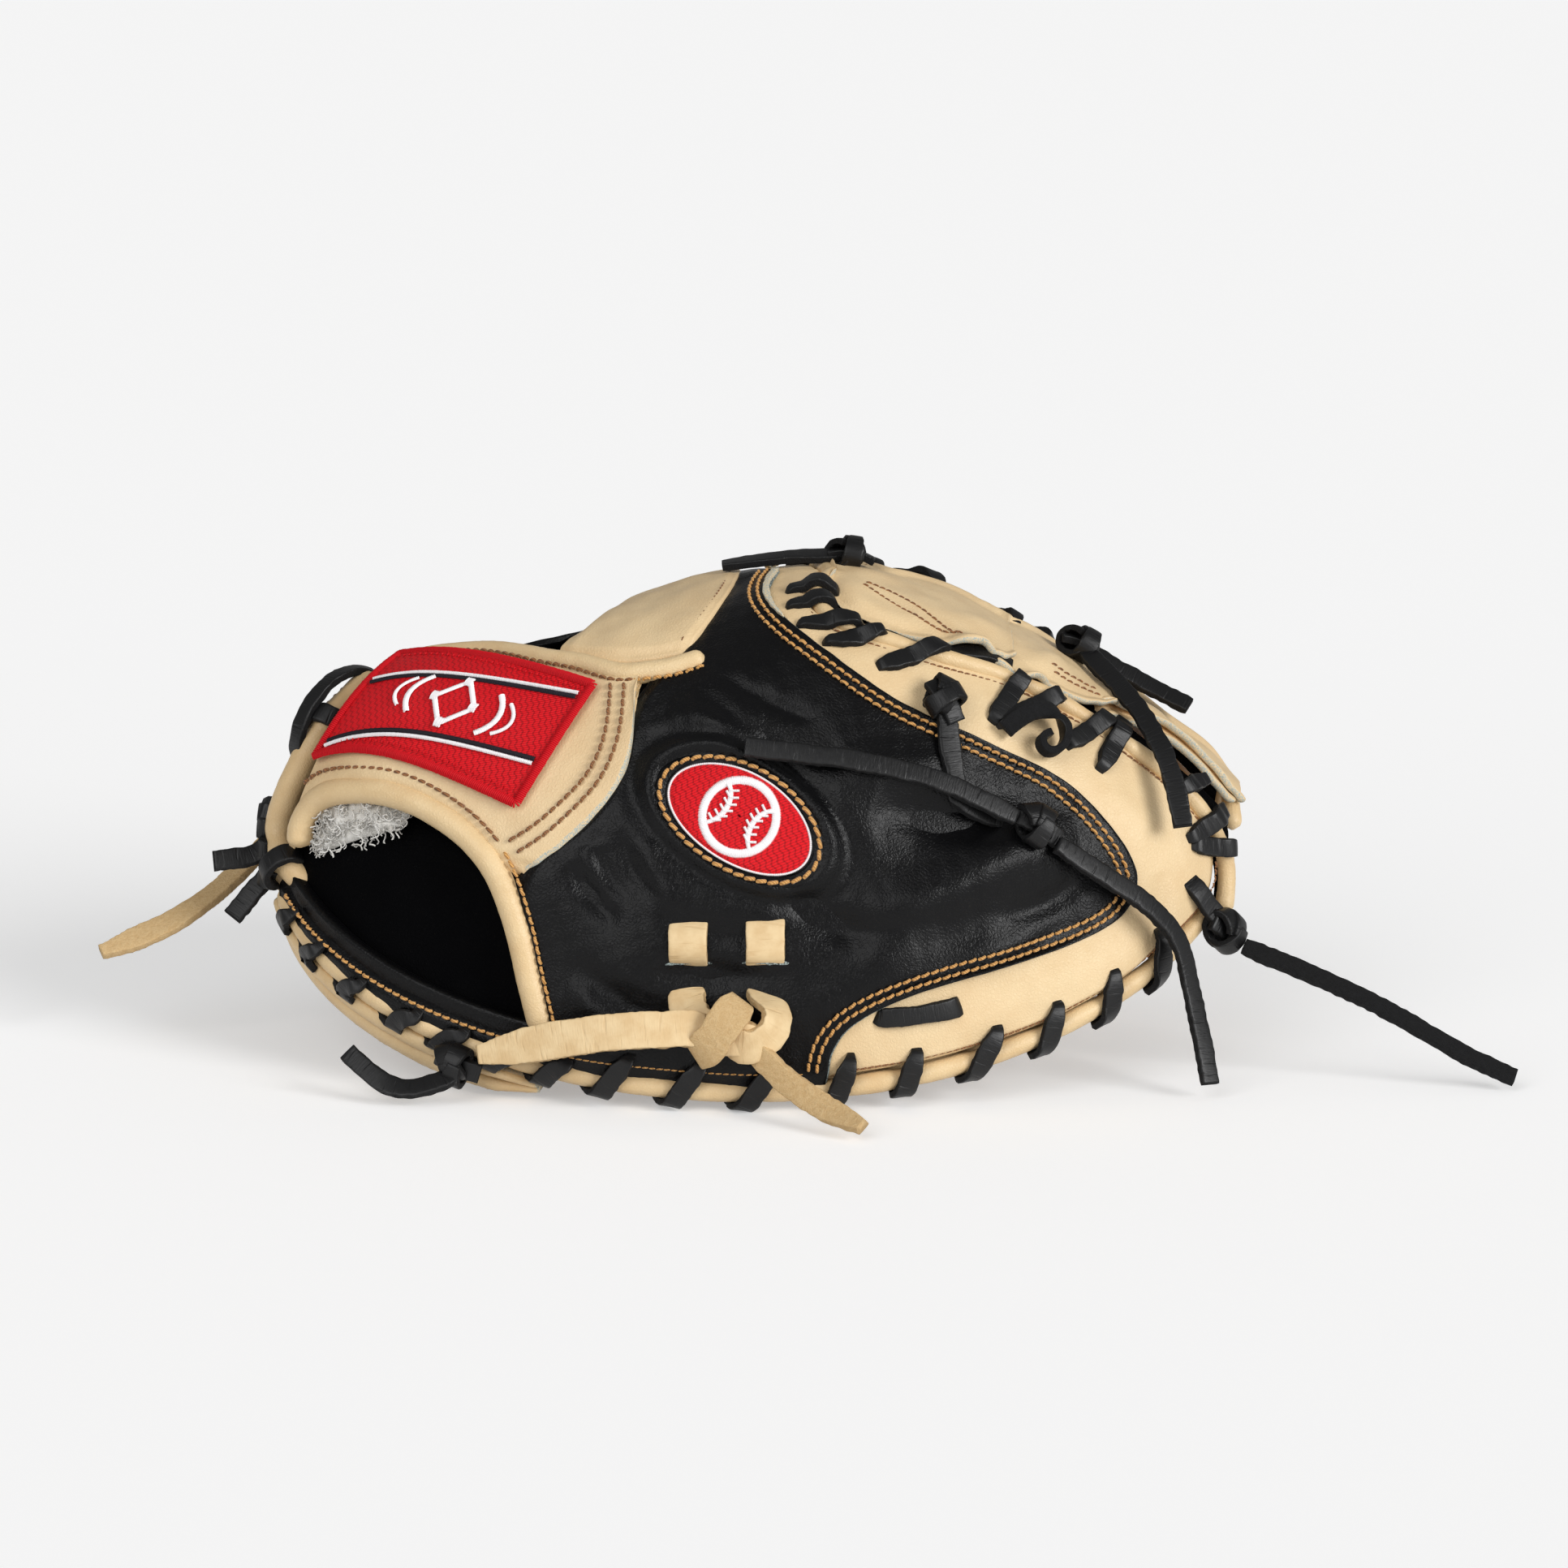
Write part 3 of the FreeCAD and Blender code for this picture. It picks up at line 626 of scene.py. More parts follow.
@dataclass
class Relief:
    """The bulges, creases and unevenness of a skin.

    Attributes:
        folds: Its ridges and creases.
        uneven: Depth of its broad unevenness.
        wavelength: Usual size of that.
        ripple: Depth of its fine unevenness.
        seed: Seed of both.
        extra: More height at points, where it has some.
    """

    folds: Sequence[Fold] = ()
    uneven: float = 0.35
    wavelength: float = 34.0
    ripple: float = 0.06
    seed: int = 1
    extra: Callable[[Array], Array] | None = None

    RIPPLE_LENGTH = 7.0

    def height(self, points: Array) -> Array:
        """Height over the plain skin at each point, in millimetres.

        Args:
            points: Points as rows, in millimetres.

        Returns:
            One height for each point.
        """
        total = self.uneven * wobble(points, self.wavelength, self.seed)
        total += self.ripple * wobble(points, self.RIPPLE_LENGTH, self.seed + 1)
        for fold in self.folds:
            total += fold.raise_at(points)
        if self.extra is not None:
            total += self.extra(points)
        return total


@dataclass
class Skin:
    """A leather skin over a patch of the arch, closed all round.

    Attributes:
        patch: The patch, as a function of two fractions.
        top: Depth of its upper face.
        bottom: Depth of its lower face.
        rows: Points along the patch's first way.
        columns: Points along its second way.
        relief: Its bulges and creases.
        margins: Distance that each side draws in, in the order s low, s high, t low, t high.
        lips: For a side's index, how far the skin stands up there and how wide the rise is.
        raw_sides: Sides whose cut edge shows.
        ragged: Depth of the waves along the raw sides.
        faces_pocket: Whether its lower face is the one that shows.
    """

    patch: Patch
    top: Depth
    bottom: Depth
    rows: int
    columns: int
    relief: Relief = field(default_factory=Relief)
    margins: tuple[float, float, float, float] = (0.2, 0.2, 0.2, 0.2)
    lips: dict[int, tuple[float, float]] = field(default_factory=dict)
    raw_sides: tuple[int, ...] = ()
    ragged: float = 0.0
    faces_pocket: bool = False

    EDGE_TURNS = (35, 70, 110, 145)
    EDGE_BULGE = 0.9
    EDGE_FADE = 3.0
    EDGE_WAVE = 11

    def _grid(self) -> tuple[Array, Array]:
        """Even fractions along both ways, one a point."""
        return np.meshgrid(np.linspace(0, 1, self.rows), np.linspace(0, 1, self.columns), indexing="ij")

    def _lengths(self) -> tuple[Array, Array]:
        """Lengths of the patch along s for each t, and along t for each s."""
        s, t = self._grid()
        points = FORM.at(self.patch(s.ravel(), t.ravel()), self.top).reshape(self.rows, self.columns, 3)
        along_s = np.linalg.norm(np.diff(points, axis=0), axis=2).sum(axis=0)
        along_t = np.linalg.norm(np.diff(points, axis=1), axis=2).sum(axis=1)
        return np.maximum(along_s, 1.0), np.maximum(along_t, 1.0)

    def _sides(self) -> tuple[Array, Array, Array, Array, Array, Array]:
        """The grid's fractions, and each point's distance from the four sides."""
        length_s, length_t = self._lengths()
        i, j = self._grid()
        counts = (self.columns, self.columns, self.rows, self.rows)
        draws = [np.full(count, margin) for count, margin in zip(counts, self.margins)]
        for side in self.raw_sides:
            run, seed = (length_t.mean(), 91) if side < 2 else (length_s.mean(), 92)
            places = np.stack([np.linspace(0, 1, counts[side]) * run] * 3, axis=1)
            draws[side] = draws[side] + self.ragged * wobble(places, self.EDGE_WAVE, seed)
        low_s, high_s = draws[0] / length_s, 1 - draws[1] / length_s
        low_t, high_t = draws[2] / length_t, 1 - draws[3] / length_t
        s = low_s[None, :] + (high_s - low_s)[None, :] * i
        t = low_t[:, None] + (high_t - low_t)[:, None] * j
        reach = (
            i * length_s[None, :], (1 - i) * length_s[None, :],
            j * length_t[:, None], (1 - j) * length_t[:, None],
        )
        return s, t, *reach

    def build(self) -> MeshPlan:
        """The skin's mesh: upper face, lower face and a rounded edge between them."""
        s, t, *reach = self._sides()
        places = self.patch(s.ravel(), t.ravel())
        plain = FORM.at(places, self.top)
        outward = FORM.outward(places)
        height = self.relief.height(plain)
        for side, (rise, width) in self.lips.items():
            height += rise * (1 - ease(reach[side].ravel() / width))
        shown, hidden = height[:, None], np.maximum(height, 0.0)[:, None] * 0.9
        above, below = (0.0, -shown) if self.faces_pocket else (shown, hidden)
        upper = (plain + outward * above).reshape(self.rows, self.columns, 3)
        lower = (FORM.at(places, self.bottom) + outward * below).reshape(upper.shape)
        return self._closed(upper, lower, reach)

    def _border(self) -> tuple[Array, Array, Array]:
        """Grid indices round the border, the indices one step in, and each one's side."""
        rows, columns = self.rows, self.columns
        ring = np.array(
            [(0, j) for j in range(columns - 1)] + [(i, columns - 1) for i in range(rows - 1)]
            + [(rows - 1, j) for j in range(columns - 1, 0, -1)] + [(i, 0) for i in range(rows - 1, 0, -1)]
        )
        inner = np.clip(ring, 1, (rows - 2, columns - 2))
        side = np.repeat([0, 3, 1, 2], [columns - 1, rows - 1, columns - 1, rows - 1])
        return ring, inner, side

    def _closed(self, upper: Array, lower: Array, reach: Sequence[Array]) -> MeshPlan:
        """Joins the two faces with a rounded edge.

        Args:
            upper: Points of the upper face, as a grid.
            lower: Points of the lower face, as a grid.
            reach: Each point's distance from the four sides.

        Returns:
            The skin's mesh.
        """
        ring, inner, side = self._border()
        flat = ring[:, 0] * self.columns + ring[:, 1]
        upper_points, lower_points = upper.reshape(-1, 3), lower.reshape(-1, 3)
        upper_rim, lower_rim = upper_points[flat], lower_points[flat]
        away = unit(upper_rim - upper[inner[:, 0], inner[:, 1]])
        half = np.linalg.norm(upper_rim - lower_rim, axis=1, keepdims=True) / 2
        down = unit(lower_rim - upper_rim)
        away = unit(away - down * np.sum(away * down, axis=1, keepdims=True))
        bulge = np.minimum(half, self.EDGE_BULGE)
        loops = [
            upper_rim + away * bulge * math.sin(turn) + down * half * (1 - math.cos(turn))
            for turn in np.radians(self.EDGE_TURNS)
        ]
        count, around = len(upper_points), len(ring)
        faces = grid_faces(self.rows, self.columns) + grid_faces(self.rows, self.columns, count, flip=True)
        index = np.arange(around)
        after = (index + 1) % around
        levels = [flat] + [2 * count + k * around + index for k in range(len(loops))] + [count + flat]
        for over, under in zip(levels, levels[1:]):
            faces += as_faces(over[index], over[after], under[after], under[index])
        nearest = np.minimum.reduce([distance.ravel() for distance in reach])
        rim_raw = np.isin(side, self.raw_sides).astype(float)
        uv = np.stack([reach[2].ravel(), reach[0].ravel()], axis=1)
        # The finish is darker towards the skin's edges and darkest on its rounded edge.
        tone = np.exp(-nearest / self.EDGE_FADE)
        return MeshPlan(
            np.concatenate([upper_points, lower_points] + loops), faces,
            np.concatenate([uv, uv] + [uv[flat]] * len(loops)),
            np.concatenate([np.zeros(2 * count)] + [rim_raw] * len(loops)),
            np.concatenate([tone, tone] + [np.ones(around)] * len(loops)),
        )


class EndShape(Enum):
    """How a lace or a roll ends."""

    CUT = "cut straight across"
    ROUND = "rounded over"
    POINT = "cut to a taper"


@dataclass
class Strap:
    """A flat lace swept along a path, with softly rounded corners.

    Attributes:
        path: Its centre line, one point a row.
        ups: Directions that its smooth face looks, one a row.
        width: Width of the lace.
        gauge: Thickness of the lace.
        widths: Share of the width along the lace, as pairs of fraction and share.
        gauges: Share of the thickness along the lace, as pairs of fraction and share.
        crown: How far the smooth face is domed.
        seed: Seed of its uneven edges.
        rough: 1 where its underside shows suede, 0 where both faces are smooth.
        start: Shape of its first end.
        end: Shape of its last end.
        spacing: Distance between rings of points.
        uneven: Depth of its uneven edges.
    """

    path: Array
    ups: Array
    width: float = Gauge.LACE_WIDTH
    gauge: float = Gauge.LACE
    widths: Sequence[tuple[float, float]] = ((0, 1), (1, 1))
    gauges: Sequence[tuple[float, float]] = ((0, 1), (1, 1))
    crown: float = 0.08
    seed: int = 3
    rough: float = 1.0
    start: EndShape = EndShape.CUT
    end: EndShape = EndShape.CUT
    spacing: float = 1.0
    uneven: float = 0.16

    SECTION = (
        (-1.0, -0.7), (-1.0, 0.6), (-0.985, 0.84), (-0.93, 0.97), (-0.8, 1.0), (-0.4, 1.0), (0.0, 1.0),
        (0.4, 1.0), (0.8, 1.0), (0.93, 0.97), (0.985, 0.84), (1.0, 0.6), (1.0, -0.7), (0.97, -0.93),
        (0.88, -1.0), (0.3, -1.0), (-0.3, -1.0), (-0.88, -1.0), (-0.97, -0.93),
    )
    FINE_WAVE = 2.6
    BROAD_WAVE = 9.0
    SIDE_RAW = 0.62
    END_RAW = 0.8
    TIP_SHARE = 0.55
    TAPER = 1.4
    CUT_REACH = 0.4
    CUT_SHARE = 0.9

    def build(self) -> MeshPlan:
        """The lace's mesh."""
        tagged = evenly(np.concatenate([self.path, self.ups * 1e-4], axis=1), self.spacing)
        path, ups = tagged[:, :3], unit(tagged[:, 3:])
        count = len(path)
        onward = unit(np.gradient(path, axis=0))
        ups = unit(ups - onward * np.sum(ups * onward, axis=1, keepdims=True))
        sides = np.cross(onward, ups)
        lengths = run_lengths(path)
        share = lengths / lengths[-1]
        half = self.width / 2 * np.interp(share, *zip(*self.widths))
        thick = self.gauge / 2 * np.interp(share, *zip(*self.gauges))
        half, thick = self._ends(lengths, half, thick)
        section = np.array(self.SECTION)
        across_lace, through = section[:, 0], section[:, 1]
        domed = through + self.crown * (1 - across_lace**2) * (through > 0)
        points = (
            path[:, None] + sides[:, None] * (half[:, None] * across_lace)[..., None]
            + ups[:, None] * (thick[:, None] * domed)[..., None]
        ).reshape(-1, 3)
        fine = wobble(points, self.FINE_WAVE, self.seed) * self.uneven
        broad = wobble(points, self.BROAD_WAVE, self.seed + 1) * self.uneven
        around = len(section)
        reach = np.tile(across_lace, count)
        push = np.repeat(sides, around, axis=0) * (reach * (fine + broad))[:, None]
        points = points + push * (np.abs(reach) > 0.85)[:, None]
        faces = grid_faces(count, around, loop=True)
        faces.append(tuple(range(around)))
        faces.append(tuple(reversed(range((count - 1) * around, count * around))))
        uv = np.stack([np.repeat(lengths, around), (half[:, None] * across_lace).ravel()], axis=1)
        suede = np.where(through < 0.7, np.where(through < -0.9, self.rough, self.SIDE_RAW), 0.0)
        raw = np.tile(suede, count)
        raw[:around] = np.maximum(raw[:around], self.END_RAW)
        raw[-around:] = np.maximum(raw[-around:], self.END_RAW)
        tone = np.tile(np.abs(across_lace) ** 4, count)
        return MeshPlan(points, faces, uv, raw, tone)

    def build_raw(self) -> MeshPlan:
        """The same mesh with raw fibres all round, for the lip of a cut edge."""
        plan = self.build()
        return MeshPlan(plan.points, plan.faces, plan.uv, np.ones(len(plan.points)), plan.tone)

    def _ends(self, lengths: Array, half: Array, thick: Array) -> tuple[Array, Array]:
        """Narrows the ends as their shapes ask.

        Args:
            lengths: Distance along the strap at each ring, in millimetres.
            half: Half the width at each ring.
            thick: Thickness at each ring.

        Returns:
            The half widths and thicknesses, narrowed.
        """
        for shape, gap in ((self.start, lengths), (self.end, lengths[-1] - lengths)):
            if shape is EndShape.ROUND:
                arc = np.sqrt(np.clip(1 - (1 - np.clip(gap / self.gauge, 0, 1)) ** 2, 0.04, 1))
                thick = thick * arc
                half = half * (self.TIP_SHARE + (1 - self.TIP_SHARE) * arc)
            elif shape is EndShape.POINT:
                far = np.clip(gap / (self.TAPER * self.width), 0, 1)
                half = half * (self.TIP_SHARE + (1 - self.TIP_SHARE) * far)
            else:
                thick = thick * np.where(gap < self.CUT_REACH, self.CUT_SHARE, 1.0)
        return half, thick


@dataclass
class Roll:
    """A leather edge rolled over a cord, along a line in the wall.

    Attributes:
        line: The line on the arch.
        depth: Depth of its centre.
        radius: Its radius.
        pinches: Fractions of the line where a lace pulls it in.
        squeeze: How far a lace pulls it in, as a share of the radius.
        seed: Seed of its wrinkles.
        spacing: Distance between rings of points.
        around: Points in a ring.
        lift: How far it stands over the line.
    """

    line: Line
    depth: Depth
    radius: float = Gauge.ROLL
    pinches: Sequence[float] = ()
    squeeze: float = 0.12
    seed: int = 5
    spacing: float = 1.3
    around: int = 20
    lift: float = 0.0

    PINCH_REACH = 4.2
    PINCH_SHADE_REACH = 3.4
    BROAD = (0.12, 9.0)
    FINE = (0.05, 2.5)

    def build(self) -> MeshPlan:
        """The roll's mesh, with domed ends."""
        coarse = FORM.at(self.line(np.linspace(0, 1, 200)), self.depth)
        length = np.linalg.norm(np.diff(coarse, axis=0), axis=1).sum()
        count = max(12, int(length / self.spacing))
        t = np.linspace(0, 1, count)
        centre, outward, _, sideways = FORM.rail(self.line, t, self.depth)
        centre = centre + outward * self.lift
        gap = np.minimum(t, 1 - t) * length
        dome = np.sqrt(np.clip(1 - (1 - np.clip(gap / self.radius, 0, 1)) ** 2, 0.02, 1))
        radius = self.radius * dome
        for pinch in self.pinches:
            radius = radius * (1 - self.squeeze * np.exp(-(((t - pinch) * length / self.PINCH_REACH) ** 2)))
        angles = np.linspace(0, 2 * math.pi, self.around, endpoint=False)
        cosine, sine = np.cos(angles)[None, :, None], np.sin(angles)[None, :, None]
        ring = outward[:, None] * cosine + sideways[:, None] * sine
        points = (centre[:, None] + ring * radius[:, None, None]).reshape(-1, 3)
        (broad, broad_length), (fine, fine_length) = self.BROAD, self.FINE
        lengthened = points * (0.45, 1, 1)
        swell = broad * wobble(lengthened, broad_length, self.seed)
        swell += fine * wobble(points, fine_length, self.seed + 1)
        points = points + ring.reshape(-1, 3) * (swell * np.repeat(dome, self.around))[:, None]
        faces = grid_faces(count, self.around, loop=True, flip=True)
        faces.append(tuple(reversed(range(self.around))))
        faces.append(tuple(range((count - 1) * self.around, count * self.around)))
        uv = np.stack([np.repeat(t * length, self.around), np.tile(angles * self.radius, count)], axis=1)
        # Painted shade: the roll's colour darkens round each place where a lace pinches it in.
        darker = [np.exp(-(((t - pinch) * length / self.PINCH_SHADE_REACH) ** 2)) for pinch in self.pinches]
        tone = np.repeat(sum(darker, np.zeros(count)), self.around)
        return MeshPlan(points, faces, uv, np.zeros(len(points)), np.clip(tone, 0, 1))


def outward_facing(data: bpy.types.Mesh) -> bpy.types.Mesh:
    """Turns a closed mesh's faces outwards.

    Args:
        data: The mesh, which is changed.

    Returns:
        The same mesh.
    """
    work = bmesh.new()
    work.from_mesh(data)
    bmesh.ops.recalc_face_normals(work, faces=work.faces)
    work.to_mesh(data)
    work.free()
    return data


# ---- finishes


class Socket:
    """An output of a shader node, which sums and products can be written with."""

    def __init__(self, shade: "Shade", output: bpy.types.NodeSocket) -> None:
        """Keeps the tree and the output."""
        self.shade = shade
        self.output = output

    def _maths(self, operation: str, first: "Socket | float", second: "Socket | float") -> "Socket":
        """A Math node on two values."""
        return self.shade.node("Math", {"operation": operation}, {0: first, 1: second})

    def __add__(self, other: "Socket | float") -> "Socket":
        """The sum."""
        return self._maths("ADD", self, other)

    def __mul__(self, other: "Socket | float") -> "Socket":
        """The product."""
        return self._maths("MULTIPLY", self, other)

    __rmul__ = __mul__

    def __sub__(self, other: "Socket | float") -> "Socket":
        """The difference."""
        return self._maths("SUBTRACT", self, other)

    def __rsub__(self, other: float) -> "Socket":
        """The difference the other way."""
        return self._maths("SUBTRACT", other, self)

    def most(self, other: "Socket | float") -> "Socket":
        """The greater of two."""
        return self._maths("MAXIMUM", self, other)

    def sine(self) -> "Socket":
        """The sine."""
        return self.shade.node("Math", {"operation": "SINE"}, {0: self})

    def step(self, low: float, high: float) -> "Socket":
        """0 below low, 1 above high, and smooth between."""
        settings = {"interpolation_type": "SMOOTHSTEP"}
        return self.shade.node("MapRange", settings, {"Value": self, "From Min": low, "From Max": high})


class Shade:
    """A material's node tree while it is built."""

    def __init__(self, name: str) -> None:
        """Starts a material with its output and its main shader.

        Args:
            name: The material's name.
        """
        self.material = bpy.data.materials.new(name)
        self.material.use_nodes = True
        self.tree = self.material.node_tree
        self.tree.nodes.clear()
        self.main = self.tree.nodes.new("ShaderNodeBsdfPrincipled")
        self.out = self.tree.nodes.new("ShaderNodeOutputMaterial")
        self.tree.links.new(self.main.outputs[0], self.out.inputs[0])

    def feed(self, socket: bpy.types.NodeSocket, value: "Socket | float | tuple") -> None:
        """Links a socket, or sets its value.

        Args:
            socket: The input.
            value: A socket to link, or a plain value.
        """
        if isinstance(value, Socket):
            self.tree.links.new(value.output, socket)
        else:
            socket.default_value = value

    def node(
        self, kind: str, settings: dict | None = None, values: dict | None = None, output: int | str = 0,
    ) -> Socket:
        """Makes a shader node.

        Args:
            kind: The node's type, without its prefix.
            settings: Its properties, set first.
            values: Its sockets' values or links, by name or number.
            output: The output that is wanted.

        Returns:
            That output.
        """
        made = self.tree.nodes.new("ShaderNode" + kind)
        for label, value in (settings or {}).items():
            setattr(made, label, value)
        for label, value in (values or {}).items():
            self.feed(made.inputs[label], value)
        return Socket(self, made.outputs[output])

    def place(self) -> Socket:
        """Object coordinates."""
        return self.node("TexCoord", output="Object")

    def flat(self) -> Socket:
        """The piece's UV map."""
        return self.node("UVMap", {"uv_map": "UVMap"})

    def attribute(self, label: str) -> Socket:
        """A number kept on the piece's points."""
        return self.node("Attribute", {"attribute_name": label}, output="Fac")

    def stretched(self, vector: Socket, scale: tuple[float, float, float], turn: float = 0.0) -> Socket:
        """A vector scaled and turned about Z."""
        return self.node("Mapping", {}, {"Vector": vector, "Scale": scale, "Rotation": (0, 0, turn)})

    def noise(self, vector: Socket, scale: float, detail: float = 3.0, roughness: float = 0.55) -> Socket:
        """Smooth noise between 0 and 1."""
        values = {"Vector": vector, "Scale": scale, "Detail": detail, "Roughness": roughness}
        return self.node("TexNoise", {}, values)

    def cells(self, vector: Socket, scale: float) -> Socket:
        """Distance to the nearest edge in a field of cells."""
        values = {"Vector": vector, "Scale": scale}
        return self.node("TexVoronoi", {"feature": "DISTANCE_TO_EDGE"}, values, "Distance")

    def mix(self, share: "Socket | float", first: "Socket | tuple", second: "Socket | tuple") -> Socket:
        """Two colours mixed.

        Args:
            share: How much of the second colour shows.
            first: The first colour.
            second: The second colour.

        Returns:
            The mixed colour.
        """
        made = self.tree.nodes.new("ShaderNodeMix")
        made.data_type = "RGBA"
        for index, value in ((0, share), (6, first), (7, second)):
            self.feed(made.inputs[index], value)
        return Socket(self, made.outputs[2])

    def bump(self, height: Socket, distance: float, strength: float) -> Socket:
        """A normal pushed about by a height from 0 to 1."""
        return self.node("Bump", {}, {"Height": height, "Distance": distance, "Strength": strength}, "Normal")

    def finish(self, **sockets: "Socket | float | tuple") -> bpy.types.Material:
        """Feeds the main shader's sockets and gives the material.

        Args:
            sockets: What each socket gets, by its name with underscores for spaces.

        Returns:
            The material.
        """
        for label, value in sockets.items():
            self.feed(self.main.inputs[label.replace("_", " ")], value)
        return self.material


def srgb(code: str) -> tuple[float, float, float, float]:
    """A six-digit colour as linear red, green, blue and 1.

    Args:
        code: Six hexadecimal digits.

    Returns:
        The colour with full cover, as linear light.
    """
    parts = [int(code[i:i + 2], 16) / 255 for i in (0, 2, 4)]
    linear = [part / 12.92 if part <= 0.04045 else ((part + 0.055) / 1.055) ** 2.4 for part in parts]
    return (linear[0], linear[1], linear[2], 1.0)


class Slot(Enum):
    """The record's material slots."""

    BLACK_LEATHER = "black_leather"
    TAN_LEATHER = "tan_leather"
    PALM_LEATHER = "palm_leather"
    PADDING = "felt_padding"
    BLACK_LINING = "black_lining"
    TAN_BINDING = "tan_binding"
    BLACK_LACE = "black_lace"
    TAN_LACE = "tan_lace"
    RED_EMBROIDERY = "red_embroidery"
    FLEECE = "white_fleece"
    PLASTIC = "black_plastic"


@dataclass(frozen=True)
class Leather:
    """Grained leather with darker lines in its grain, darker towards its edges, painted shade where a lace
    pinches a roll, and raw fibres where it is cut.

    Attributes:
        name: Its name.
        colour: Its colour.
        shade: Its darker colour, in patches, in its grain, towards edges, and as painted shade where a lace
            pinches a roll.
        raw: The colour of its cut fibres.
        roughness: How rough its face is.
        grain: How many cells of grain a metre holds.
        grain_depth: Their depth in metres.
        pore: How dark the lines between them are.
        level: Strength of its gloss.
    """

    name: str
    colour: str
    shade: str
    raw: str
    roughness: float
    grain: float
    grain_depth: float
    pore: float
    level: float

    EDGE_DARKENING = 0.3

    def material(self) -> bpy.types.Material:
        """The leather's material."""
        shade = Shade(self.name)
        place = shade.place()
        drift = shade.noise(place, 34, 4, 0.6)
        blotch = shade.noise(place, 140, 3, 0.6)
        waves = shade.node("TexNoise", {}, {"Vector": place, "Scale": 420.0, "Detail": 2.0}, "Color")
        shift = shade.node("VectorMath", {"operation": "SCALE"}, {0: waves, "Scale": 0.0011})
        warped = shade.node("VectorMath", {"operation": "ADD"}, {0: place, 1: shift})
        pebble = shade.cells(warped, self.grain).step(0.0, 0.32)
        small = shade.cells(warped, self.grain * 2.1).step(0.0, 0.4)
        fine = shade.noise(place, self.grain * 3.2, 2, 0.6)
        grain = pebble * 0.5 + small * 0.3 + fine * 0.35
        raw = shade.attribute("raw").step(0.3, 0.75)
        tone = shade.attribute("tone")
        darker = drift.step(0.3, 0.75) * 0.5 + blotch.step(0.35, 0.8) * 0.22
        base = shade.mix(darker, srgb(self.colour), srgb(self.shade))
        base = shade.mix((1 - pebble) * self.pore, base, srgb(self.shade))
        # The tone attribute darkens the colour towards edges and, as painted shade, where a lace pinches a
        # roll.
        base = shade.mix(tone * self.EDGE_DARKENING, base, srgb(self.shade))
        fibre = shade.noise(place, 2100, 3, 0.7)
        ragged = shade.mix(fibre.step(0.35, 0.65), srgb(self.raw), srgb(self.colour))
        rough = shade.noise(place, 90, 3, 0.6) * 0.16 + (self.roughness - 0.08) - grain * 0.05
        tall = grain * (1 - raw) + fibre * raw * 1.6
        return shade.finish(
            Base_Color=shade.mix(raw, base, ragged),
            Roughness=rough * (1 - raw) + raw * 0.88,
            Normal=shade.bump(tall, self.grain_depth, 0.85),
            Specular_IOR_Level=self.level,
        )


@dataclass(frozen=True)
class Rawhide:
    """Lace leather: smooth on its face, napped on its back and cut edges.

    Attributes:
        name: Its name.
        colour: The face's colour.
        shade: The face's darker colour.
        nap: The nap's colour.
        roughness: How rough its face is.
        level: Strength of its gloss.
    """

    name: str
    colour: str
    shade: str
    nap: str
    roughness: float
    level: float

    def material(self) -> bpy.types.Material:
        """The lace's material."""
        shade = Shade(self.name)
        place, flat = shade.place(), shade.flat()
        raw = shade.attribute("raw")
        patchy = shade.noise(place, 900, 3, 0.6)
        napped = (raw + (patchy - 0.5) * 0.5).step(0.35, 0.6)
        lines = shade.noise(shade.stretched(flat, (1500, 260, 1)), 1.0, 3, 0.6)
        creases = shade.noise(shade.stretched(flat, (620, 90, 1)), 1.0, 2, 0.5).step(0.56, 0.72)
        drift = shade.noise(place, 160, 3, 0.6)
        smooth_face = shade.mix(drift.step(0.3, 0.75) * 0.6, srgb(self.colour), srgb(self.shade))
        smooth_face = shade.mix(creases * 0.35, smooth_face, srgb(self.shade))
        fibre = shade.noise(place, 1900, 4, 0.75)
        clumps = shade.noise(place, 620, 3, 0.65)
        nap = shade.mix((fibre * 0.6 + clumps * 0.4).step(0.36, 0.66), srgb(self.shade), srgb(self.nap))
        tall = (lines * 0.5 + creases * -0.5) * (1 - napped) + (fibre + clumps * 1.4) * napped * 1.5
        return shade.finish(
            Base_Color=shade.mix(napped, smooth_face, nap),
            Roughness=(drift * 0.14 + self.roughness) * (1 - napped) + napped * 0.93,
            Normal=shade.bump(tall, 0.00028, 0.9),
            Specular_IOR_Level=self.level,
        )


@dataclass(frozen=True)
class Thread:
    """Twisted sewing thread."""

    name: str
    colour: str
    shade: str

    def material(self) -> bpy.types.Material:
        """The thread's material."""
        shade = Shade(self.name)
        place = shade.place()
        wave = {"Vector": place, "Scale": 520.0, "Distortion": 1.5}
        twist = shade.node("TexWave", {"bands_direction": "DIAGONAL"}, wave)
        fluff = shade.noise(place, 2600, 2, 0.6)
        drift = shade.noise(place, 210, 2, 0.5)
        base = shade.mix(twist.step(0.15, 0.75) * 0.7 + drift * 0.3, srgb(self.shade), srgb(self.colour))
        return shade.finish(
            Base_Color=base,
            Roughness=drift * 0.1 + 0.5,
            Normal=shade.bump(twist * 0.7 + fluff * 0.3, 0.00012, 0.8),
            Sheen_Weight=0.25,
        )


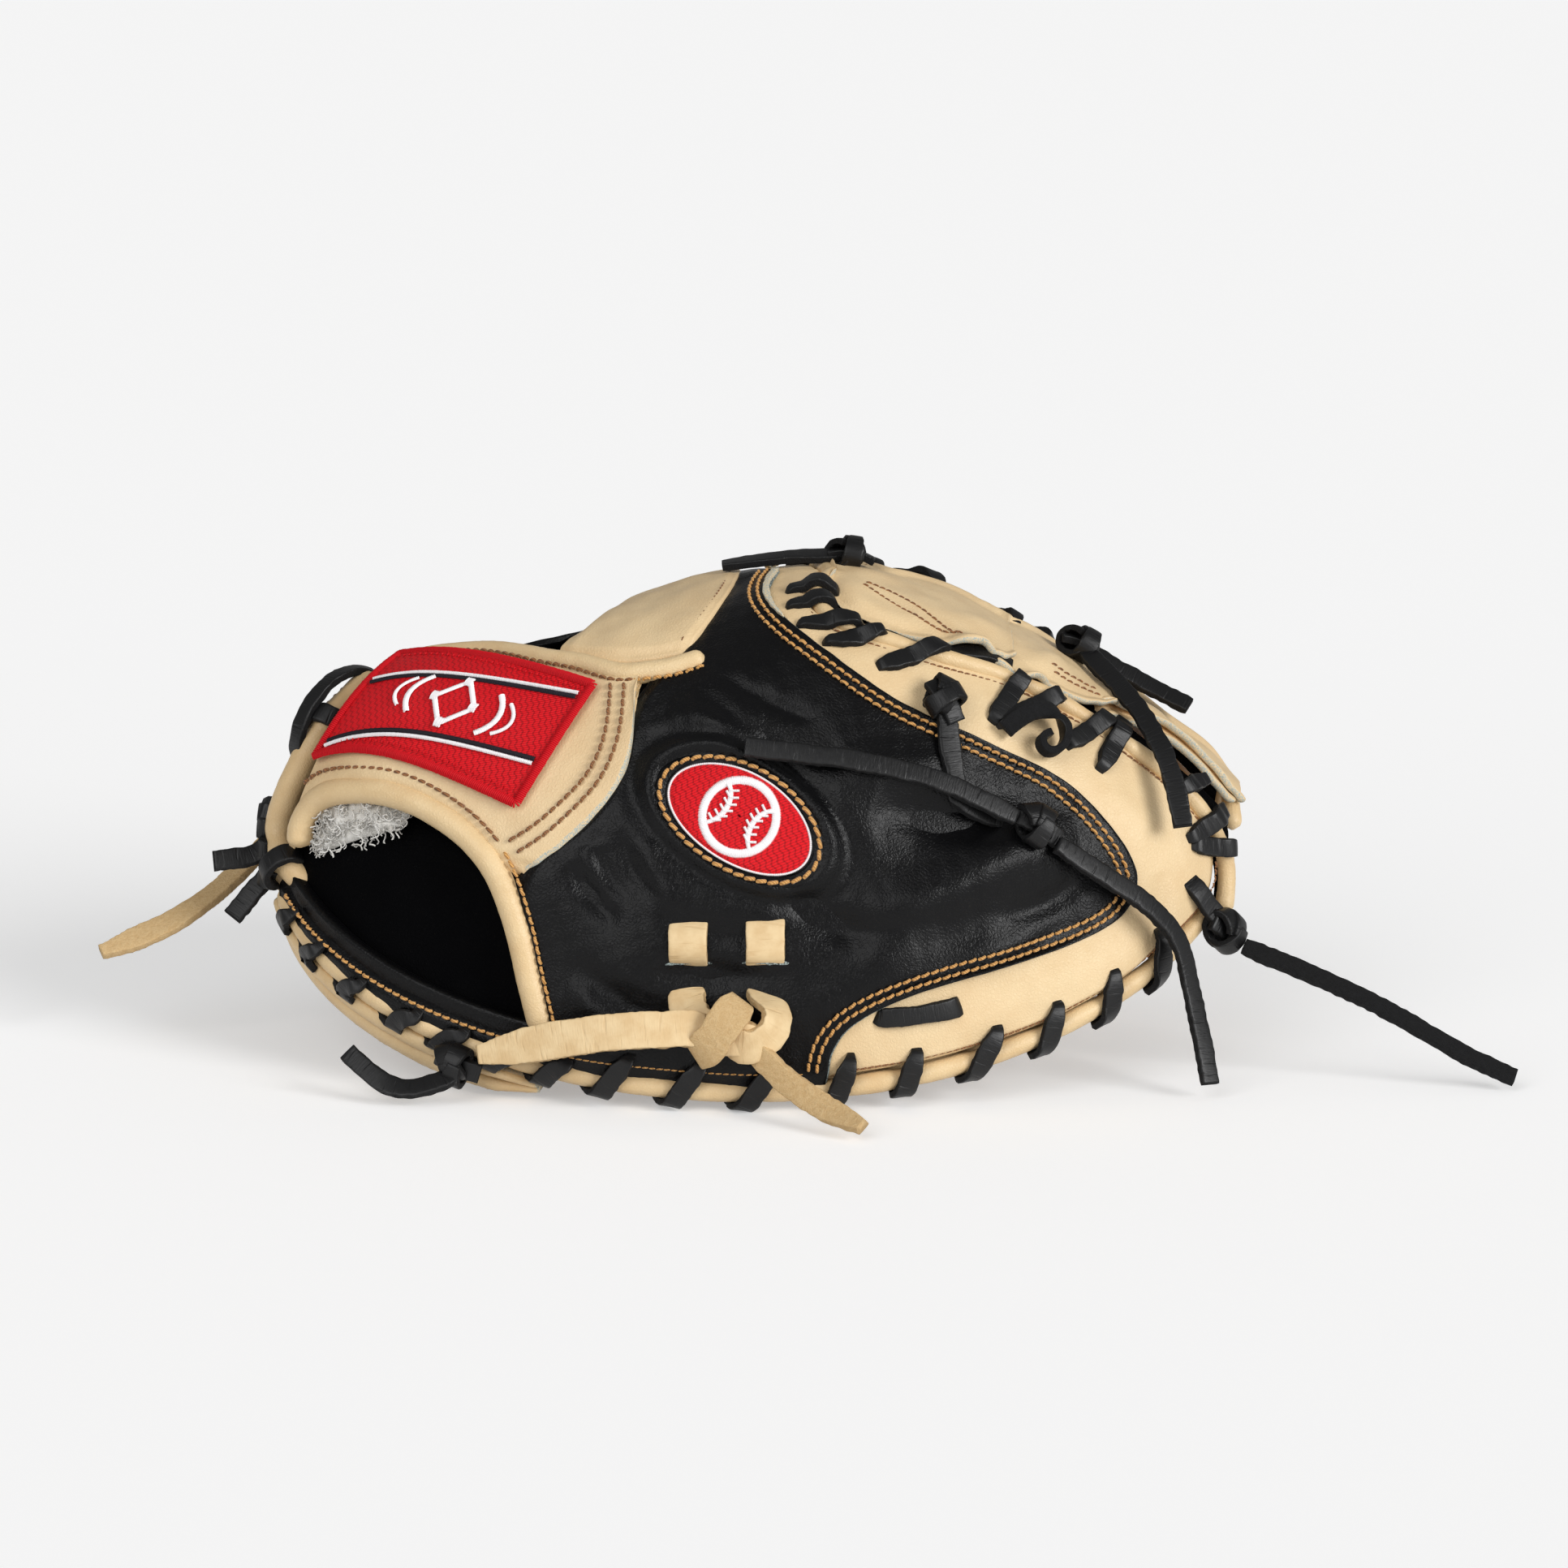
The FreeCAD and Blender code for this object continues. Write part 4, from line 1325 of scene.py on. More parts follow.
@dataclass(frozen=True)
class Embroidery:
    """Close satin stitches, laid in short staggered rows or straight across a line.

    Attributes:
        name: Its name.
        colour: The thread's colour.
        shade: The colour between threads.
        row: Distance between rows, in metres.
        strand: Distance between threads, in metres.
        slant: Turn of the threads.
        satin: Whether they lie straight across, with no rows.
    """

    name: str
    colour: str
    shade: str
    row: float
    strand: float
    slant: float = 0.6
    satin: bool = False

    def material(self) -> bpy.types.Material:
        """The embroidery's material."""
        shade = Shade(self.name)
        turned = shade.stretched(shade.flat(), (1, 1, 1), self.slant)
        split = shade.node("SeparateXYZ", {}, {0: turned})
        along, rows = split, Socket(shade, split.output.node.outputs[1])
        place = shade.place()
        strands = (along * (2 * math.pi / self.strand) + shade.noise(place, 800, 2) * 2.4).sine() * 0.5 + 0.5
        sway = (along * (math.pi / self.strand * 0.5)).sine() * 1.2
        stagger = (rows * (2 * math.pi / self.row) + sway).sine() * 0.5 + 0.5
        ends = stagger.step(0.02, 0.4)
        loose = shade.noise(place, 1700, 3, 0.65)
        cover = strands.step(0.05, 0.6) if self.satin else strands.step(0.05, 0.55) * 0.55 + ends * 0.45
        glow = shade.noise(place, 130, 2) * 0.35
        base = shade.mix(cover * 0.8 + loose * 0.3 - 0.05 + glow * 0.2, srgb(self.shade), srgb(self.colour))
        tall = strands * 0.55 + (0 if self.satin else 1) * ends * 0.6 + loose * 0.35
        return shade.finish(
            Base_Color=base,
            Roughness=glow + 0.42,
            Normal=shade.bump(tall, 0.00025, 0.9),
            Specular_IOR_Level=0.25,
        )


@dataclass(frozen=True)
class Fleece:
    """Curly wool pile."""

    name: str = "white shearling"

    def material(self) -> bpy.types.Material:
        """The wool's material."""
        shade = Shade(self.name)
        place = shade.place()
        clumps = shade.noise(place, 260, 4, 0.7)
        hairs = shade.noise(place, 1900, 3, 0.7)
        base = shade.mix(clumps.step(0.3, 0.7), srgb("DAD7D0"), srgb("FFFDF8"))
        return shade.finish(
            Base_Color=base,
            Roughness=hairs * 0.1 + 0.88,
            Normal=shade.bump(hairs * 0.5 + clumps * 0.8, 0.0006, 0.8),
            Sheen_Weight=0.4,
            Specular_IOR_Level=0.2,
        )


@dataclass(frozen=True)
class Felt:
    """Pressed wool padding, or with less nap a moulded stay.

    Attributes:
        name: Its name.
        colour: Its colour.
        shade: Its darker colour.
        roughness: How rough it is.
        nap: Depth of its fibres in metres.
    """

    name: str
    colour: str
    shade: str
    roughness: float = 0.95
    nap: float = 0.0004

    def material(self) -> bpy.types.Material:
        """The felt's material."""
        shade = Shade(self.name)
        place = shade.place()
        fibre = shade.noise(shade.stretched(place, (1, 1.8, 0.7)), 900, 4, 0.7)
        drift = shade.noise(place, 60, 3, 0.6)
        return shade.finish(
            Base_Color=shade.mix(
                fibre.step(0.3, 0.7) * 0.6 + drift * 0.3, srgb(self.colour), srgb(self.shade),
            ),
            Roughness=drift * 0.1 + self.roughness - 0.1,
            Normal=shade.bump(fibre, self.nap, 0.7),
        )


@dataclass(frozen=True)
class Finish:
    """A material, and the record's slot that it belongs to."""

    material: bpy.types.Material
    slot: Slot


@dataclass(frozen=True)
class Finishes:
    """Every finish of the mitt, each made once."""

    black: Finish
    tan: Finish
    tan_edge: Finish
    palm: Finish
    lining: Finish
    lace: Finish
    loop: Finish
    gold: Finish
    brown: Finish
    red: Finish
    red_edge: Finish
    white: Finish
    dark: Finish
    fleece: Finish
    felt: Finish
    plastic: Finish

    @staticmethod
    def made() -> "Finishes":
        """Makes the materials."""
        leather = (
            (
                "black", Slot.BLACK_LEATHER, "black shell leather", "0C0C0D", "050506", "A9B7B5", 0.34, 760,
                0.00011, 0.45, 0.2,
            ),
            (
                "tan", Slot.TAN_LEATHER, "blond leather", "ECD2A6", "DAB98A", "A3B3B3", 0.47, 860, 0.00011,
                0.16, 0.42,
            ),
            (
                "tan_edge", Slot.TAN_BINDING, "blond rolled binding", "EBD0A2", "D3AE7A", "A3B3B3", 0.42,
                900, 0.0001, 0.14, 0.45,
            ),
            (
                "palm", Slot.PALM_LEATHER, "blond palm leather", "E7C999", "CFA874", "B6A888", 0.5, 640,
                0.00016, 0.2, 0.4,
            ),
            (
                "lining", Slot.BLACK_LINING, "black hand lining", "050506", "020203", "0C0C0D", 0.75, 620,
                0.00018, 0.3, 0.03,
            ),
        )
        rawhide = (
            ("lace", Slot.BLACK_LACE, "black rawhide lace", "0D0D0E", "050506", "121214", 0.34, 0.38),
            ("loop", Slot.TAN_LACE, "blond rawhide lace", "E9CEA0", "CFAB78", "DFC190", 0.5, 0.4),
        )
        thread = (
            ("gold", Slot.BLACK_LEATHER, "gold thread", "E3AE63", "A8702F"),
            ("brown", Slot.TAN_LEATHER, "brown thread", "9C6430", "5C3717"),
        )
        embroidery = (
            ("red", Slot.RED_EMBROIDERY, "red embroidery", "EA0F1D", "8A0610", 0.0019, 0.0008),
            (
                "red_edge", Slot.RED_EMBROIDERY, "red whipped edge", "D2101E", "8C0712", 0.001, 0.0005, 0.0,
                True,
            ),
            ("white", Slot.RED_EMBROIDERY, "white embroidery", "FFFDFE", "C2BCC2", 0.001, 0.0005, 0.0, True),
            ("dark", Slot.RED_EMBROIDERY, "black embroidery", "26222A", "0E0C10", 0.001, 0.0005, 0.0, True),
        )
        felt = (
            ("felt", Slot.PADDING, "wool felt padding", "B9A88A", "8D7C60"),
            ("plastic", Slot.PLASTIC, "black moulded plastic", "1B1B1D", "0D0D0F", 0.45, 0.00008),
        )
        made = {"fleece": Finish(Fleece().material(), Slot.FLEECE)}
        kinds = (
            (Leather, leather), (Rawhide, rawhide), (Thread, thread), (Embroidery, embroidery),
            (Felt, felt),
        )
        for kind, rows in kinds:
            made |= {label: Finish(kind(*looks).material(), slot) for label, slot, *looks in rows}
        return Finishes(**made)


# ---- geometry nodes: thread and pile


class NodeRecipe:
    """A Geometry Nodes tree with named inputs."""

    def __init__(self, name: str) -> None:
        """Starts the tree with its geometry input and output.

        Args:
            name: The tree's name.
        """
        self.tree = bpy.data.node_groups.new(name, "GeometryNodeTree")
        self.tree.interface.new_socket("Geometry", in_out="INPUT", socket_type="NodeSocketGeometry")
        self.tree.interface.new_socket("Geometry", in_out="OUTPUT", socket_type="NodeSocketGeometry")
        self.start = self.tree.nodes.new("NodeGroupInput")
        self.end = self.tree.nodes.new("NodeGroupOutput")
        self.names: dict[str, str] = {}

    def entry(self, label: str, kind: str = "Float") -> None:
        """Adds a named input."""
        socket = self.tree.interface.new_socket(label, in_out="INPUT", socket_type="NodeSocket" + kind)
        self.names[label] = socket.identifier

    def given(self, label: str) -> bpy.types.NodeSocket:
        """An input's socket inside the tree."""
        return next(s for s in self.start.outputs if s.name == label)

    def add(self, kind: str, settings: dict | None = None, values: dict | None = None) -> bpy.types.Node:
        """Makes a node, sets its properties and links or sets its sockets.

        Args:
            kind: The node's type.
            settings: Properties by name.
            values: Sockets or plain values by input name or index.

        Returns:
            The node.
        """
        node = self.tree.nodes.new(kind)
        for label, value in (settings or {}).items():
            setattr(node, label, value)
        for label, value in (values or {}).items():
            if isinstance(value, bpy.types.NodeSocket):
                self.tree.links.new(value, node.inputs[label])
            else:
                node.inputs[label].default_value = value
        return node

    def maths(self, operation: str, *values: "bpy.types.NodeSocket | float") -> bpy.types.NodeSocket:
        """A Math node's output."""
        return self.add("ShaderNodeMath", {"operation": operation}, dict(enumerate(values))).outputs[0]

    def vector(self, *values: "bpy.types.NodeSocket | float") -> bpy.types.NodeSocket:
        """Three numbers as a vector."""
        return self.add("ShaderNodeCombineXYZ", None, dict(enumerate(values))).outputs[0]

    def attribute(self, label: str) -> bpy.types.NodeSocket:
        """A vector kept on the points.

        Args:
            label: The attribute's name.

        Returns:
            The node's output.
        """
        return self.add(
            "GeometryNodeInputNamedAttribute", {"data_type": "FLOAT_VECTOR"}, {"Name": label},
        ).outputs[0]

    def tube(
        self, curve: bpy.types.NodeSocket, sides: "bpy.types.NodeSocket | int", **settings: bool,
    ) -> bpy.types.NodeSocket:
        """A curve with the given thickness round it.

        Args:
            curve: The curve.
            sides: How many sides the tube has.
            settings: Further inputs of the node.

        Returns:
            The tube's mesh.
        """
        round_section = {"Resolution": sides, "Radius": self.given("Thickness")}
        ring = self.add("GeometryNodeCurvePrimitiveCircle", None, round_section).outputs[0]
        values = {"Curve": curve, "Profile Curve": ring, **settings}
        return self.add("GeometryNodeCurveToMesh", None, values).outputs[0]

    def close(self, instances: bpy.types.NodeSocket) -> None:
        """Realizes the instances, gives them their material and ends the tree.

        Args:
            instances: The instances.
        """
        real = self.add("GeometryNodeRealizeInstances", None, {0: instances}).outputs[0]
        smooth_faces = self.add("GeometryNodeSetShadeSmooth", None, {0: real}).outputs[0]
        dressed = self.add(
            "GeometryNodeSetMaterial", None, {0: smooth_faces, "Material": self.given("Material")},
        )
        self.tree.links.new(dressed.outputs[0], self.end.inputs[0])

    def grow(self, base: bpy.types.Mesh, name: str, values: dict[str, object]) -> bpy.types.Mesh:
        """Runs the tree on a mesh and gives the result as a plain mesh.

        Args:
            base: The mesh that the tree starts from.
            name: Name of the new mesh.
            values: The tree's inputs by name.

        Returns:
            The new mesh, with the base removed.
        """
        holder = bpy.data.objects.new(name + "_base", base)
        bpy.context.scene.collection.objects.link(holder)
        modifier = holder.modifiers.new("grow", "NODES")
        modifier.node_group = self.tree
        for label, value in values.items():
            modifier[self.names[label]] = value
        graph = bpy.context.evaluated_depsgraph_get()
        made = bpy.data.meshes.new_from_object(holder.evaluated_get(graph), depsgraph=graph)
        made.name = name
        holder.modifiers.clear()
        bpy.data.objects.remove(holder)
        bpy.data.meshes.remove(base)
        return made


class ThreadRecipe(NodeRecipe):
    """Arched lengths of thread, laid along lines at an even pitch."""

    def __init__(self) -> None:
        """Builds the tree."""
        super().__init__("thread along lines")
        for label in ("Pitch", "Length", "Thickness", "Rise", "Unevenness"):
            self.entry(label)
        self.entry("Seed", "Int")
        self.entry("Sides", "Int")
        self.entry("Material", "Material")
        curve = self.add("GeometryNodeMeshToCurve", None, {0: self.given("Geometry")}).outputs[0]
        pitch = {"Curve": curve, "Length": self.given("Pitch")}
        points = self.add("GeometryNodeCurveToPoints", {"mode": "LENGTH"}, pitch)
        axes = {"Primary Axis": self.attribute("up"), "Secondary Axis": self.attribute("lay")}
        chosen = {"primary_axis": "Z", "secondary_axis": "X"}
        turn = self.add("FunctionNodeAxesToRotation", chosen, axes).outputs[0]
        half = self.maths("MULTIPLY", self.given("Length"), 0.5)
        dip = self.maths("MULTIPLY", self.given("Thickness"), -0.55)
        top = self.maths("MULTIPLY", self.given("Rise"), 2.0)
        arch = self.add("GeometryNodeCurveQuadraticBezier", None, {
            "Resolution": 5,
            "Start": self.vector(self.maths("MULTIPLY", half, -1.0), 0.0, dip),
            "Middle": self.vector(0.0, 0.0, top),
            "End": self.vector(half, 0.0, dip),
        }).outputs[0]
        strand = self.tube(arch, self.given("Sides"), **{"Fill Caps": True})
        low = self.maths("SUBTRACT", 1.0, self.given("Unevenness"))
        high = self.maths("ADD", 1.0, self.given("Unevenness"))
        chance = self.add("FunctionNodeRandomValue", {"data_type": "FLOAT"})
        self.tree.links.new(low, chance.inputs[2])
        self.tree.links.new(high, chance.inputs[3])
        self.tree.links.new(self.given("Seed"), chance.inputs["Seed"])
        widths = self.add("ShaderNodeSeparateXYZ", None, {0: self.attribute("stretch")})
        scale = self.vector(
            self.maths("MULTIPLY", widths.outputs[0], chance.outputs[1]), 1.0, chance.outputs[1],
        )
        placed = self.add("GeometryNodeInstanceOnPoints", None, {
            "Points": points.outputs[0], "Instance": strand, "Rotation": turn, "Scale": scale,
        })
        self.close(placed.outputs[0])


class PileRecipe(NodeRecipe):
    """Small curls of wool over a surface."""

    def __init__(self) -> None:
        """Builds the tree."""
        super().__init__("wool pile")
        for label in ("Density", "Curl", "Tall", "Thickness"):
            self.entry(label)
        self.entry("Seed", "Int")
        self.entry("Material", "Material")
        spread = self.add("GeometryNodeDistributePointsOnFaces", None, {
            "Mesh": self.given("Geometry"), "Density": self.given("Density"), "Seed": self.given("Seed"),
        })
        curl = self.add("GeometryNodeCurveSpiral", None, {
            "Resolution": 9, "Rotations": 0.85, "Start Radius": self.given("Curl"),
            "End Radius": self.maths("MULTIPLY", self.given("Curl"), 0.35), "Height": self.given("Tall"),
        })
        strand = self.tube(curl.outputs[0], 3)
        spin = self.add(
            "FunctionNodeRandomValue", {"data_type": "FLOAT_VECTOR"}, {"Seed": self.given("Seed")},
        )
        spin.inputs[0].default_value = (-0.75, -0.75, 0.0)
        spin.inputs[1].default_value = (0.75, 0.75, 6.28)
        turned = self.add("FunctionNodeRotateRotation", {"rotation_space": "LOCAL"}, {
            0: spread.outputs["Rotation"], 1: spin.outputs[0],
        })
        size = self.add("FunctionNodeRandomValue", {"data_type": "FLOAT"}, {"Seed": self.given("Seed")})
        size.inputs[2].default_value = 0.6
        size.inputs[3].default_value = 1.5
        placed = self.add("GeometryNodeInstanceOnPoints", None, {
            "Points": spread.outputs[0], "Instance": strand, "Rotation": turned.outputs[0],
            "Scale": size.outputs[1],
        })
        self.close(placed.outputs[0])


@dataclass
class Seam:
    """A line of thread on a skin.

    Attributes:
        points: Where it runs, one point a row.
        ups: Directions square to the skin.
        slant: Turn of each length of thread from the line, in degrees.
        width: Share of the thread's length at each point.
        closed: Whether its last point is its first.
    """

    points: Array
    ups: Array
    slant: float = 0.0
    width: Array | None = None
    closed: bool = False

    def prepared(self) -> tuple[Array, Array, Array, Array]:
        """Points, directions of the thread, up directions and widths."""
        along = np.gradient(self.points, axis=0)
        if self.closed:
            along[0] = along[-1] = self.points[1] - self.points[-2]
        along = unit(along - self.ups * np.sum(along * self.ups, axis=1, keepdims=True))
        aside = np.cross(self.ups, along)
        angle = math.radians(self.slant)
        lay = along * math.cos(angle) + aside * math.sin(angle)
        width = np.ones(len(self.points)) if self.width is None else self.width
        return self.points, lay, self.ups, width


@dataclass(frozen=True)
class Needlework:
    """A thread and how it is laid.

    Attributes:
        pitch: Distance from one length of thread to the next, in millimetres.
        length: Length of each.
        thickness: Radius of the thread.
        rise: How high it arches.
        unevenness: How much the lengths differ.
        sides: Sides of its section.
    """

    pitch: float
    length: float
    thickness: float
    rise: float
    unevenness: float = 0.06
    sides: int = 6

    SEED = 11

    def sewn(
        self, recipe: ThreadRecipe, name: str, seams: Sequence[Seam], material: bpy.types.Material,
    ) -> bpy.types.Mesh:
        """Sews lines of thread and gives them as one mesh.

        Args:
            recipe: The node tree.
            name: Name of the mesh.
            seams: The lines.
            material: The thread's material.

        Returns:
            The mesh.
        """
        parts = [seam.prepared() for seam in seams]
        edges: list[tuple[int, int]] = []
        start = 0
        for points, *_ in parts:
            edges += [(start + i, start + i + 1) for i in range(len(points) - 1)]
            start += len(points)
        base = bpy.data.meshes.new(name + "_lines")
        base.from_pydata((np.concatenate([p[0] for p in parts]) * MM).tolist(), edges, [])
        _, lays, ups, widths = (np.concatenate(column) for column in zip(*parts))
        stretches = np.repeat(widths[:, None], 3, axis=1)
        for label, vectors in (("lay", lays), ("up", ups), ("stretch", stretches)):
            attribute = base.attributes.new(label, "FLOAT_VECTOR", "POINT")
            attribute.data.foreach_set("vector", vectors.astype(np.float32).ravel())
        return recipe.grow(base, name, {
            "Pitch": self.pitch * MM, "Length": self.length * MM, "Thickness": self.thickness * MM,
            "Rise": self.rise * MM, "Unevenness": self.unevenness, "Seed": self.SEED, "Sides": self.sides,
            "Material": material,
        })


SADDLE = Needlework(3.0, 2.05, 0.52, 0.5)
FINE = Needlework(2.2, 1.75, 0.27, 0.24)
HEAVY = Needlework(3.5, 2.45, 0.64, 0.6)
SATIN = Needlework(0.42, 1.0, 0.25, 0.42, 0.05, 4)
HAIRLINE = Needlework(0.42, 0.55, 0.22, 0.3, 0.05, 4)
MERROW = Needlework(0.62, 2.7, 0.36, 0.75, 0.05, 4)
ACROSS = 90


# ---- lines that the pieces share


RIM_SPAN = (-152.0, 141.0)
HEEL_ARC = straight((-152.5, 0.08), (-152.5, math.pi - 0.08))
PALM_END = 137.0
WRIST_END = -62.0
RIM_WRAPS = (-147, -138.5, -126, -110, -96, -80, -64, -46, -24, -2, 24, 45, 67, 88, 107, 123)

SHELL_HEEL_EDGE = FORM.traced([
    (-60, -80, 14.6), (-66, -78, 38), (-71, -74, 58), (-67, -72, 73), (-52, -71, 85),
    (-41, -66, 101), (-36, -54, 119), (-20, -38, 139), (-17.5, -20, 146), (-17, -0.8, 148.4),
])
FINGER_HEEL_EDGE = FORM.traced([
    (-134, -44, 40), (-138, -39, 55), (-136, -38, 72), (-129, -38, 88),
    (-120, -38, 98), (-108, -38, 107), (-92, -38, 113), (-70, -37, 120),
])
SHELL_WEB_EDGE = FORM.traced([
    (19, -87, 10.5), (28, -86, 28), (64, -79, 41), (104, -63.5, 51.5), (113.5, -56, 64.5), (107.5, -55, 78),
    (93, -54.8, 93.5), (71, -57.2, 106.3), (43, -57.4, 119.3), (20.7, -49.5, 132.6), (7.5, -39, 141),
    (2, -28, 145.6), (2, -16, 148.7), (5, -0.8, 150),
])
PANEL_EDGE = FORM.traced([
    (25, -87, 11), (62, -79, 16.6), (102, -65, 29.5), (134, -43, 49.5), (142, -34, 62), (138, -32.5, 79),
    (120, -34, 97.5), (98, -35, 113), (68, -38, 128), (40, -40, 137), (25.5, -37.5, 141.3),
    (18, -30.5, 145), (17.8, -17, 149), (22.5, -0.8, 149.7),
])
WEB_RIM = FORM.traced([
    (144, -32.5, 49), (145, -30, 58), (144, -30.5, 67), (139, -32, 78), (128.5, -33.5, 90.5),
    (115.6, -34.5, 101), (100.4, -35.4, 111.2), (85.4, -36.4, 120), (70.5, -38.6, 126.6),
    (53, -41.3, 132.2), (38.3, -40.8, 136.8), (25.9, -38.2, 140.6), (18.8, -31, 144.7),
    (18.7, -18.7, 148.6), (23.8, -0.8, 149.7),
])
PALM_SIDE = FORM.from_above([
    (-149, -20.5), (-142, -31.5), (-134, -33), (-120, -33), (-100, -32.5), (-80, -32), (-60, -31.5),
    (-40, -31), (-20, -31), (-4, -31.5), (8, -33), (20, -45), (34, -54), (50, -58), (70, -57), (90, -54),
    (114, -49), (136, -40),
])
CORE_SIDE = FORM.from_above([
    (-150, -20), (-142, -32), (-134, -31), (-118, -30), (-100, -30), (-80, -30), (-60, -30),
    (-40, -30), (-20, -30), (-4, -30), (11, -30),
])
WEB_SIDE = FORM.from_above([
    (12, -29), (24, -41), (40, -44), (58, -44.5), (74, -43.5), (90, -41), (110, -36), (126, -31),
    (147, -22),
])


def across_web(line: Line) -> Line:
    """The same line on the fingers' side, where the web's edge lies a little nearer the crest.

    Args:
        line: Line on the thumb side.

    Returns:
        The line on the fingers' side.
    """

    def at(t: Array) -> Array:
        places = line(t)
        x, turn = places[:, 0], places[:, 1]
        nearer = 0.13 * ease((x - 15) / 15) * (1 - ease((x - 138) / 12))
        nearer += 0.16 * ease((x - 28) / 14) * (1 - ease((x - 80) / 14))
        nearer *= ease((turn - 0.75) / 0.4)
        return np.stack([x, math.pi - turn - nearer], axis=1)

    return at


def whole_wall(wall: Array) -> Array:
    """Depth of the pocket's face."""
    return wall


def rim_share(x: float, end: float) -> float:
    """Fraction of a rim's line that lies at x, where the line runs to the given end."""
    start = RIM_SPAN[0]
    return (x - start) / (end - start)


# ---- dressing


@dataclass(frozen=True)
class Bend:
    """A bend from one body to another, as two bodies and two points; a piece given one goes on no body, and
    nothing bends it.

    Attributes:
        parent: The body at the bend's start; not used.
        child: The body at the bend's end; not used.
        start: The point where the bend starts.
        end: The point where it ends.
    """

    parent: str
    child: str
    start: tuple[float, float, float]
    end: tuple[float, float, float]


@dataclass
class Bench:
    """Where pieces are finished and put on their bodies.

    Attributes:
        finishes: The mitt's finishes.
        thread: The recipe of its seams.
        pile: The recipe of its wool.
        triangles: How many triangles it has put out so far.
    """

    finishes: Finishes
    thread: ThreadRecipe
    pile: PileRecipe
    triangles: int = 0

    def show(
        self, data: bpy.types.Mesh, name: str, body: str, slot: Slot,
        replaces: Sequence[str] = (), bend: Bend | None = None,
    ) -> bpy.types.Object:
        """Puts a finished mesh on its body, or, given a bend, bakes its transform and puts it on no body.

        Args:
            data: The mesh, in metres.
            name: The piece's name.
            body: The body it rides on, unless a bend is given.
            slot: The record's material slot; not used.
            replaces: The solids it stands for.
            bend: A bend between two bodies, which leaves the piece on no body; nothing bends it.

        Returns:
            The object.
        """
        thing = bpy.data.objects.new(name, data)
        bpy.context.scene.collection.objects.link(thing)
        if bend is None:
            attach(thing, body)
        else:
            start, end = Vector(bend.start) * MM, Vector(bend.end) * MM
            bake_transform(thing)
        if replaces:
            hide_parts(*replaces)
        count = sum(len(face.vertices) - 2 for face in data.polygons)
        self.triangles += count
        log.info("%-26s %-12s %7d triangles%s", name, body, count, self._fit(data, replaces))
        return thing

    @staticmethod
    def _fit(data: bpy.types.Mesh, replaces: Sequence[str]) -> str:
        """How far the mesh reaches past the boxes of the solids that it stands for.

        Args:
            data: The mesh, in metres.
            replaces: The solids' names.

        Returns:
            A few words for the log, or nothing.
        """
        if not replaces:
            return ""
        boxes = [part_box(node) for node in replaces]
        low = np.min([list(box[0]) for box in boxes], axis=0)
        high = np.max([list(box[1]) for box in boxes], axis=0)
        points = np.zeros(len(data.vertices) * 3)
        data.vertices.foreach_get("co", points)
        points = points.reshape(-1, 3)
        past = max((low - points.min(axis=0)).max(), (points.max(axis=0) - high).max())
        return f", {past * 1000:+.1f} mm past its solids"

    def leather(
        self, plans: Sequence[MeshPlan], name: str, body: str, finish: Finish, replaces: Sequence[str] = (),
        bend: Bend | None = None,
    ) -> bpy.types.Object:
        """Makes one piece of plans, gives it its finish and puts it on its body.

        Args:
            plans: The plans that make the piece.
            name: The piece's name.
            body: The body it rides on, unless a bend is given.
            finish: Its material, with the slot.
            replaces: The solids it stands for.
            bend: A bend between two bodies, passed on to show, which then puts the piece on no body.

        Returns:
            The object.
        """
        data = outward_facing(MeshPlan.joined(plans).mesh(name))
        data.materials.append(finish.material)
        return self.show(data, name, body, finish.slot, replaces, bend)

    def sew(
        self, name: str, body: str, seams: Sequence[Seam], work: Needlework, finish: Finish,
        bend: Bend | None = None, slot: Slot | None = None,
    ) -> None:
        """Sews seams as one piece on a body."""
        data = work.sewn(self.thread, name, seams, finish.material)
        self.show(data, name, body, slot or finish.slot, bend=bend)


def seam_along(
    line: Line, start: float, end: float, offset: float, height: float, relief: Relief | None = None,
    slant: float = 6.0,
) -> Seam:
    """A seam beside a line of the back.

    Args:
        line: The line on the arch.
        start: Fraction where the seam starts.
        end: Fraction where it ends.
        offset: Distance from the line to its sideways hand.
        height: Height over the plain skin.
        relief: The skin's own bulges, which the seam follows.
        slant: Turn of the stitches, in degrees.

    Returns:
        The seam.
    """
    spacing = 1.2
    coarse = FORM.beside(line, np.linspace(start, end, 160), offset)
    plain = evenly(FORM.at(coarse, 0.0), spacing)
    places = FORM.near(plain)
    base = FORM.at(places, 0.0)
    up = FORM.outward(places)
    rise = np.full(len(base), height)
    if relief is not None:
        rise = rise + relief.height(base)
    return Seam(base + up * rise[:, None], up, slant)


def threaded(
    knots: Sequence[tuple[Array, float, Array]], onward: Array, samples: int,
) -> tuple[Array, Array]:
    """The path of a lace that is wound round an edge.

    Args:
        knots: Points beside the edge, how far on each is moved, and the way the lace's face looks there.
        onward: The way the edge runs.
        samples: How many points the path gets.

    Returns:
        The path and the ways its face looks.
    """
    t = np.linspace(0, 1, samples)
    path = smooth([point + onward * moved for point, moved, _ in knots])(t)
    return path, unit(smooth([face for *_, face in knots])(t))


def on_back(points: Sequence[Sequence[float]], height: float) -> tuple[Array, Array]:
    """Points square above the back beside the ones given, and the outward directions there.

    Args:
        points: Points as rows, in millimetres.
        height: Height over the back, in millimetres.

    Returns:
        The points and the outward directions.
    """
    places = FORM.near(np.array(points, float))
    outward = FORM.outward(places)
    return FORM.arch(places) + outward * height, outward


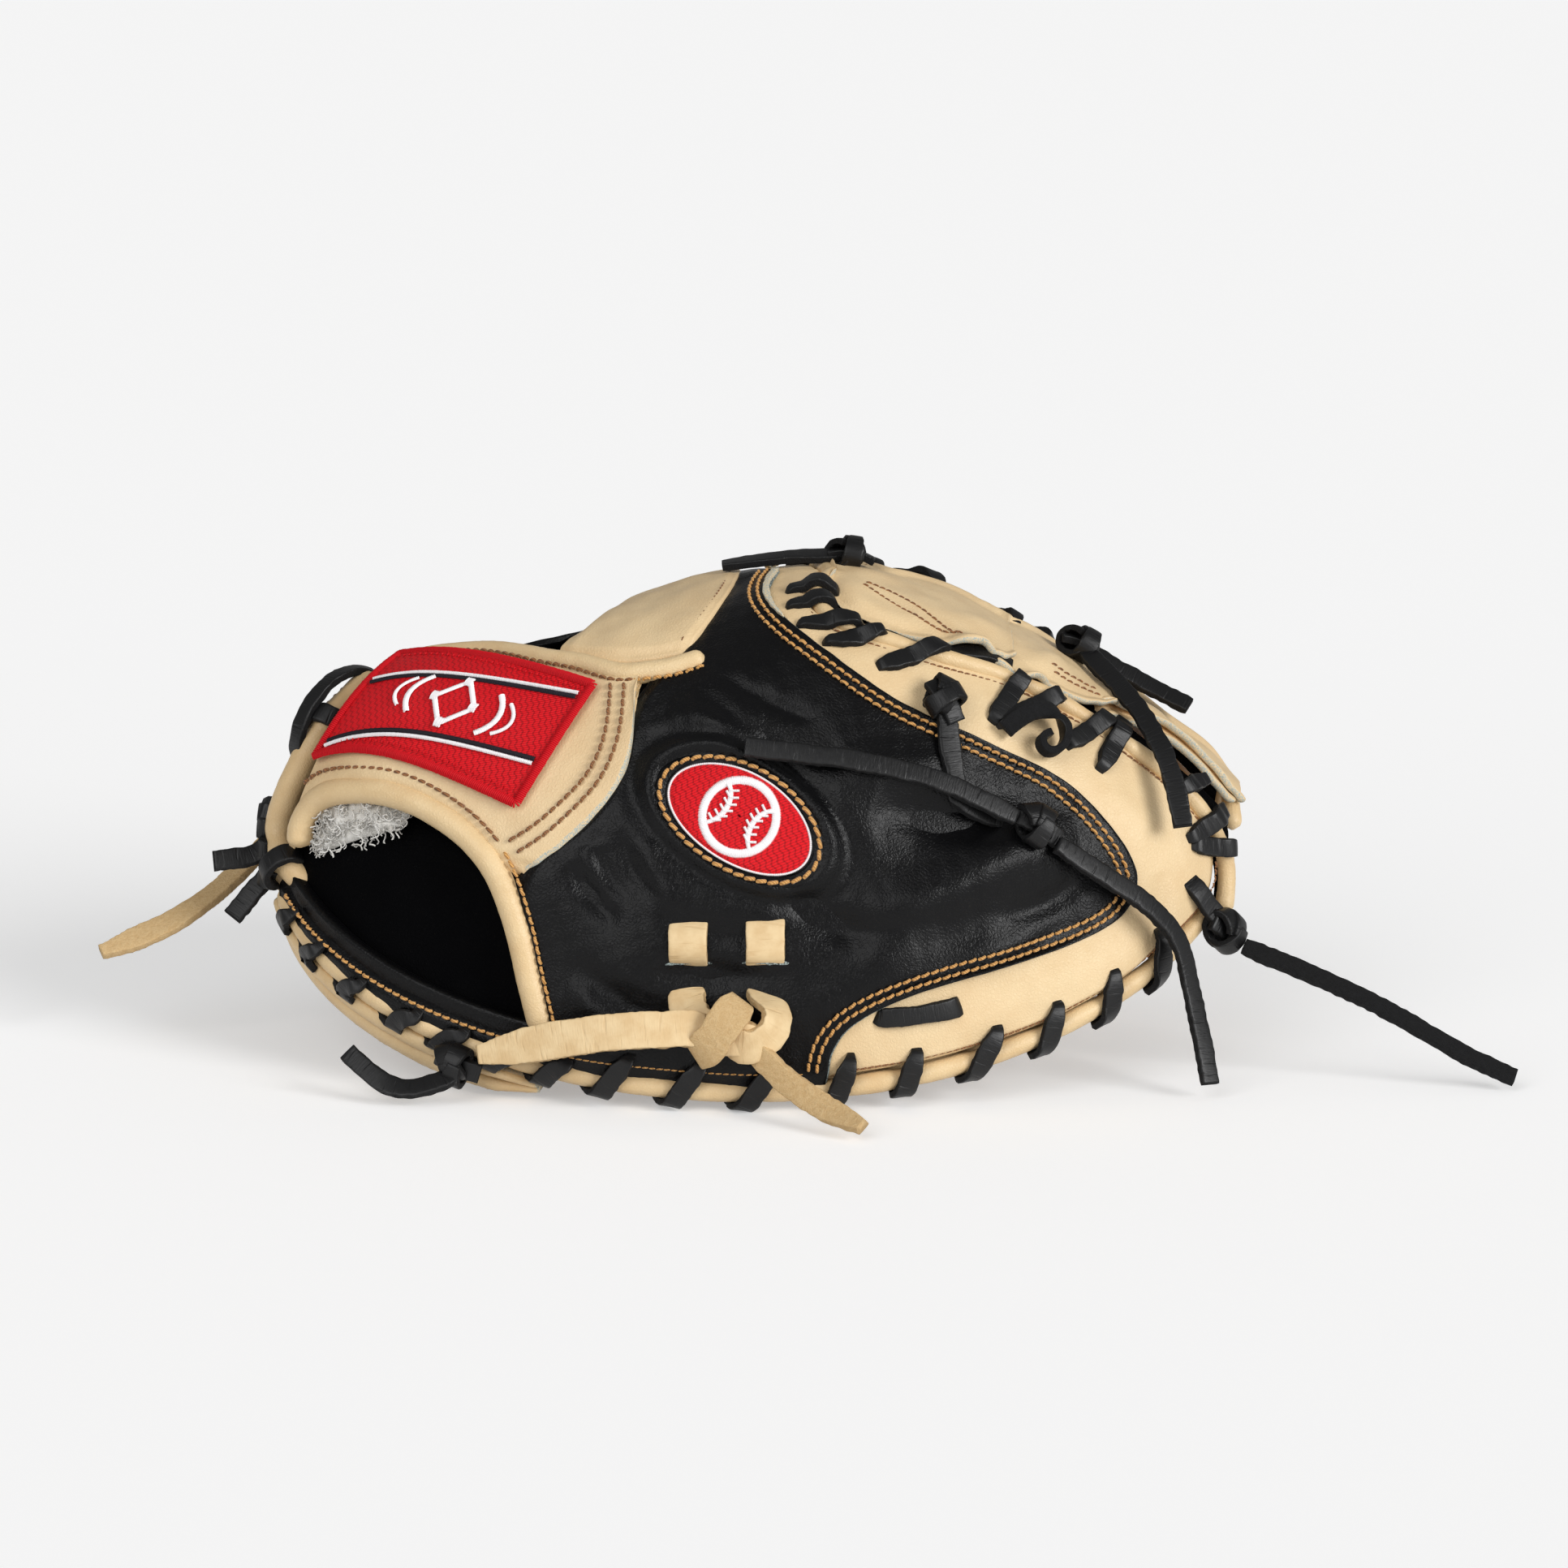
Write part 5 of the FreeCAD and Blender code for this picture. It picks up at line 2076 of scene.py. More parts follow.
def draped(
    points: Sequence[Sequence[float]], heights: Sequence[float], samples: int = 40,
) -> tuple[Array, Array]:
    """A path over the back through places beside it, at a height that changes along it.

    Args:
        points: Points beside the back.
        heights: Height over the back at each.
        samples: How many points the path gets.

    Returns:
        The path and the outward directions along it.
    """
    rough = smooth([tuple(p) + (h,) for p, h in zip(points, heights)])(np.linspace(0, 1, samples))
    places = FORM.near(rough[:, :3])
    outward = FORM.outward(places)
    return FORM.arch(places) + outward * rough[:, 3:], outward


# ---- the two halves


@dataclass
class Half:
    """Palm side, rim bindings and rim lace of one half.

    Attributes:
        bench: Where its pieces are finished.
        name: The half's own name.
        slants: How far along the rim each stitch of rim lace leans.
        wrist_rise: Height of the lace's holes over the binding beside the wrist.
        rise: Height of the holes elsewhere.
    """

    bench: Bench
    name: str = "thumb"
    slants: tuple[float, ...] = (
        2.5, 3.5, 4.0, 6.0, 6.0, 7.6, 6.5, 6.5, 6.5, 7.0, 5.0, 5.0, 8.0, 7.0, 6.5, 5.5,
    )
    wrist_rise: float = 3.4
    rise: float = 8.2

    SHELL_REACH = 0.823
    POCKET_SCALE = 0.91

    @property
    def body(self) -> str:
        """The body that the half rides on."""
        return self.name + "_half"

    @property
    def hand(self) -> int:
        """1 on the thumb's side and -1 on the fingers'."""
        return 1 if self.name == "thumb" else -1

    def over(self, line: Line) -> Line:
        """A line of the thumb's side on this half."""
        return line if self.hand == 1 else across(line)

    def over_web(self, line: Line) -> Line:
        """A line beside the web on the thumb's side, on this half."""
        return line if self.hand == 1 else across_web(line)

    def there(self, points: Sequence[Sequence[float]]) -> tuple[tuple[float, float, float], ...]:
        """Points of the thumb's side on this half."""
        return tuple((x, y * self.hand, z) for x, y, z in points)

    def hinge(self, near: float = 31.0, far: float = 52.0) -> Bend:
        """The bend between the middle and this half."""
        return Bend("core", self.body, (0, -near * self.hand, 100), (0, -far * self.hand, 100))

    def put(
        self, plans: Sequence[MeshPlan], piece: str, finish: Finish, solid: str, bend: Bend | None = None,
    ) -> bpy.types.Object:
        """Puts a piece that both halves have in the place of its solid."""
        name, replaces = f"{self.name}_{piece}", [f"{self.name}_{solid}"]
        return self.bench.leather(plans, name, self.body, finish, replaces, bend)

    def dress(self) -> None:
        """Builds the half's common pieces."""
        self.skins()
        self.bindings()
        self.rim_lace()

    def skins(self) -> None:
        """Palm skin, padding and hand lining."""
        low = self.over(FORM.above_rim(-149, 136, Gauge.SKIRT / FORM.pocket_rise))
        patch = between(low, self.over(PALM_SIDE))
        finishes = self.bench.finishes
        creases = [
            Fold(self.there([(-60, -70, 30), (-20, -66, 44), (30, -66, 48), (80, -58, 50)]), -1.1, 4.0),
            Fold(self.there([(-40, -60, 60), (0, -56, 74), (50, -52, 80)]), -0.8, 3.5),
            Fold(self.there([(-90, -52, 40), (-70, -44, 62), (-30, -38, 84)]), -0.7, 3.0),
        ]
        palm = Skin(
            patch, from_pocket(Gauge.LEATHER), whole_wall, 60, 150, Relief(creases, 0.5, 46, 0.1, 21),
            (-2.2, -1.5, 0.2, 0.2), {0: (-1.2, 5.0)}, faces_pocket=True,
        ).build()
        bend = self.hinge(28, 46)
        self.put([palm], "palm_skin", finishes.palm, "palm", bend)
        felt = Skin(
            patch, padding_top, from_pocket(Gauge.LEATHER), 22, 60, Relief([], 0.3, 30, 0.1, 22),
        ).build()
        pad = self.put([felt], "palm_padding", finishes.felt, "padding", bend)
        lining = Skin(
            patch, lining_top, padding_top, 50, 130, Relief(creases, 0.6, 30, 0.12, 23),
            (-1.0, -1.0, 0.2, 0.2),
        ).build()
        self.put([lining], "hand_lining", finishes.lining, "lining", bend)

    def _rim(self) -> tuple[Line, Line]:
        """Centre lines of the outer and the palm's binding."""
        start, end = RIM_SPAN
        outer = FORM.above_rim(start, end, Gauge.RIM_LIFT)
        inner = FORM.above_rim(start, PALM_END, Gauge.RIM_LIFT / FORM.pocket_rise)
        return self.over(outer), self.over(inner)

    def bindings(self) -> None:
        """Rolled bindings along the rim."""
        squeeze = 0.13
        outer, inner = self._rim()
        edge = self.bench.finishes.tan_edge
        pinches = [rim_share(x, RIM_SPAN[1]) for x in RIM_WRAPS]
        roll = Roll(outer, deep(Gauge.ROLL), Gauge.ROLL, pinches, squeeze, 31).build()
        self.put([roll], "rolled_rim", edge, "rim_binding")
        pinches = [rim_share(x / self.POCKET_SCALE, PALM_END) for x in RIM_WRAPS if abs(x) < 120]
        palm = Roll(inner, from_pocket(Gauge.ROLL), Gauge.ROLL, pinches, squeeze, 33).build()
        self.put([palm], "rolled_palm_rim", edge, "palm_binding")

    def _wrap(self, x: float, seed: int) -> MeshPlan:
        """One stitch of rim lace, from its hole in the back, round both bindings, to its hole in the palm.

        Args:
            x: Where it crosses the rim, in millimetres.
            seed: Seed of its unevenness.

        Returns:
            The stitch's plan.
        """
        outer, inner = self._rim()
        share = np.array([rim_share(x, RIM_SPAN[1])])
        centre, out, on, side = (a[0] for a in FORM.rail(outer, share, deep(Gauge.ROLL)))
        up = side * self.hand
        pocket_x = np.clip(x / self.POCKET_SCALE, RIM_SPAN[0] + 1, PALM_END - 1)
        pocket = FORM.at(inner(np.array([rim_share(pocket_x, PALM_END)])), from_pocket(Gauge.ROLL))[0]
        rise = self.rise if x > WRIST_END else self.wrist_rise
        chance = np.random.default_rng(seed)
        rise += chance.uniform(-0.6, 0.6)
        slant = self.slants[RIM_WRAPS.index(x)] + chance.uniform(-0.6, 0.6)
        r = Gauge.ROLL + Gauge.LACE / 2
        back = unit(pocket - centre)
        path, ups = threaded([
            (centre + (out * (Gauge.ROLL - 2.2) + up * (rise + 1.4)), slant, out + up * 0.8),
            (centre + (out * (Gauge.ROLL + 1.0) + up * (rise - 0.9)), slant * 0.84, out + up * 0.2),
            (centre + (out * (r + 0.2) + up * (rise * 0.32)), slant * 0.36, out),
            (centre + (out * 0.78 - up * 0.62) * r, -slant * 0.14, out - up * 0.7),
            (centre + (out * 0.2 - up * 0.98) * r, -slant * 0.52, out * 0.2 - up),
            (pocket + (-up * 0.98 - back * 0.2) * r, -slant * 0.7, -up),
            (pocket + (back * 0.78 - up * 0.62) * r, -slant * 0.7, back - up * 0.7),
            (pocket + (back * (r + 0.2) + up * 2.4), -slant * 0.6, back),
            (pocket + (back * (Gauge.ROLL + 1.0) + up * 6.6), -slant * 0.5, back + up * 0.2),
            (pocket + (back * (Gauge.ROLL - 2.4) + up * 8.6), -slant * 0.4, back + up * 0.8),
        ], on, 60)
        widths = ((0, 0.3), (0.05, 0.55), (0.16, 0.98), (0.5, 1.04), (0.8, 0.98), (0.92, 0.72), (1, 0.5))
        gauges = ((0, 1.0), (0.2, 0.92), (0.4, 0.8), (0.6, 0.8), (0.8, 0.92), (1, 1.0))
        return Strap(path, ups, widths=widths, gauges=gauges, seed=seed, spacing=0.8, rough=0.9).build()

    def rim_lace(self) -> None:
        """The lace that whips the rim's bindings together."""
        plans = [self._wrap(x, 100 + i) for i, x in enumerate(RIM_WRAPS)]
        plans += self.more_rim_lace()
        self.put(plans, "rim_whipping", self.bench.finishes.lace, "rim_lace")

    def more_rim_lace(self) -> list[MeshPlan]:
        """Lace that only one half has."""
        return []

    def shell(self, heel_edge: Line, relief: Relief) -> None:
        """Black back shell, tan panel beside the web, and their stitching.

        Args:
            heel_edge: The shell's edge towards the heel.
            relief: The shell's bulges and creases.
        """
        finishes = self.bench.finishes
        thumb = self.hand == 1
        web_edge, rim_edge = self.over_web(SHELL_WEB_EDGE), self.over_web(PANEL_EDGE)
        reach = 1.0 if thumb else self.SHELL_REACH
        back = Skin(
            between(heel_edge, part_of(web_edge, 0.0, reach)), deep(0.0), deep(Gauge.LEATHER), 170, 190,
            relief,
            (-3.0, -1.2, -2.6, 0.0 if thumb else -6.5),
            {0: (-1.6, 5.0), 1: (0.9, 9.0), 2: (-1.6, 5.0), 3: (-0.6, 8.0)}, raw_sides=(1,), ragged=0.12,
        ).build()
        self.put([back], "shell", finishes.black, "back_shell", self.hinge())
        waves = Relief([
            Fold(self.there([(118, -58, 38), (124, -54, 52), (123, -52, 66)]), -1.6, 3.6),
            Fold(self.there([(96, -68, 30), (112, -62, 40), (121, -57, 50)]), 1.3, 7.0),
            Fold(self.there([(100, -50, 96), (112, -48, 84), (124, -46, 74)]), 1.1, 6.0),
            Fold(self.there([(52, -82, 20), (66, -78, 26), (82, -74, 30)]), 0.7, 6.0),
        ], 0.55, 30, 0.08, 41)
        panel = Skin(
            between(shifted(web_edge, Gauge.SEAM_GAP), rim_edge), deep(0.0), deep(Gauge.LEATHER), 44, 300,
            waves, (-3.0, 1.2, 0.2, 0.0), {0: (-0.7, 5.0), 1: (-1.8, 3.4)},
        ).build()
        self.put([panel, self._raw_lip(web_edge)], "web_side_panel", finishes.tan, "rim_panel", self.hinge())
        rows = []
        for offset in (1.8, 4.4):
            height = 0.9 * (1 - float(ease(np.array(offset / 9)))) + 0.1
            rows.append(seam_along(web_edge, 0.012, reach - 0.015, self.hand * offset, height, relief, 9))
        name = self.name + "_shell_double_row"
        self.bench.sew(name, self.body, rows, SADDLE, finishes.gold, self.hinge())

    @staticmethod
    def _raw_lip(web_edge: Line) -> MeshPlan:
        """The panel's cut edge, which stands up beside the shell near the crest.

        Args:
            web_edge: The panel's edge beside the web.

        Returns:
            The strip's plan.
        """
        places = FORM.beside(web_edge, np.linspace(0.775, 0.985, 60), 0.0) + (0.9, 0.0)
        ups = FORM.outward(places)
        widths = ((0, 0.3), (0.3, 1), (1, 1))
        path = FORM.arch(places) + ups * 1.3
        return Strap(path, ups, 2.0, 1.3, widths, seed=47, start=EndShape.ROUND).build_raw()


@dataclass
class ThumbHalf(Half):
    """The half that faces the front: shell with its emblem, thumb loop and stay.

    Attributes:
        emblem_centre: A point beside the emblem's centre.
        emblem_start: A point beside its heel end.
        emblem_end: A point beside its tip end.
        emblem_half: Half its length and half its height.
    """

    emblem_centre: tuple[float, float, float] = (-5.5, -76.6, 89.2)
    emblem_end: tuple[float, float, float] = (16.0, -79.6, 76.7)
    emblem_start: tuple[float, float, float] = (-27.0, -68.6, 101.7)
    emblem_half: tuple[float, float] = (23.9, 13.7)

    def _oval(self) -> tuple[Array, Array, Array]:
        """The emblem's centre and its long and short directions."""
        centre, outward = on_back([self.emblem_centre], 0.0)
        ends, _ = on_back([self.emblem_start, self.emblem_end], 0.0)
        long = unit(ends[1] - ends[0])
        long = unit(long - outward[0] * (long @ outward[0]))
        return centre[0], long, unit(np.cross(outward[0], long))

    def _oval_share(self, points: Array) -> tuple[Array, Array]:
        """Distance from the emblem's centre as a share of its edge's, and the angle.

        Args:
            points: Points as rows, in millimetres.

        Returns:
            Shares, which are 0 at the middle and 1 on the edge, and angles.
        """
        centre, long, short = self._oval()
        half_length, half_height = self.emblem_half
        u, v = (points - centre) @ long / half_length, (points - centre) @ short / half_height
        return np.hypot(u, v), np.arctan2(v, u)

    def _ring(self, points: Array) -> Array:
        """The padded ring that rises round the emblem, with its gathered wrinkles.

        Args:
            points: Points as rows, in millimetres.

        Returns:
            One height for each point.
        """
        share, angle = self._oval_share(points)
        bump = 1.9 * np.exp(-(((share - 1.27) / 0.13) ** 2))
        dip = -0.9 * np.exp(-(((share - 1.55) / 0.14) ** 2))
        inside = 0.5 * (1 - ease((share - 1.0) / 0.12))
        wrinkles = 0.10 * np.sin(angle * 92 + 3 * wobble(points, 18, 5))
        gathers = wrinkles * np.exp(-(((share - 1.24) / 0.12) ** 2))
        return bump + dip + inside + gathers

    def relief(self) -> Relief:
        """Bulges and creases of the worn shell."""
        folds = [
            Fold(((28, -84, 50), (47, -80, 61), (72, -71, 73), (97, -61, 77)), 4.8, 9.0),
            Fold(((16, -87, 33), (40, -83, 41), (69, -77, 43), (97, -67, 49)), 3.1, 9.0),
            Fold(((6, -81, 72), (18, -83, 60), (35, -83, 55), (59, -77, 61)), -3.1, 5.0),
            Fold(((35, -73, 93), (52, -72, 87), (74, -66, 86), (97, -55, 89)), -3.4, 6.0),
            Fold(((24, -70, 103), (44, -67, 101), (64, -62, 100)), 2.2, 7.0),
            Fold(((-48, -74, 79), (-46, -77, 71), (-38, -80, 63)), -2.1, 3.2),
            Fold(((-57, -74, 74), (-51, -77, 66), (-42, -81, 57)), -2.4, 3.4),
            Fold(((-42, -73, 84), (-38, -77, 73), (-30, -81, 66)), -1.8, 3.0),
            Fold(((-53, -73, 79), (-48, -77, 70), (-40, -80, 61)), 1.7, 3.4),
            Fold(((-34, -75, 82), (-30, -80, 70), (-22, -83, 63)), 1.3, 4.0),
            Fold(((-13, -53, 128), (4, -61, 121), (18, -63, 116)), -1.4, 2.6),
            Fold(((-18, -56, 123), (-3, -65, 113), (11, -68, 109)), -1.3, 3.0),
            Fold(((-28, -58, 118), (-10, -64, 113), (4, -68, 106)), 2.0, 6.0),
            Fold(((-31, -82, 60), (-13, -84, 55), (3, -85, 55), (18, -83, 60)), -1.7, 4.4),
            Fold(((-35, -84, 39), (-23, -85, 43), (-3, -86, 42), (13, -86, 43)), -1.8, 4.0),
            Fold(((-57, -80, 46), (-42, -84, 35), (-27, -86, 30)), -1.8, 4.0),
            Fold(((-58, -79, 38), (-46, -83, 29), (-34, -86, 24)), 1.7, 5.0),
            Fold(((72, -75, 58), (89, -68, 61), (102, -60, 71)), -2.1, 4.0),
            Fold(((52, -81, 42), (77, -75, 45), (97, -66, 56)), -1.4, 3.4),
            Fold(((-2, -87, 26), (12, -88, 30), (26, -87, 38)), 1.4, 6.0),
        ]
        return Relief(folds, 0.8, 30, 0.12, 51, self._ring)

    def dress(self) -> None:
        """Builds everything on the thumb's half but its ties."""
        super().dress()
        self.shell(SHELL_HEEL_EDGE, self.relief())
        self.edge_rows()
        self.stay()
        self.emblem()
        self.loop_bands()
        self.heel_edge()

    def more_rim_lace(self) -> list[MeshPlan]:
        """The short stretch of lace that shows on the panel."""
        points = [(36, -86, 29.5), (38.5, -85, 29), (48, -83, 29.6), (58, -81, 31), (60.5, -81, 32)]
        path, ups = draped(points, (-2.0, 0.6, 1.5, 0.9, -2.0))
        widths = ((0, 0.8), (0.12, 1.0), (0.5, 0.9), (0.9, 1.05), (1, 0.9))
        return [Strap(path, ups, width=6.0, widths=widths, seed=77, rough=1.0).build()]

    def edge_rows(self) -> None:
        """A row of gold thread along the shell's foot and a brown one on the panel."""
        finishes = self.bench.finishes
        low = straight(SHELL_HEEL_EDGE(0)[0], SHELL_WEB_EDGE(0)[0])
        row = seam_along(low, 0.02, 0.95, 1.6, -0.3, self.relief())
        self.bench.sew("thumb_shell_rows", self.body, [row], FINE, finishes.gold)
        row = seam_along(PANEL_EDGE, 0.01, 0.32, 1.6, -0.25)
        self.bench.sew("thumb_panel_row", self.body, [row], FINE, finishes.brown)

    def stay(self) -> None:
        """Moulded stay inside the shell."""
        top = Gauge.LEATHER + Gauge.SEAM_GAP
        patch = straight_sided(*FORM.near([(-40, -85, 24), (24, -87, 30), (-30, -70, 96), (50, -66, 100)]))
        plate = Skin(
            patch, deep(top), deep(top + Gauge.STIFFENER), 30, 30, Relief([], 0.05, 30, 0.0, 61),
        ).build()
        self.put([plate], "moulded_stay", self.bench.finishes.plastic, "stay")

    def _on_oval(self, u: Array, v: Array, height: Array | float) -> tuple[Array, Array]:
        """Points over the emblem at distances along and across it.

        Args:
            u: Distance along the oval's long way, in millimetres.
            v: Distance along its short way.
            height: Height over the back, in millimetres.

        Returns:
            The points and the outward directions.
        """
        centre, long, short = self._oval()
        rough = centre + long * np.asarray(u)[:, None] + short * np.asarray(v)[:, None]
        places = FORM.near(rough)
        outward = FORM.outward(places)
        return FORM.arch(places) + outward * np.broadcast_to(height, (len(rough),))[:, None], outward

    def _disc(
        self, inner: float, outer: float, rings: int, spokes: int, top: Callable[[Array], Array],
    ) -> MeshPlan:
        """A closed ring over the emblem.

        Args:
            inner: Share of the emblem's size at its inner edge.
            outer: Share at its outer edge.
            rings: Rings of points.
            spokes: Points in a ring.
            top: Height of its face at a share.

        Returns:
            The ring's mesh.
        """
        shares = np.linspace(inner, outer, rings)
        angles = np.linspace(0, 2 * math.pi, spokes, endpoint=False)
        share, angle = np.meshgrid(shares, angles, indexing="ij")
        u = (share * np.cos(angle) * self.emblem_half[0]).ravel()
        v = (share * np.sin(angle) * self.emblem_half[1]).ravel()
        upper, _ = self._on_oval(u, v, top(share.ravel()))
        lower, _ = self._on_oval(u, v, 0.05)
        count = rings * spokes
        faces = grid_faces(rings, spokes, loop=True) + grid_faces(rings, spokes, count, loop=True, flip=True)
        j = np.arange(spokes)
        after = (j + 1) % spokes
        last = (rings - 1) * spokes
        faces += as_faces(last + j, count + last + j, count + last + after, last + after)
        faces += as_faces(j, after, count + after, count + j)
        uv = np.concatenate([np.stack([u, v], 1)] * 2)
        edge = np.clip(1 - np.abs(share.ravel() - outer) / 0.08, 0, 1)
        return MeshPlan(np.concatenate([upper, lower]), faces, uv, np.zeros(2 * count), np.tile(edge, 2))

    def heel_edge(self) -> None:
        """The black lip over the rim's roll beside the opening, its gold row, and the palm's welts below."""
        finishes = self.bench.finishes
        lip = Skin(
            between(FORM.above_rim(-150, -64, 5.0), FORM.above_rim(-150, -64, 19.0)), deep(0.8), deep(3.0),
            20, 120,
            Relief([], 0.5, 14, 0.1, 63), (0.0, 0.0, 0.0, 0.0), {1: (-6.5, 9.0)},
        ).build()
        bend = self.hinge(16, 34)
        self.bench.leather([lip], "heel_lip", self.body, finishes.black, bend=bend)
        row = seam_along(FORM.above_rim(-147, -67, 12.4), 0.0, 1.0, 0.0, -0.6)
        self.bench.sew("heel_lip_row", self.body, [row], SADDLE, finishes.gold, bend)
        outer, _ = self._rim()
        centre, out, _, side = FORM.rail(outer, np.linspace(0.0, 0.29, 90), deep(Gauge.ROLL))
        welts = []
        for drop, inward, width, gauge in ((5.4, 1.2, 5.2, 4.2), (10.0, 4.0, 6.6, 4.6)):
            low = np.minimum(drop, centre[:, 2] - 4.4)[:, None]
            path = centre - side * low - out * inward
            widths = ((0, 0.5), (0.2, 1), (0.7, 1), (1, 0.4))
            welts.append(
                Strap(path, unit(out - side * 0.25), width, gauge, widths, crown=0.6, seed=65).build()
            )
        self.bench.leather(welts, "heel_palm_welts", self.body, finishes.tan_edge, bend=bend)

    def emblem(self) -> None:
        """Embroidered oval, its outline, a generic ball motif, its border and chunky gold stitches."""
        bench, finishes = self.bench, self.bench.finishes
        patch = self._disc(0.02, 1.0, 40, 160, lambda share: 1.95 - 0.9 * ease((share - 0.9) / 0.1))
        bench.leather([patch], "emblem_field", self.body, finishes.red, ["emblem_patch"])
        ring = self._disc(1.03, 1.2, 14, 200, lambda share: 1.9 - 0.9 * np.abs(share - 1.11) / 0.09)
        bench.leather([ring], "emblem_padded_border", self.body, finishes.black, ["emblem_border"])
        rim, up = self._ellipse(1.105, 1.13, 1.9)
        gold = Seam(rim, up, 10, closed=True)
        bench.sew("emblem_gold_row", self.body, [gold], HEAVY, finishes.gold, slot=Slot.RED_EMBROIDERY)
        line, up = self._ellipse(0.985, 0.985, 1.35)
        outline = Seam(line, up, ACROSS, np.full(len(line), 0.9), True)
        bench.sew("emblem_outline", self.body, [outline], HAIRLINE, finishes.white)
        bench.sew("emblem_ball_motif", self.body, self._ball(), SATIN, finishes.white)

    def _ellipse(self, long_share: float, short_share: float, height: float) -> tuple[Array, Array]:
        """A closed line over the emblem at shares of its size, and its up directions.

        Args:
            long_share: Share of the oval's half length.
            short_share: Share of its half height.
            height: Height over the back, in millimetres.

        Returns:
            The closed path and the outward directions.
        """
        turn = np.linspace(0, 2 * math.pi, 240)
        half_length, half_height = self.emblem_half
        u, v = long_share * half_length * np.cos(turn), short_share * half_height * np.sin(turn)
        return self._on_oval(u, v, height)

    def _ball(self) -> list[Seam]:
        """A plain ball with its two curved seams, in satin stitch."""
        radius, seam_centre, seam_radius = 11.0, 13.4, 8.9
        turn = np.linspace(0, 2 * math.pi, 200)
        line, up = self._on_oval(radius * np.cos(turn), radius * np.sin(turn), 2.0)
        seams = [Seam(line, up, ACROSS, np.full(len(line), 2.0), True)]
        for hand in (-1, 1):
            swing = np.linspace(-0.86, 0.86, 90)
            u = hand * (seam_centre - seam_radius * np.cos(swing))
            line, up = self._on_oval(u, seam_radius * np.sin(swing), 2.05)
            seams.append(Seam(line, up, ACROSS, 0.8 + 0.55 * np.cos(swing * 1.6)))
            for tick in np.linspace(-0.62, 0.62, 6):
                across_ball = hand * (seam_centre - seam_radius * math.cos(tick))
                root = np.array([across_ball, seam_radius * math.sin(tick)])
                places = evenly(np.array([root + (hand * 2.0, 1.2), root, root + (-hand * 2.0, 1.2)]), 0.35)
                line, up = self._on_oval(places[:, 0], places[:, 1], 2.25)
                seams.append(Seam(line, up, ACROSS, np.full(len(line), 0.62)))
        return seams

    def loop_bands(self) -> None:
        """The two stretches of the thumb loop that cross the shell's slits, and the slits' raw lips."""
        relief, bands, lips = self.relief(), [], []

        def raised(
            points: Sequence[Sequence[float]], heights: Sequence[float], samples: int,
        ) -> tuple[Array, Array]:
            """A path over the shell's own bulges."""
            path, ups = draped(points, heights, samples)
            return path + ups * relief.height(path)[:, None], ups

        for x in (-21.0, 2.2):
            points = [
                (x, -85, 45), (x, -85, 46.6), (x, -85, 48.8), (x, -84, 51.5), (x, -83.5, 54.4),
                (x, -83, 56.6),
                (x, -83, 58),
            ]
            path, ups = raised(points, (-2.4, -0.4, 0.9, 1.3, 1.0, -0.3, -2.4), 40)
            bands.append(
                Strap(path, ups, width=11.6, gauge=2.2, crown=0.1, seed=81, rough=0.0, uneven=0.1).build()
            )
            for z, reach in ((45.7, 7.6), (57.3, 6.2)):
                path, ups = raised(
                    [(x - reach, -85, z), (x, -85, z), (x + reach, -85, z)], (-0.7, 0.05, -0.7), 24,
                )
                lips.append(
                    Strap(path, ups, width=0.9, gauge=0.9, crown=0.3, seed=83, spacing=0.7).build_raw()
                )
        finishes = self.bench.finishes
        self.bench.leather(bands, "thumb_loop_stretches", self.body, finishes.loop, ["thumb_loop_bands"])
        self.bench.leather(lips, "thumb_loop_slit_lips", self.body, finishes.black)


@dataclass
class FingerHalf(Half):
    """The half behind: shell over the fingers."""

    def dress(self) -> None:
        """Builds everything on the fingers' half but its ties."""
        super().dress()
        folds = [
            Fold(((-96, 62, 60), (-50, 74, 66), (0, 80, 66), (50, 77, 60)), 2.2, 11.0),
            Fold(((-90, 52, 88), (-40, 64, 92), (10, 70, 94), (56, 66, 88)), 2.0, 10.0),
            Fold(((-92, 66, 44), (-46, 78, 46), (4, 84, 46), (60, 79, 42)), -1.6, 4.5),
            Fold(((-94, 57, 76), (-46, 70, 80), (6, 76, 82), (54, 72, 76)), -1.8, 5.0),
            Fold(((-80, 48, 100), (-34, 58, 108), (10, 62, 110), (40, 60, 108)), -1.2, 4.0),
            Fold(((-70, 74, 30), (-20, 84, 28), (20, 86, 28)), 1.2, 8.0),
        ]
        heel_edge, finishes = across(FINGER_HEEL_EDGE), self.bench.finishes
        self.shell(heel_edge, Relief(folds, 0.6, 34, 0.07, 53))
        low = straight(heel_edge(0)[0], across_web(SHELL_WEB_EDGE)(0)[0])
        rows = [seam_along(low, 0.04, 0.97, -1.6, -0.3), seam_along(heel_edge, 0.03, 0.97, 2.4, -0.6)]
        self.bench.sew("finger_shell_rows", self.body, rows, FINE, finishes.gold)
        row = seam_along(across_web(PANEL_EDGE), 0.01, 0.32, -1.6, -0.25)
        self.bench.sew("finger_panel_row", self.body, [row], FINE, finishes.brown)


# ---- wrist strap


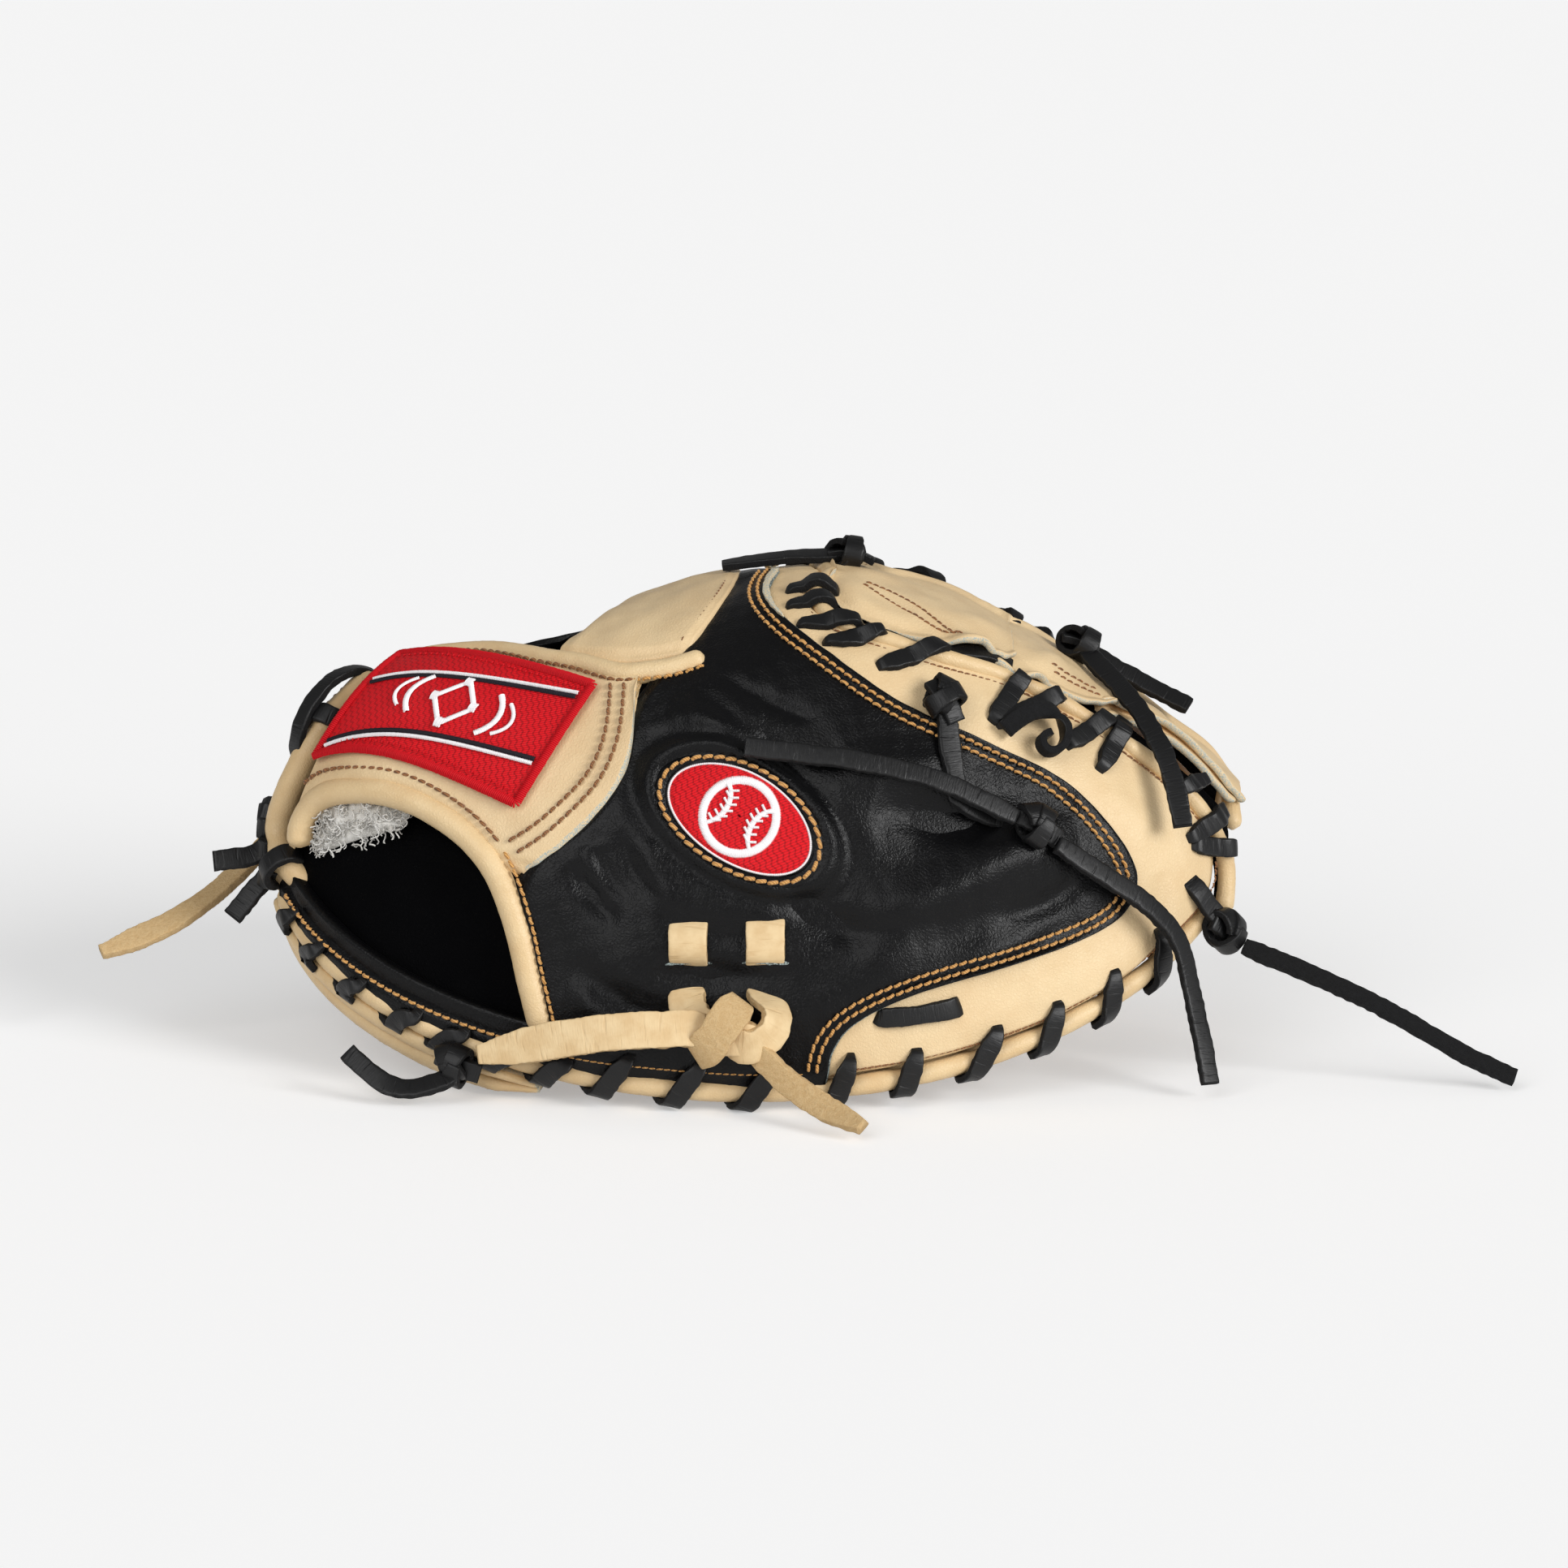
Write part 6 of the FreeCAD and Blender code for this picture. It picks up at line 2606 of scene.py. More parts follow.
@dataclass
class WristStrap:
    """Strap over the wrist: tan body, label, rolled edges, wool lining and lacing.

    Attributes:
        bench: Where its pieces are finished.
        low_radius: Radius of the roll round the wrist's opening.
        end_radius: Radius of the roll at the left end.
        top_radius: Radius of the roll along the top.
        body: The body that it rides on.
        label_corners: Points beside the label's corners: low left, low right, high left, high right.
    """

    bench: Bench
    low_radius: float = 4.0
    end_radius: float = 4.4
    top_radius: float = 3.4
    body: str = "thumb_half"
    label_corners: tuple[tuple[float, float, float], ...] = (
        (-135.4, -26.4, 96.4), (-72.5, -63.6, 89.6), (-111.5, 1.5, 122.0), (-49.6, -45.7, 122.0),
    )

    LOW = staticmethod(FORM.traced([
        (-144, -29, 70), (-142.5, -28, 79), (-136, -31.5, 86.5), (-126, -38.5, 89.6), (-113, -46.5, 90.2),
        (-100, -54.5, 87), (-88.5, -61.5, 80.5), (-80.5, -67, 72), (-75.5, -72, 62), (-72, -75.5, 50),
        (-69.5, -78, 38), (-66, -80, 23),
    ]))
    TOP = staticmethod(FORM.traced([
        (-111, 3, 121.5), (-103, 2, 124.5), (-92, -3, 127.4), (-79, -12, 129.6), (-66, -24, 129.8),
        (-54, -33, 129.6), (-43, -41.5, 128), (-34, -44.5, 129), (-26, -46, 130.5), (-16, -45.5, 133.5),
    ]))
    END = staticmethod(FORM.traced([
        (-121, 4, 118), (-129, -5, 112), (-137, -12, 104), (-144, -15, 94), (-149.5, -14, 83),
        (-151.8, -13.5, 73), (-150.5, -19, 64), (-147, -27, 57),
    ]))
    RIGHT = staticmethod(FORM.traced([
        (-71.5, -70.4, 73.0), (-61.7, -70.6, 79.4), (-53.2, -69.7, 87), (-45.2, -67.5, 95.6),
        (-39.8, -62.9, 105.9), (-37.6, -56.3, 115.7), (-37.0, -47.5, 124.8),
    ]))

    def _patch(self) -> Patch:
        """The strap's own patch of the arch."""
        low = part_of(self.LOW, 0.08, 0.62)
        ends = np.array([0.0, 1.0])
        top = part_of(self.TOP, 0.0, 0.77)
        low_line = smooth(np.vstack([low(np.linspace(0, 0.97, 9)), self.RIGHT(0.0)]))
        top_line = smooth(np.vstack([top(np.linspace(0, 0.97, 9)), self.RIGHT(1.0)]))
        left = straight(low_line(ends)[0], top_line(ends)[0])
        return framed(low_line, top_line, left, self.RIGHT)

    def _label_patch(self) -> Patch:
        """The label's patch, straight between its corners."""
        return straight_sided(*FORM.near(np.array(self.label_corners)))

    def dress(self) -> None:
        """Builds the strap."""
        self.leather_body()
        self.rolls()
        self.label()
        self.wool()
        self.lacing()
        self.rows()

    def leather_body(self) -> None:
        """The strap's tan body with its raw right edge."""
        folds = [
            Fold(((-128, -30, 98), (-110, -42, 97), (-90, -56, 90)), 0.8, 7.0),
            Fold(((-76, -63, 86), (-62, -66, 88), (-50, -64, 97)), 0.6, 6.0),
        ]
        relief = Relief(folds, 0.4, 30, 0.06, 71)
        body = Skin(
            self._patch(), deep(0.0), deep(Gauge.STRAP), 120, 70, relief,
            (-13.0, -1.0, -1.0, -1.0), {1: (0.9, 14.0), 2: (-1.4, 5.0), 3: (-1.2, 4.0)}, raw_sides=(1,),
            ragged=0.22,
        ).build()
        self.bench.leather([body], "strap_leather", self.body, self.bench.finishes.tan, ["wrist_strap"])

    def rolls(self) -> None:
        """Rolled edges: round the wrist's opening, along the top and over the left end."""
        edge = self.bench.finishes.tan_edge
        low = Roll(self.LOW, deep(2.6), self.low_radius, (), 0.1, 73, 1.1, 24).build()
        self.bench.leather([low], "opening_rolled_edge", self.body, edge, ["wrist_binding"])
        top = Roll(self.TOP, deep(1.6), self.top_radius, (), 0.1, 75, 1.1, 24).build()
        end = Roll(self.END, self._sinking, self.end_radius, (0.16, 0.3, 0.78), 0.16, 77, 1.1, 24).build()
        self.bench.leather([top, end], "strap_rolled_edges", self.body, edge, ["strap_bindings"])

    @staticmethod
    def _sinking(wall: Array) -> Array:
        """Depth of the end's roll, which slips in under the rim's roll at its foot."""
        along = np.linspace(0, 1, len(wall))
        return 2.2 + 6.5 * ease((along - 0.84) / 0.16)

    def _on_label(self, s: Array, t: Array, height: float) -> tuple[Array, Array]:
        """Points over the label at fractions along and up it.

        Args:
            s: Fraction along the label.
            t: Fraction up the label.
            height: Height over the back, in millimetres.

        Returns:
            The points and the outward directions.
        """
        places = self._label_patch()(np.asarray(s, float), np.asarray(t, float))
        outward = FORM.outward(places)
        return FORM.arch(places) + outward * height, outward

    def _row(
        self, points: Sequence[tuple[float, float]], height: float, width: float, spacing: float = 0.5,
    ) -> Seam:
        """A satin row over the label.

        Args:
            points: Corners of the row, as fractions along and up the label.
            height: Height of the row over the arch.
            width: Share of the thread's length.
            spacing: Distance between the row's points.

        Returns:
            The row.
        """
        rough = np.array(points, float)
        legs = [np.linspace(a, b, 60, endpoint=False) for a, b in zip(rough, rough[1:])]
        fine = np.concatenate(legs + [rough[-1:]])
        path, ups = self._on_label(fine[:, 0], fine[:, 1], height)
        tagged = evenly(np.concatenate([path, ups * 1e-4], axis=1), spacing)
        return Seam(tagged[:, :3], unit(tagged[:, 3:]), ACROSS, np.full(len(tagged), width))

    def label(self) -> None:
        """Embroidered label: field, whipped edge, pinstripes and a plain diamond."""
        bench, finishes = self.bench, self.bench.finishes
        cloth = Skin(
            self._label_patch(), deep(-2.3), deep(-0.9), 110, 70, Relief([], 0.12, 26, 0.04, 79),
            (0.6, 0.6, 0.6, 0.6),
        ).build()
        bench.leather([cloth], "label_field", self.body, finishes.red, ["strap_label"])
        edge = [self._row([(0, 0), (1, 0), (1, 1), (0, 1), (0, 0)], 2.35, 1.0)]
        inner = [
            self._row([(0.06, 0.07), (0.94, 0.07)], 2.5, 0.45),
            self._row([(0.03, 0.93), (0.95, 0.93)], 2.5, 0.45),
        ]
        bench.sew("label_whipped_edge", self.body, edge, MERROW, finishes.red_edge)
        bench.sew("label_inner_rows", self.body, inner, FINE, finishes.red_edge)
        white, dark = [], []
        start, end, apart = 0.035, 0.965, 0.035
        for low, high, side in ((0.60, 0.86, 1), (0.09, 0.33, -1)):
            white.append(self._row([(start, low + apart * side), (end, high + apart * side)], 2.55, 1.0))
            dark.append(self._row([(start, low), (end, high)], 2.5, 1.25))
        bench.sew("label_white_stripes", self.body, white + self._diamond(), SATIN, finishes.white)
        bench.sew("label_black_stripes", self.body, dark, SATIN, finishes.dark)

    def _diamond(self) -> list[Seam]:
        """A baseball diamond's outline, its four bases and two long curved strokes on each side of it."""
        rows = [self._row([(0.5, 0.30), (0.6, 0.5), (0.5, 0.70), (0.4, 0.5), (0.5, 0.30)], 2.6, 1.35, 0.4)]
        for s, t in ((0.5, 0.31), (0.595, 0.5), (0.5, 0.69), (0.405, 0.5)):
            rows.append(self._row([(s - 0.014, t), (s + 0.014, t)], 2.9, 2.7, 0.3))
        swing = np.linspace(-1, 1, 24)
        for hand in (-1, 1):
            for away, reach, width in ((0.17, 0.17, 1.5), (0.235, 0.13, 1.0)):
                arc = [(0.5 + hand * (away + 0.05 * (1 - a * a)), 0.5 + reach * a) for a in swing]
                rows.append(self._row(arc, 2.6, width, 0.4))
        return rows

    def wool(self) -> None:
        """Shearling under the strap, with its curly pile hanging past the opening's roll."""
        fleece = self.bench.finishes.fleece
        low = FORM.traced(
            [(-143, -25, 67), (-137, -30, 69), (-130, -35, 72), (-122, -40, 76), (-113, -45, 81)]
        )
        high = FORM.traced(
            [(-126, -12, 108), (-117, -18, 110), (-108, -26, 108), (-101, -34, 104), (-96, -42, 100)]
        )
        ends = np.array([0.0, 1.0])
        left, right = straight(low(ends)[0], high(ends)[0]), straight(low(ends)[1], high(ends)[1])
        top, bottom = deep(Gauge.STRAP + 2.6), deep(Gauge.STRAP + 5.4)
        uneven = Relief([], 1.5, 9, 0.7, 85)
        backing = Skin(framed(low, high, left, right), top, bottom, 60, 44, uneven).build()
        data = outward_facing(backing.mesh("strap_shearling"))
        data.materials.append(fleece.material)
        pile = self.bench.pile.grow(data.copy(), "strap_wool_pile", {
            "Density": 5.2e5, "Curl": 1.1 * MM, "Tall": 2.9 * MM, "Thickness": 0.2 * MM, "Seed": 7,
            "Material": fleece.material,
        })
        self.bench.show(data, "strap_shearling", self.body, fleece.slot, ["strap_fleece"])
        self.bench.show(pile, "strap_wool_pile", self.body, fleece.slot)

    def lacing(self) -> None:
        """Lace whipped round the left end's roll."""
        plans = []
        widths = ((0, 0.55), (0.15, 0.95), (0.5, 1.0), (0.9, 0.95), (1, 0.8))
        r = self.end_radius + Gauge.LACE / 2
        for index, (t, tilt) in enumerate(((0.26, 2.0), (0.9, 0.6))):
            centre, out, on, side = (a[0] for a in FORM.rail(self.END, np.array([t]), deep(2.2)))
            right = -side
            path, ups = threaded([
                (centre + (right * 8.4 + out * 0.2), tilt, out + right),
                (centre + (right * 6.6 + out * 3.6), tilt * 0.8, out + right * 0.5),
                (centre + (right * 2.4 + out * (r + 0.3)), tilt * 0.3, out),
                (centre + (-right * 2.6 + out * (r - 0.8)), -tilt * 0.3, out - right * 0.4),
                (centre + (-right * (r + 0.1) + out * 0.4), -tilt * 0.8, -right),
                (centre + (-right * 3.6 - out * (r - 0.6)), -tilt, -out - right * 0.4),
                (centre + (right * 1.0 - out * (r + 0.4)), -tilt, -out),
            ], on, 44)
            plans.append(Strap(path, ups, widths=widths, seed=141 + index, spacing=0.8, rough=0.5).build())
        share = np.linspace(0, 1, 60)
        centre, out, _, side = FORM.rail(part_of(self.END, 0.0, 0.4), share, deep(2.2))
        arch = np.sin(math.pi * share)[:, None]
        path = centre + out * (1.0 + 7.4 * arch**0.6) + side * (2.4 * arch - 1.0)
        plans.append(Strap(path, unit(out + side * 0.5), width=5.2, seed=147, rough=0.6, uneven=0.2).build())
        self.bench.leather(plans, "strap_end_whipping", self.body, self.bench.finishes.lace, ["strap_lace"])

    def rows(self) -> None:
        """Brown rows beside the right edge and along the rolls, and gold ones on the black leather."""
        finishes = self.bench.finishes
        brown = [
            seam_along(self.RIGHT, 0.03, 0.97, 3.6, 1.2),
            seam_along(self.RIGHT, 0.02, 0.98, 8.0, 0.95),
            seam_along(part_of(self.LOW, 0.16, 0.6), 0.0, 1.0, 5.4, 0.5),
            seam_along(self.TOP, 0.03, 0.72, -4.7, 0.5),
            seam_along(part_of(self.END, 0.04, 0.34), 0.0, 1.0, -5.0, 0.4),
        ]
        self.bench.sew("strap_brown_rows", self.body, brown, SADDLE, finishes.brown)
        gold = [
            seam_along(part_of(self.LOW, 0.64, 1.0), 0.0, 1.0, 5.2, -0.1),
            seam_along(self.TOP, 0.74, 0.97, -4.6, 0.0),
        ]
        self.bench.sew("opening_gold_rows", self.body, gold, SADDLE, finishes.gold)


# ---- the middle and the web


@dataclass
class Middle:
    """Skins between the folds, the bridge, the index finger's pad and the heel's bindings.

    Attributes:
        bench: Where its pieces are finished.
        body: The body that it rides on.
    """

    bench: Bench
    body: str = "core"

    def dress(self) -> None:
        """Builds the middle."""
        finishes = self.bench.finishes
        patch = between(CORE_SIDE, across(CORE_SIDE))
        folds = [
            Fold(((-120, 0, 84), (-80, 2, 92), (-30, 0, 100)), -0.8, 4.0),
            Fold(((-110, 14, 80), (-70, 20, 88), (-20, 18, 98)), -0.7, 4.0),
            Fold(((-110, -14, 80), (-70, -20, 88), (-20, -18, 98)), -0.7, 4.0),
        ]
        palm = Skin(
            patch, from_pocket(Gauge.LEATHER), whole_wall, 90, 110, Relief(folds, 0.5, 44, 0.1, 24),
            faces_pocket=True,
            margins=(-1.5, -1.5, -1.0, 0.2),
        ).build()
        self.bench.leather([palm], "middle_palm_skin", self.body, finishes.palm, ["middle_palm"])
        felt = Skin(
            patch, padding_top, from_pocket(Gauge.LEATHER), 30, 44, Relief([], 0.3, 30, 0.1, 25),
        ).build()
        pad = self.bench.leather([felt], "middle_palm_padding", self.body, finishes.felt, ["middle_padding"])
        lining = Skin(patch, lining_top, padding_top, 80, 100, Relief(folds, 0.6, 30, 0.12, 26)).build()
        self.bench.leather([lining], "middle_hand_lining", self.body, finishes.lining, ["middle_lining"])
        self.bridge()
        self.index_pad()
        self.heel()

    def bridge(self) -> None:
        """Black leather over the knuckles, between the two shells."""
        near = FORM.from_above([(-14, -31), (-6, -31), (1.6, -31)])
        far = across(near)
        side = FORM.near([(1.6, -16, 148.6), (5, 0, 150), (1.6, 16, 148.6)])
        right = smooth(np.vstack([near(1.0), side, far(1.0)]))
        patch = framed(near, far, straight(near(0.0)[0], far(0.0)[0]), right)
        skin = Skin(
            patch, deep(0.0), deep(Gauge.LEATHER), 34, 70, Relief([], 0.3, 26, 0.08, 27),
            (-0.5, -3.0, -3.0, -3.0),
            {1: (-0.8, 5.0), 2: (-3.4, 31.0), 3: (-1.2, 6.0)},
        ).build()
        self.bench.leather([skin], "knuckle_bridge", self.body, self.bench.finishes.black, ["back_bridge"])

    def index_pad(self) -> None:
        """The padded sheath of the index finger, which stands outside the back."""
        finishes = self.bench.finishes
        near = FORM.traced([(-62, -24, 131.5), (-47, -35.5, 131), (-33, -41, 132.5), (-22, -42.5, 134.5)])
        far = FORM.traced([(-40, 28, 134), (-30, 28, 137), (-20, 28, 140), (-10, 28, 143)])
        right = FORM.traced(
            [
                (-22, -42.5, 134.5), (-15, -32, 141), (-9.5, -18, 147), (-6.5, 4, 149), (-7, 18, 147),
                (-10, 28, 143),
            ]
        )
        left = FORM.traced(
            [
                (-62, -24, 131.5), (-57.3, -17.5, 132.3), (-51.4, -5.6, 135.3), (-45, 6, 137),
                (-41, 18, 136.5), (-40, 28, 134),
            ]
        )
        patch = framed(near, far, left, right)

        def plump(points: Array) -> Array:
            """The sheath's swelling, fullest along its middle.

            Args:
                points: Points as rows, in millimetres.

            Returns:
                One height for each point.
            """
            along = np.clip((points[:, 0] + 64) / 56, 0, 1)
            beside = np.clip((points[:, 1] + 40) / 68, 0, 1)
            swell = 1.2 * np.sin(math.pi * np.clip(beside, 0.02, 0.98)) ** 0.55
            return swell * np.sin(math.pi * (0.12 + 0.76 * along)) ** 0.5

        folds = [Fold(((-60, -18, 132), (-52, -6, 135), (-50, 10, 135)), -1.2, 3.2)]
        pad = Skin(
            patch, deep(-0.9), deep(4.0), 80, 90, Relief(folds, 0.4, 22, 0.08, 29, plump),
            (0.2, 0.2, 0.2, -0.6),
            {0: (-1.0, 4.0), 1: (-0.6, 4.0), 2: (-1.4, 4.0), 3: (-1.6, 6.0)}, raw_sides=(3,), ragged=0.25,
        ).build()
        thing = self.bench.leather(
            [pad], "index_finger_sheath", self.body, finishes.tan, ["index_finger_pad"],
        )
        row = seam_along(right, 0.04, 0.96, 2.6, 1.1)
        self.bench.sew("index_sheath_row", self.body, [row], FINE, finishes.brown)

    def heel(self) -> None:
        """Rolled bindings and lace at the heel."""
        finishes = self.bench.finishes
        rolls = [
            Roll(HEEL_ARC, depth, Gauge.ROLL, (0.25, 0.5, 0.75), 0.14, seed).build()
            for depth, seed in ((deep(Gauge.ROLL), 87), (from_pocket(Gauge.ROLL), 88))
        ]
        self.bench.leather(rolls, "heel_rolled_edges", self.body, finishes.tan_edge, ["heel_binding"])
        plans = []
        for seed, points in (
            (151, [(-152, -4, 66), (-157, -6, 62), (-163, -7.5, 60.5), (-171, -9, 60)]),
            (152, [(-152, -8, 56), (-157, -10, 52), (-161, -12, 47.5), (-165, -14, 43)]),
        ):
            path = smooth(points)(np.linspace(0, 1, 30))
            ups = np.tile(unit(np.array([-0.3, -0.9, 0.4])), (len(path), 1))
            plans.append(Strap(path, ups, width=6.4, seed=seed).build())
        for index, turned in enumerate((0.24, 0.62, 0.95, 1.3, 1.84, 2.2, 2.5, 2.86)):
            plans.append(self._heel_whip(turned, 160 + index))
        self.bench.leather(plans, "heel_lacing", self.body, finishes.lace, ["heel_lace"])

    @staticmethod
    def _heel_whip(turned: float, seed: int) -> MeshPlan:
        """One stitch of lace round the heel's two bindings.

        Args:
            turned: Where it crosses the heel, as a turn of the arch.
            seed: Seed of its unevenness.

        Returns:
            The stitch's plan.
        """
        share = np.array([(turned - 0.08) / (math.pi - 0.16)])
        centre, out, on, _ = (a[0] for a in FORM.rail(HEEL_ARC, share, deep(Gauge.ROLL)))
        inner = FORM.at(HEEL_ARC(share), from_pocket(Gauge.ROLL))[0]
        heel = np.array([-1.0, 0.0, 0.0])
        r = Gauge.ROLL + Gauge.LACE / 2
        path, ups = threaded([
            (centre + (out * 1.4 - heel * 5.5), -1.5, out - heel),
            (centre + (out * r - heel * 1.0), -0.8, out),
            (centre + (out * 0.7 + heel * 0.7) * r, 0.0, out + heel),
            ((centre + inner) / 2 + heel * (r + 0.6), 1.0, heel),
            (inner + (-out * 0.7 + heel * 0.7) * r, 1.6, heel - out),
            (inner + (-out * r - heel * 1.0), 2.0, -out),
            (inner + (-out * 1.4 - heel * 5.5), 2.4, -out - heel),
        ], on, 44)
        return Strap(
            path, ups, widths=((0, 0.6), (0.2, 1), (0.8, 1), (1, 0.6)), seed=seed, spacing=0.8,
        ).build()


@dataclass(frozen=True)
class WebLeather:
    """One of the leathers that cross the web.

    Attributes:
        name: Its name.
        side: Its edge on the thumb's side, as places seen from above.
        lift: How far it lies over the arch.
        curl: How far its side edges stand up.
        folds: Its bulges and creases.
        rows: Its rows of thread on the thumb's side, seen from above.
    """

    name: str
    side: tuple[tuple[float, float], ...]
    lift: float
    curl: float
    folds: tuple[Fold, ...] = ()
    rows: tuple[tuple[tuple[float, float], ...], ...] = ()


@dataclass
class Web:
    """The web: three leathers, its palm, the rolled edges on both sides and their lacing.

    Attributes:
        bench: Where its pieces are finished.
        roll_depth: Depth of the rolled edge's centre.
        roll_radius: Its radius.
        LEATHERS: The leathers that cross the web, from the crown to the tip.
        STITCHES: Points beside each stitch of lace on the thumb's side, and its width.
        NARROW: Width under which a stitch is drawn thin at both ends.
    """

    bench: Bench
    roll_depth: float = 0.4
    roll_radius: float = 2.8

    LEATHERS = (
        WebLeather(
            "crown",
            (
                (25, -2), (21.5, -16), (23, -27), (31, -33.5), (42, -36.5), (52, -38), (62, -36),
                (69, -33.5), (74, -32.5), (77, -30),
            ),
            1.7, 1.4,
            (
                Fold(
                    (
                        (22, -8, 149.8), (22, -20, 148.4), (26, -31, 145), (34, -35, 141.5), (44, -37, 138),
                        (51, -38, 135.5),
                    ),
                    -4.6, 4.0,
                ),
                Fold(((57, -37, 133), (64, -35, 132), (71, -33, 129)), 4.4, 4.6),
                Fold(((56, -26, 138), (66, -20, 137), (74, -12, 135)), 1.4, 7.0),
                Fold(((28, -8, 150), (36, -4, 149), (46, 4, 147)), 1.6, 7.0),
                Fold(((30, -20, 147), (40, -24, 144), (48, -27, 141)), -0.9, 4.0),
            ),
            (
                ((32.6, -17.8), (43.4, -25.6), (53.2, -31.5), (60.2, -32.7)),
                ((33.6, -15.8), (46, -21.5), (56.8, -30.3), (59.4, -31.9)),
            ),
        ),
        WebLeather(
            "middle",
            ((68, -33), (75, -36), (80, -37.5), (85, -34.5), (91, -33), (99, -31), (105, -27), (109, -23)),
            0.6, 1.8,
            (
                Fold(((78, -38, 122), (83, -36, 121), (88, -34, 119)), 3.4, 4.0),
                Fold(((82, -28, 123), (88, -20, 124), (92, -8, 124)), 2.2, 5.0),
                Fold(((98, -28, 115), (103, -12, 117), (104, 6, 117)), -1.0, 5.0),
            ),
            (((91, -26), (98, -25), (104, -23)), ((90, -23.5), (97, -22), (103, -20))),
        ),
        WebLeather(
            "tip",
            (
                (102, -25), (112, -20.5), (121, -17), (129.5, -13.5), (137.7, -13.5), (144.2, -14.5),
                (150, -13),
            ),
            0.4, 1.6,
            (
                Fold(((112, -16, 109), (122, -8, 108), (130, 4, 102)), 1.2, 6.0),
                Fold(((132, -12, 96), (141, -6, 92), (147, 0, 84)), -1.0, 5.0),
            ),
        ),
        WebLeather(
            "under",
            (
                (104, -28.5), (112, -24.5), (121, -21), (129.5, -17.5), (137.7, -17), (144.2, -17.5),
                (149, -15),
            ),
            -1.8, 1.2,
        ),
    )

    STITCHES = (
        (((8.4, -24.7, 147.2), (16.5, -22.0, 148), (24.6, -22.6, 147)), 5.2),
        (((8.4, -33.2, 144), (16, -31.4, 145), (24.0, -31.4, 144.2)), 5.0),
        (((11.5, -40.8, 140), (20.5, -39.6, 140.6), (31.5, -39, 138.8)), 5.4),
        (((19.7, -46, 136), (28, -44.2, 136.8), (38.6, -40, 137)), 5.6),
        (((35.4, -50.6, 129.1), (46, -45.4, 131.6), (57.5, -37.4, 133)), 5.8),
        (((70.2, -53.1, 112.6), (75, -46, 118), (80.5, -35.4, 123)), 6.0),
        (((71.5, -53.3, 111.6), (81, -46, 115), (92.5, -34.5, 116.6)), 6.0),
        (((93.2, -47.9, 104.1), (100, -40.5, 107.3), (108.5, -30, 109.5)), 6.0),
        (((103.5, -47.4, 96.6), (108, -39, 102.6), (112.5, -26, 109)), 6.0),
        (((126, -37.5, 88), (131.5, -32.5, 89), (139, -22.5, 89)), 5.6),
        (((131, -41.2, 74), (137.5, -34, 76.8), (144.2, -23.5, 79.5)), 5.8),
        (((132.5, -41, 72.5), (139, -35, 70), (144.8, -28, 67.5)), 5.8),
    )
    NARROW = 5.7

    def dress(self) -> None:
        """Builds the web."""
        self.panels()
        self.palm()
        self.side_roll("thumb")
        self.side_roll("finger")
        self.tip()

    def panels(self) -> None:
        """The three leathers that cross the web, each with raw wavy edges."""
        finishes, rows = self.bench.finishes, []
        for index, leather in enumerate(self.LEATHERS):
            near = FORM.from_above(leather.side)
            relief = Relief(leather.folds, 0.7, 30, 0.08, 90 + index)
            skin = Skin(
                between(near, across_web(near)), deep(-leather.lift), deep(Gauge.WEB_LEATHER - leather.lift),
                120, 80, relief,
                (0.0, 0.0, 0.3, 0.3),
                {0: (leather.curl, 4.5), 1: (leather.curl, 4.5), 2: (-3.6, 5.0), 3: (0.2, 4.0)},
                raw_sides=(0, 1, 3), ragged=0.45,
            ).build()
            nodes = [] if leather.name == "under" else [f"web_panel_{leather.name}"]
            self.bench.leather([skin], f"web_{leather.name}_leather", "core", finishes.tan, nodes)
            for row in leather.rows:
                for line in (FORM.from_above(row), across(FORM.from_above(row))):
                    places = line(np.linspace(0, 1, 90))
                    base, up = FORM.arch(places), FORM.outward(places)
                    rows.append(Seam(base + up * (leather.lift + relief.height(base) + 0.2)[:, None], up, 6))
        self.bench.sew("web_brown_rows", "core", rows, FINE, finishes.brown)

    def palm(self) -> None:
        """The web's palm leather."""
        folds = [
            Fold(((40, -30, 128), (60, 0, 126), (44, 30, 128)), -0.9, 4.0),
            Fold(((80, -30, 112), (96, 0, 112), (82, 30, 112)), -0.9, 4.0),
        ]
        skin = Skin(
            between(WEB_SIDE, across(WEB_SIDE)), from_pocket(Gauge.WEB_LEATHER), whole_wall, 90, 90,
            Relief(folds, 0.6, 36, 0.1, 97), (-3.0, -3.0, 0.2, 0.2), faces_pocket=True,
        ).build()
        self.bench.leather([skin], "web_palm_leather", "core", self.bench.finishes.palm, ["web_palm"])

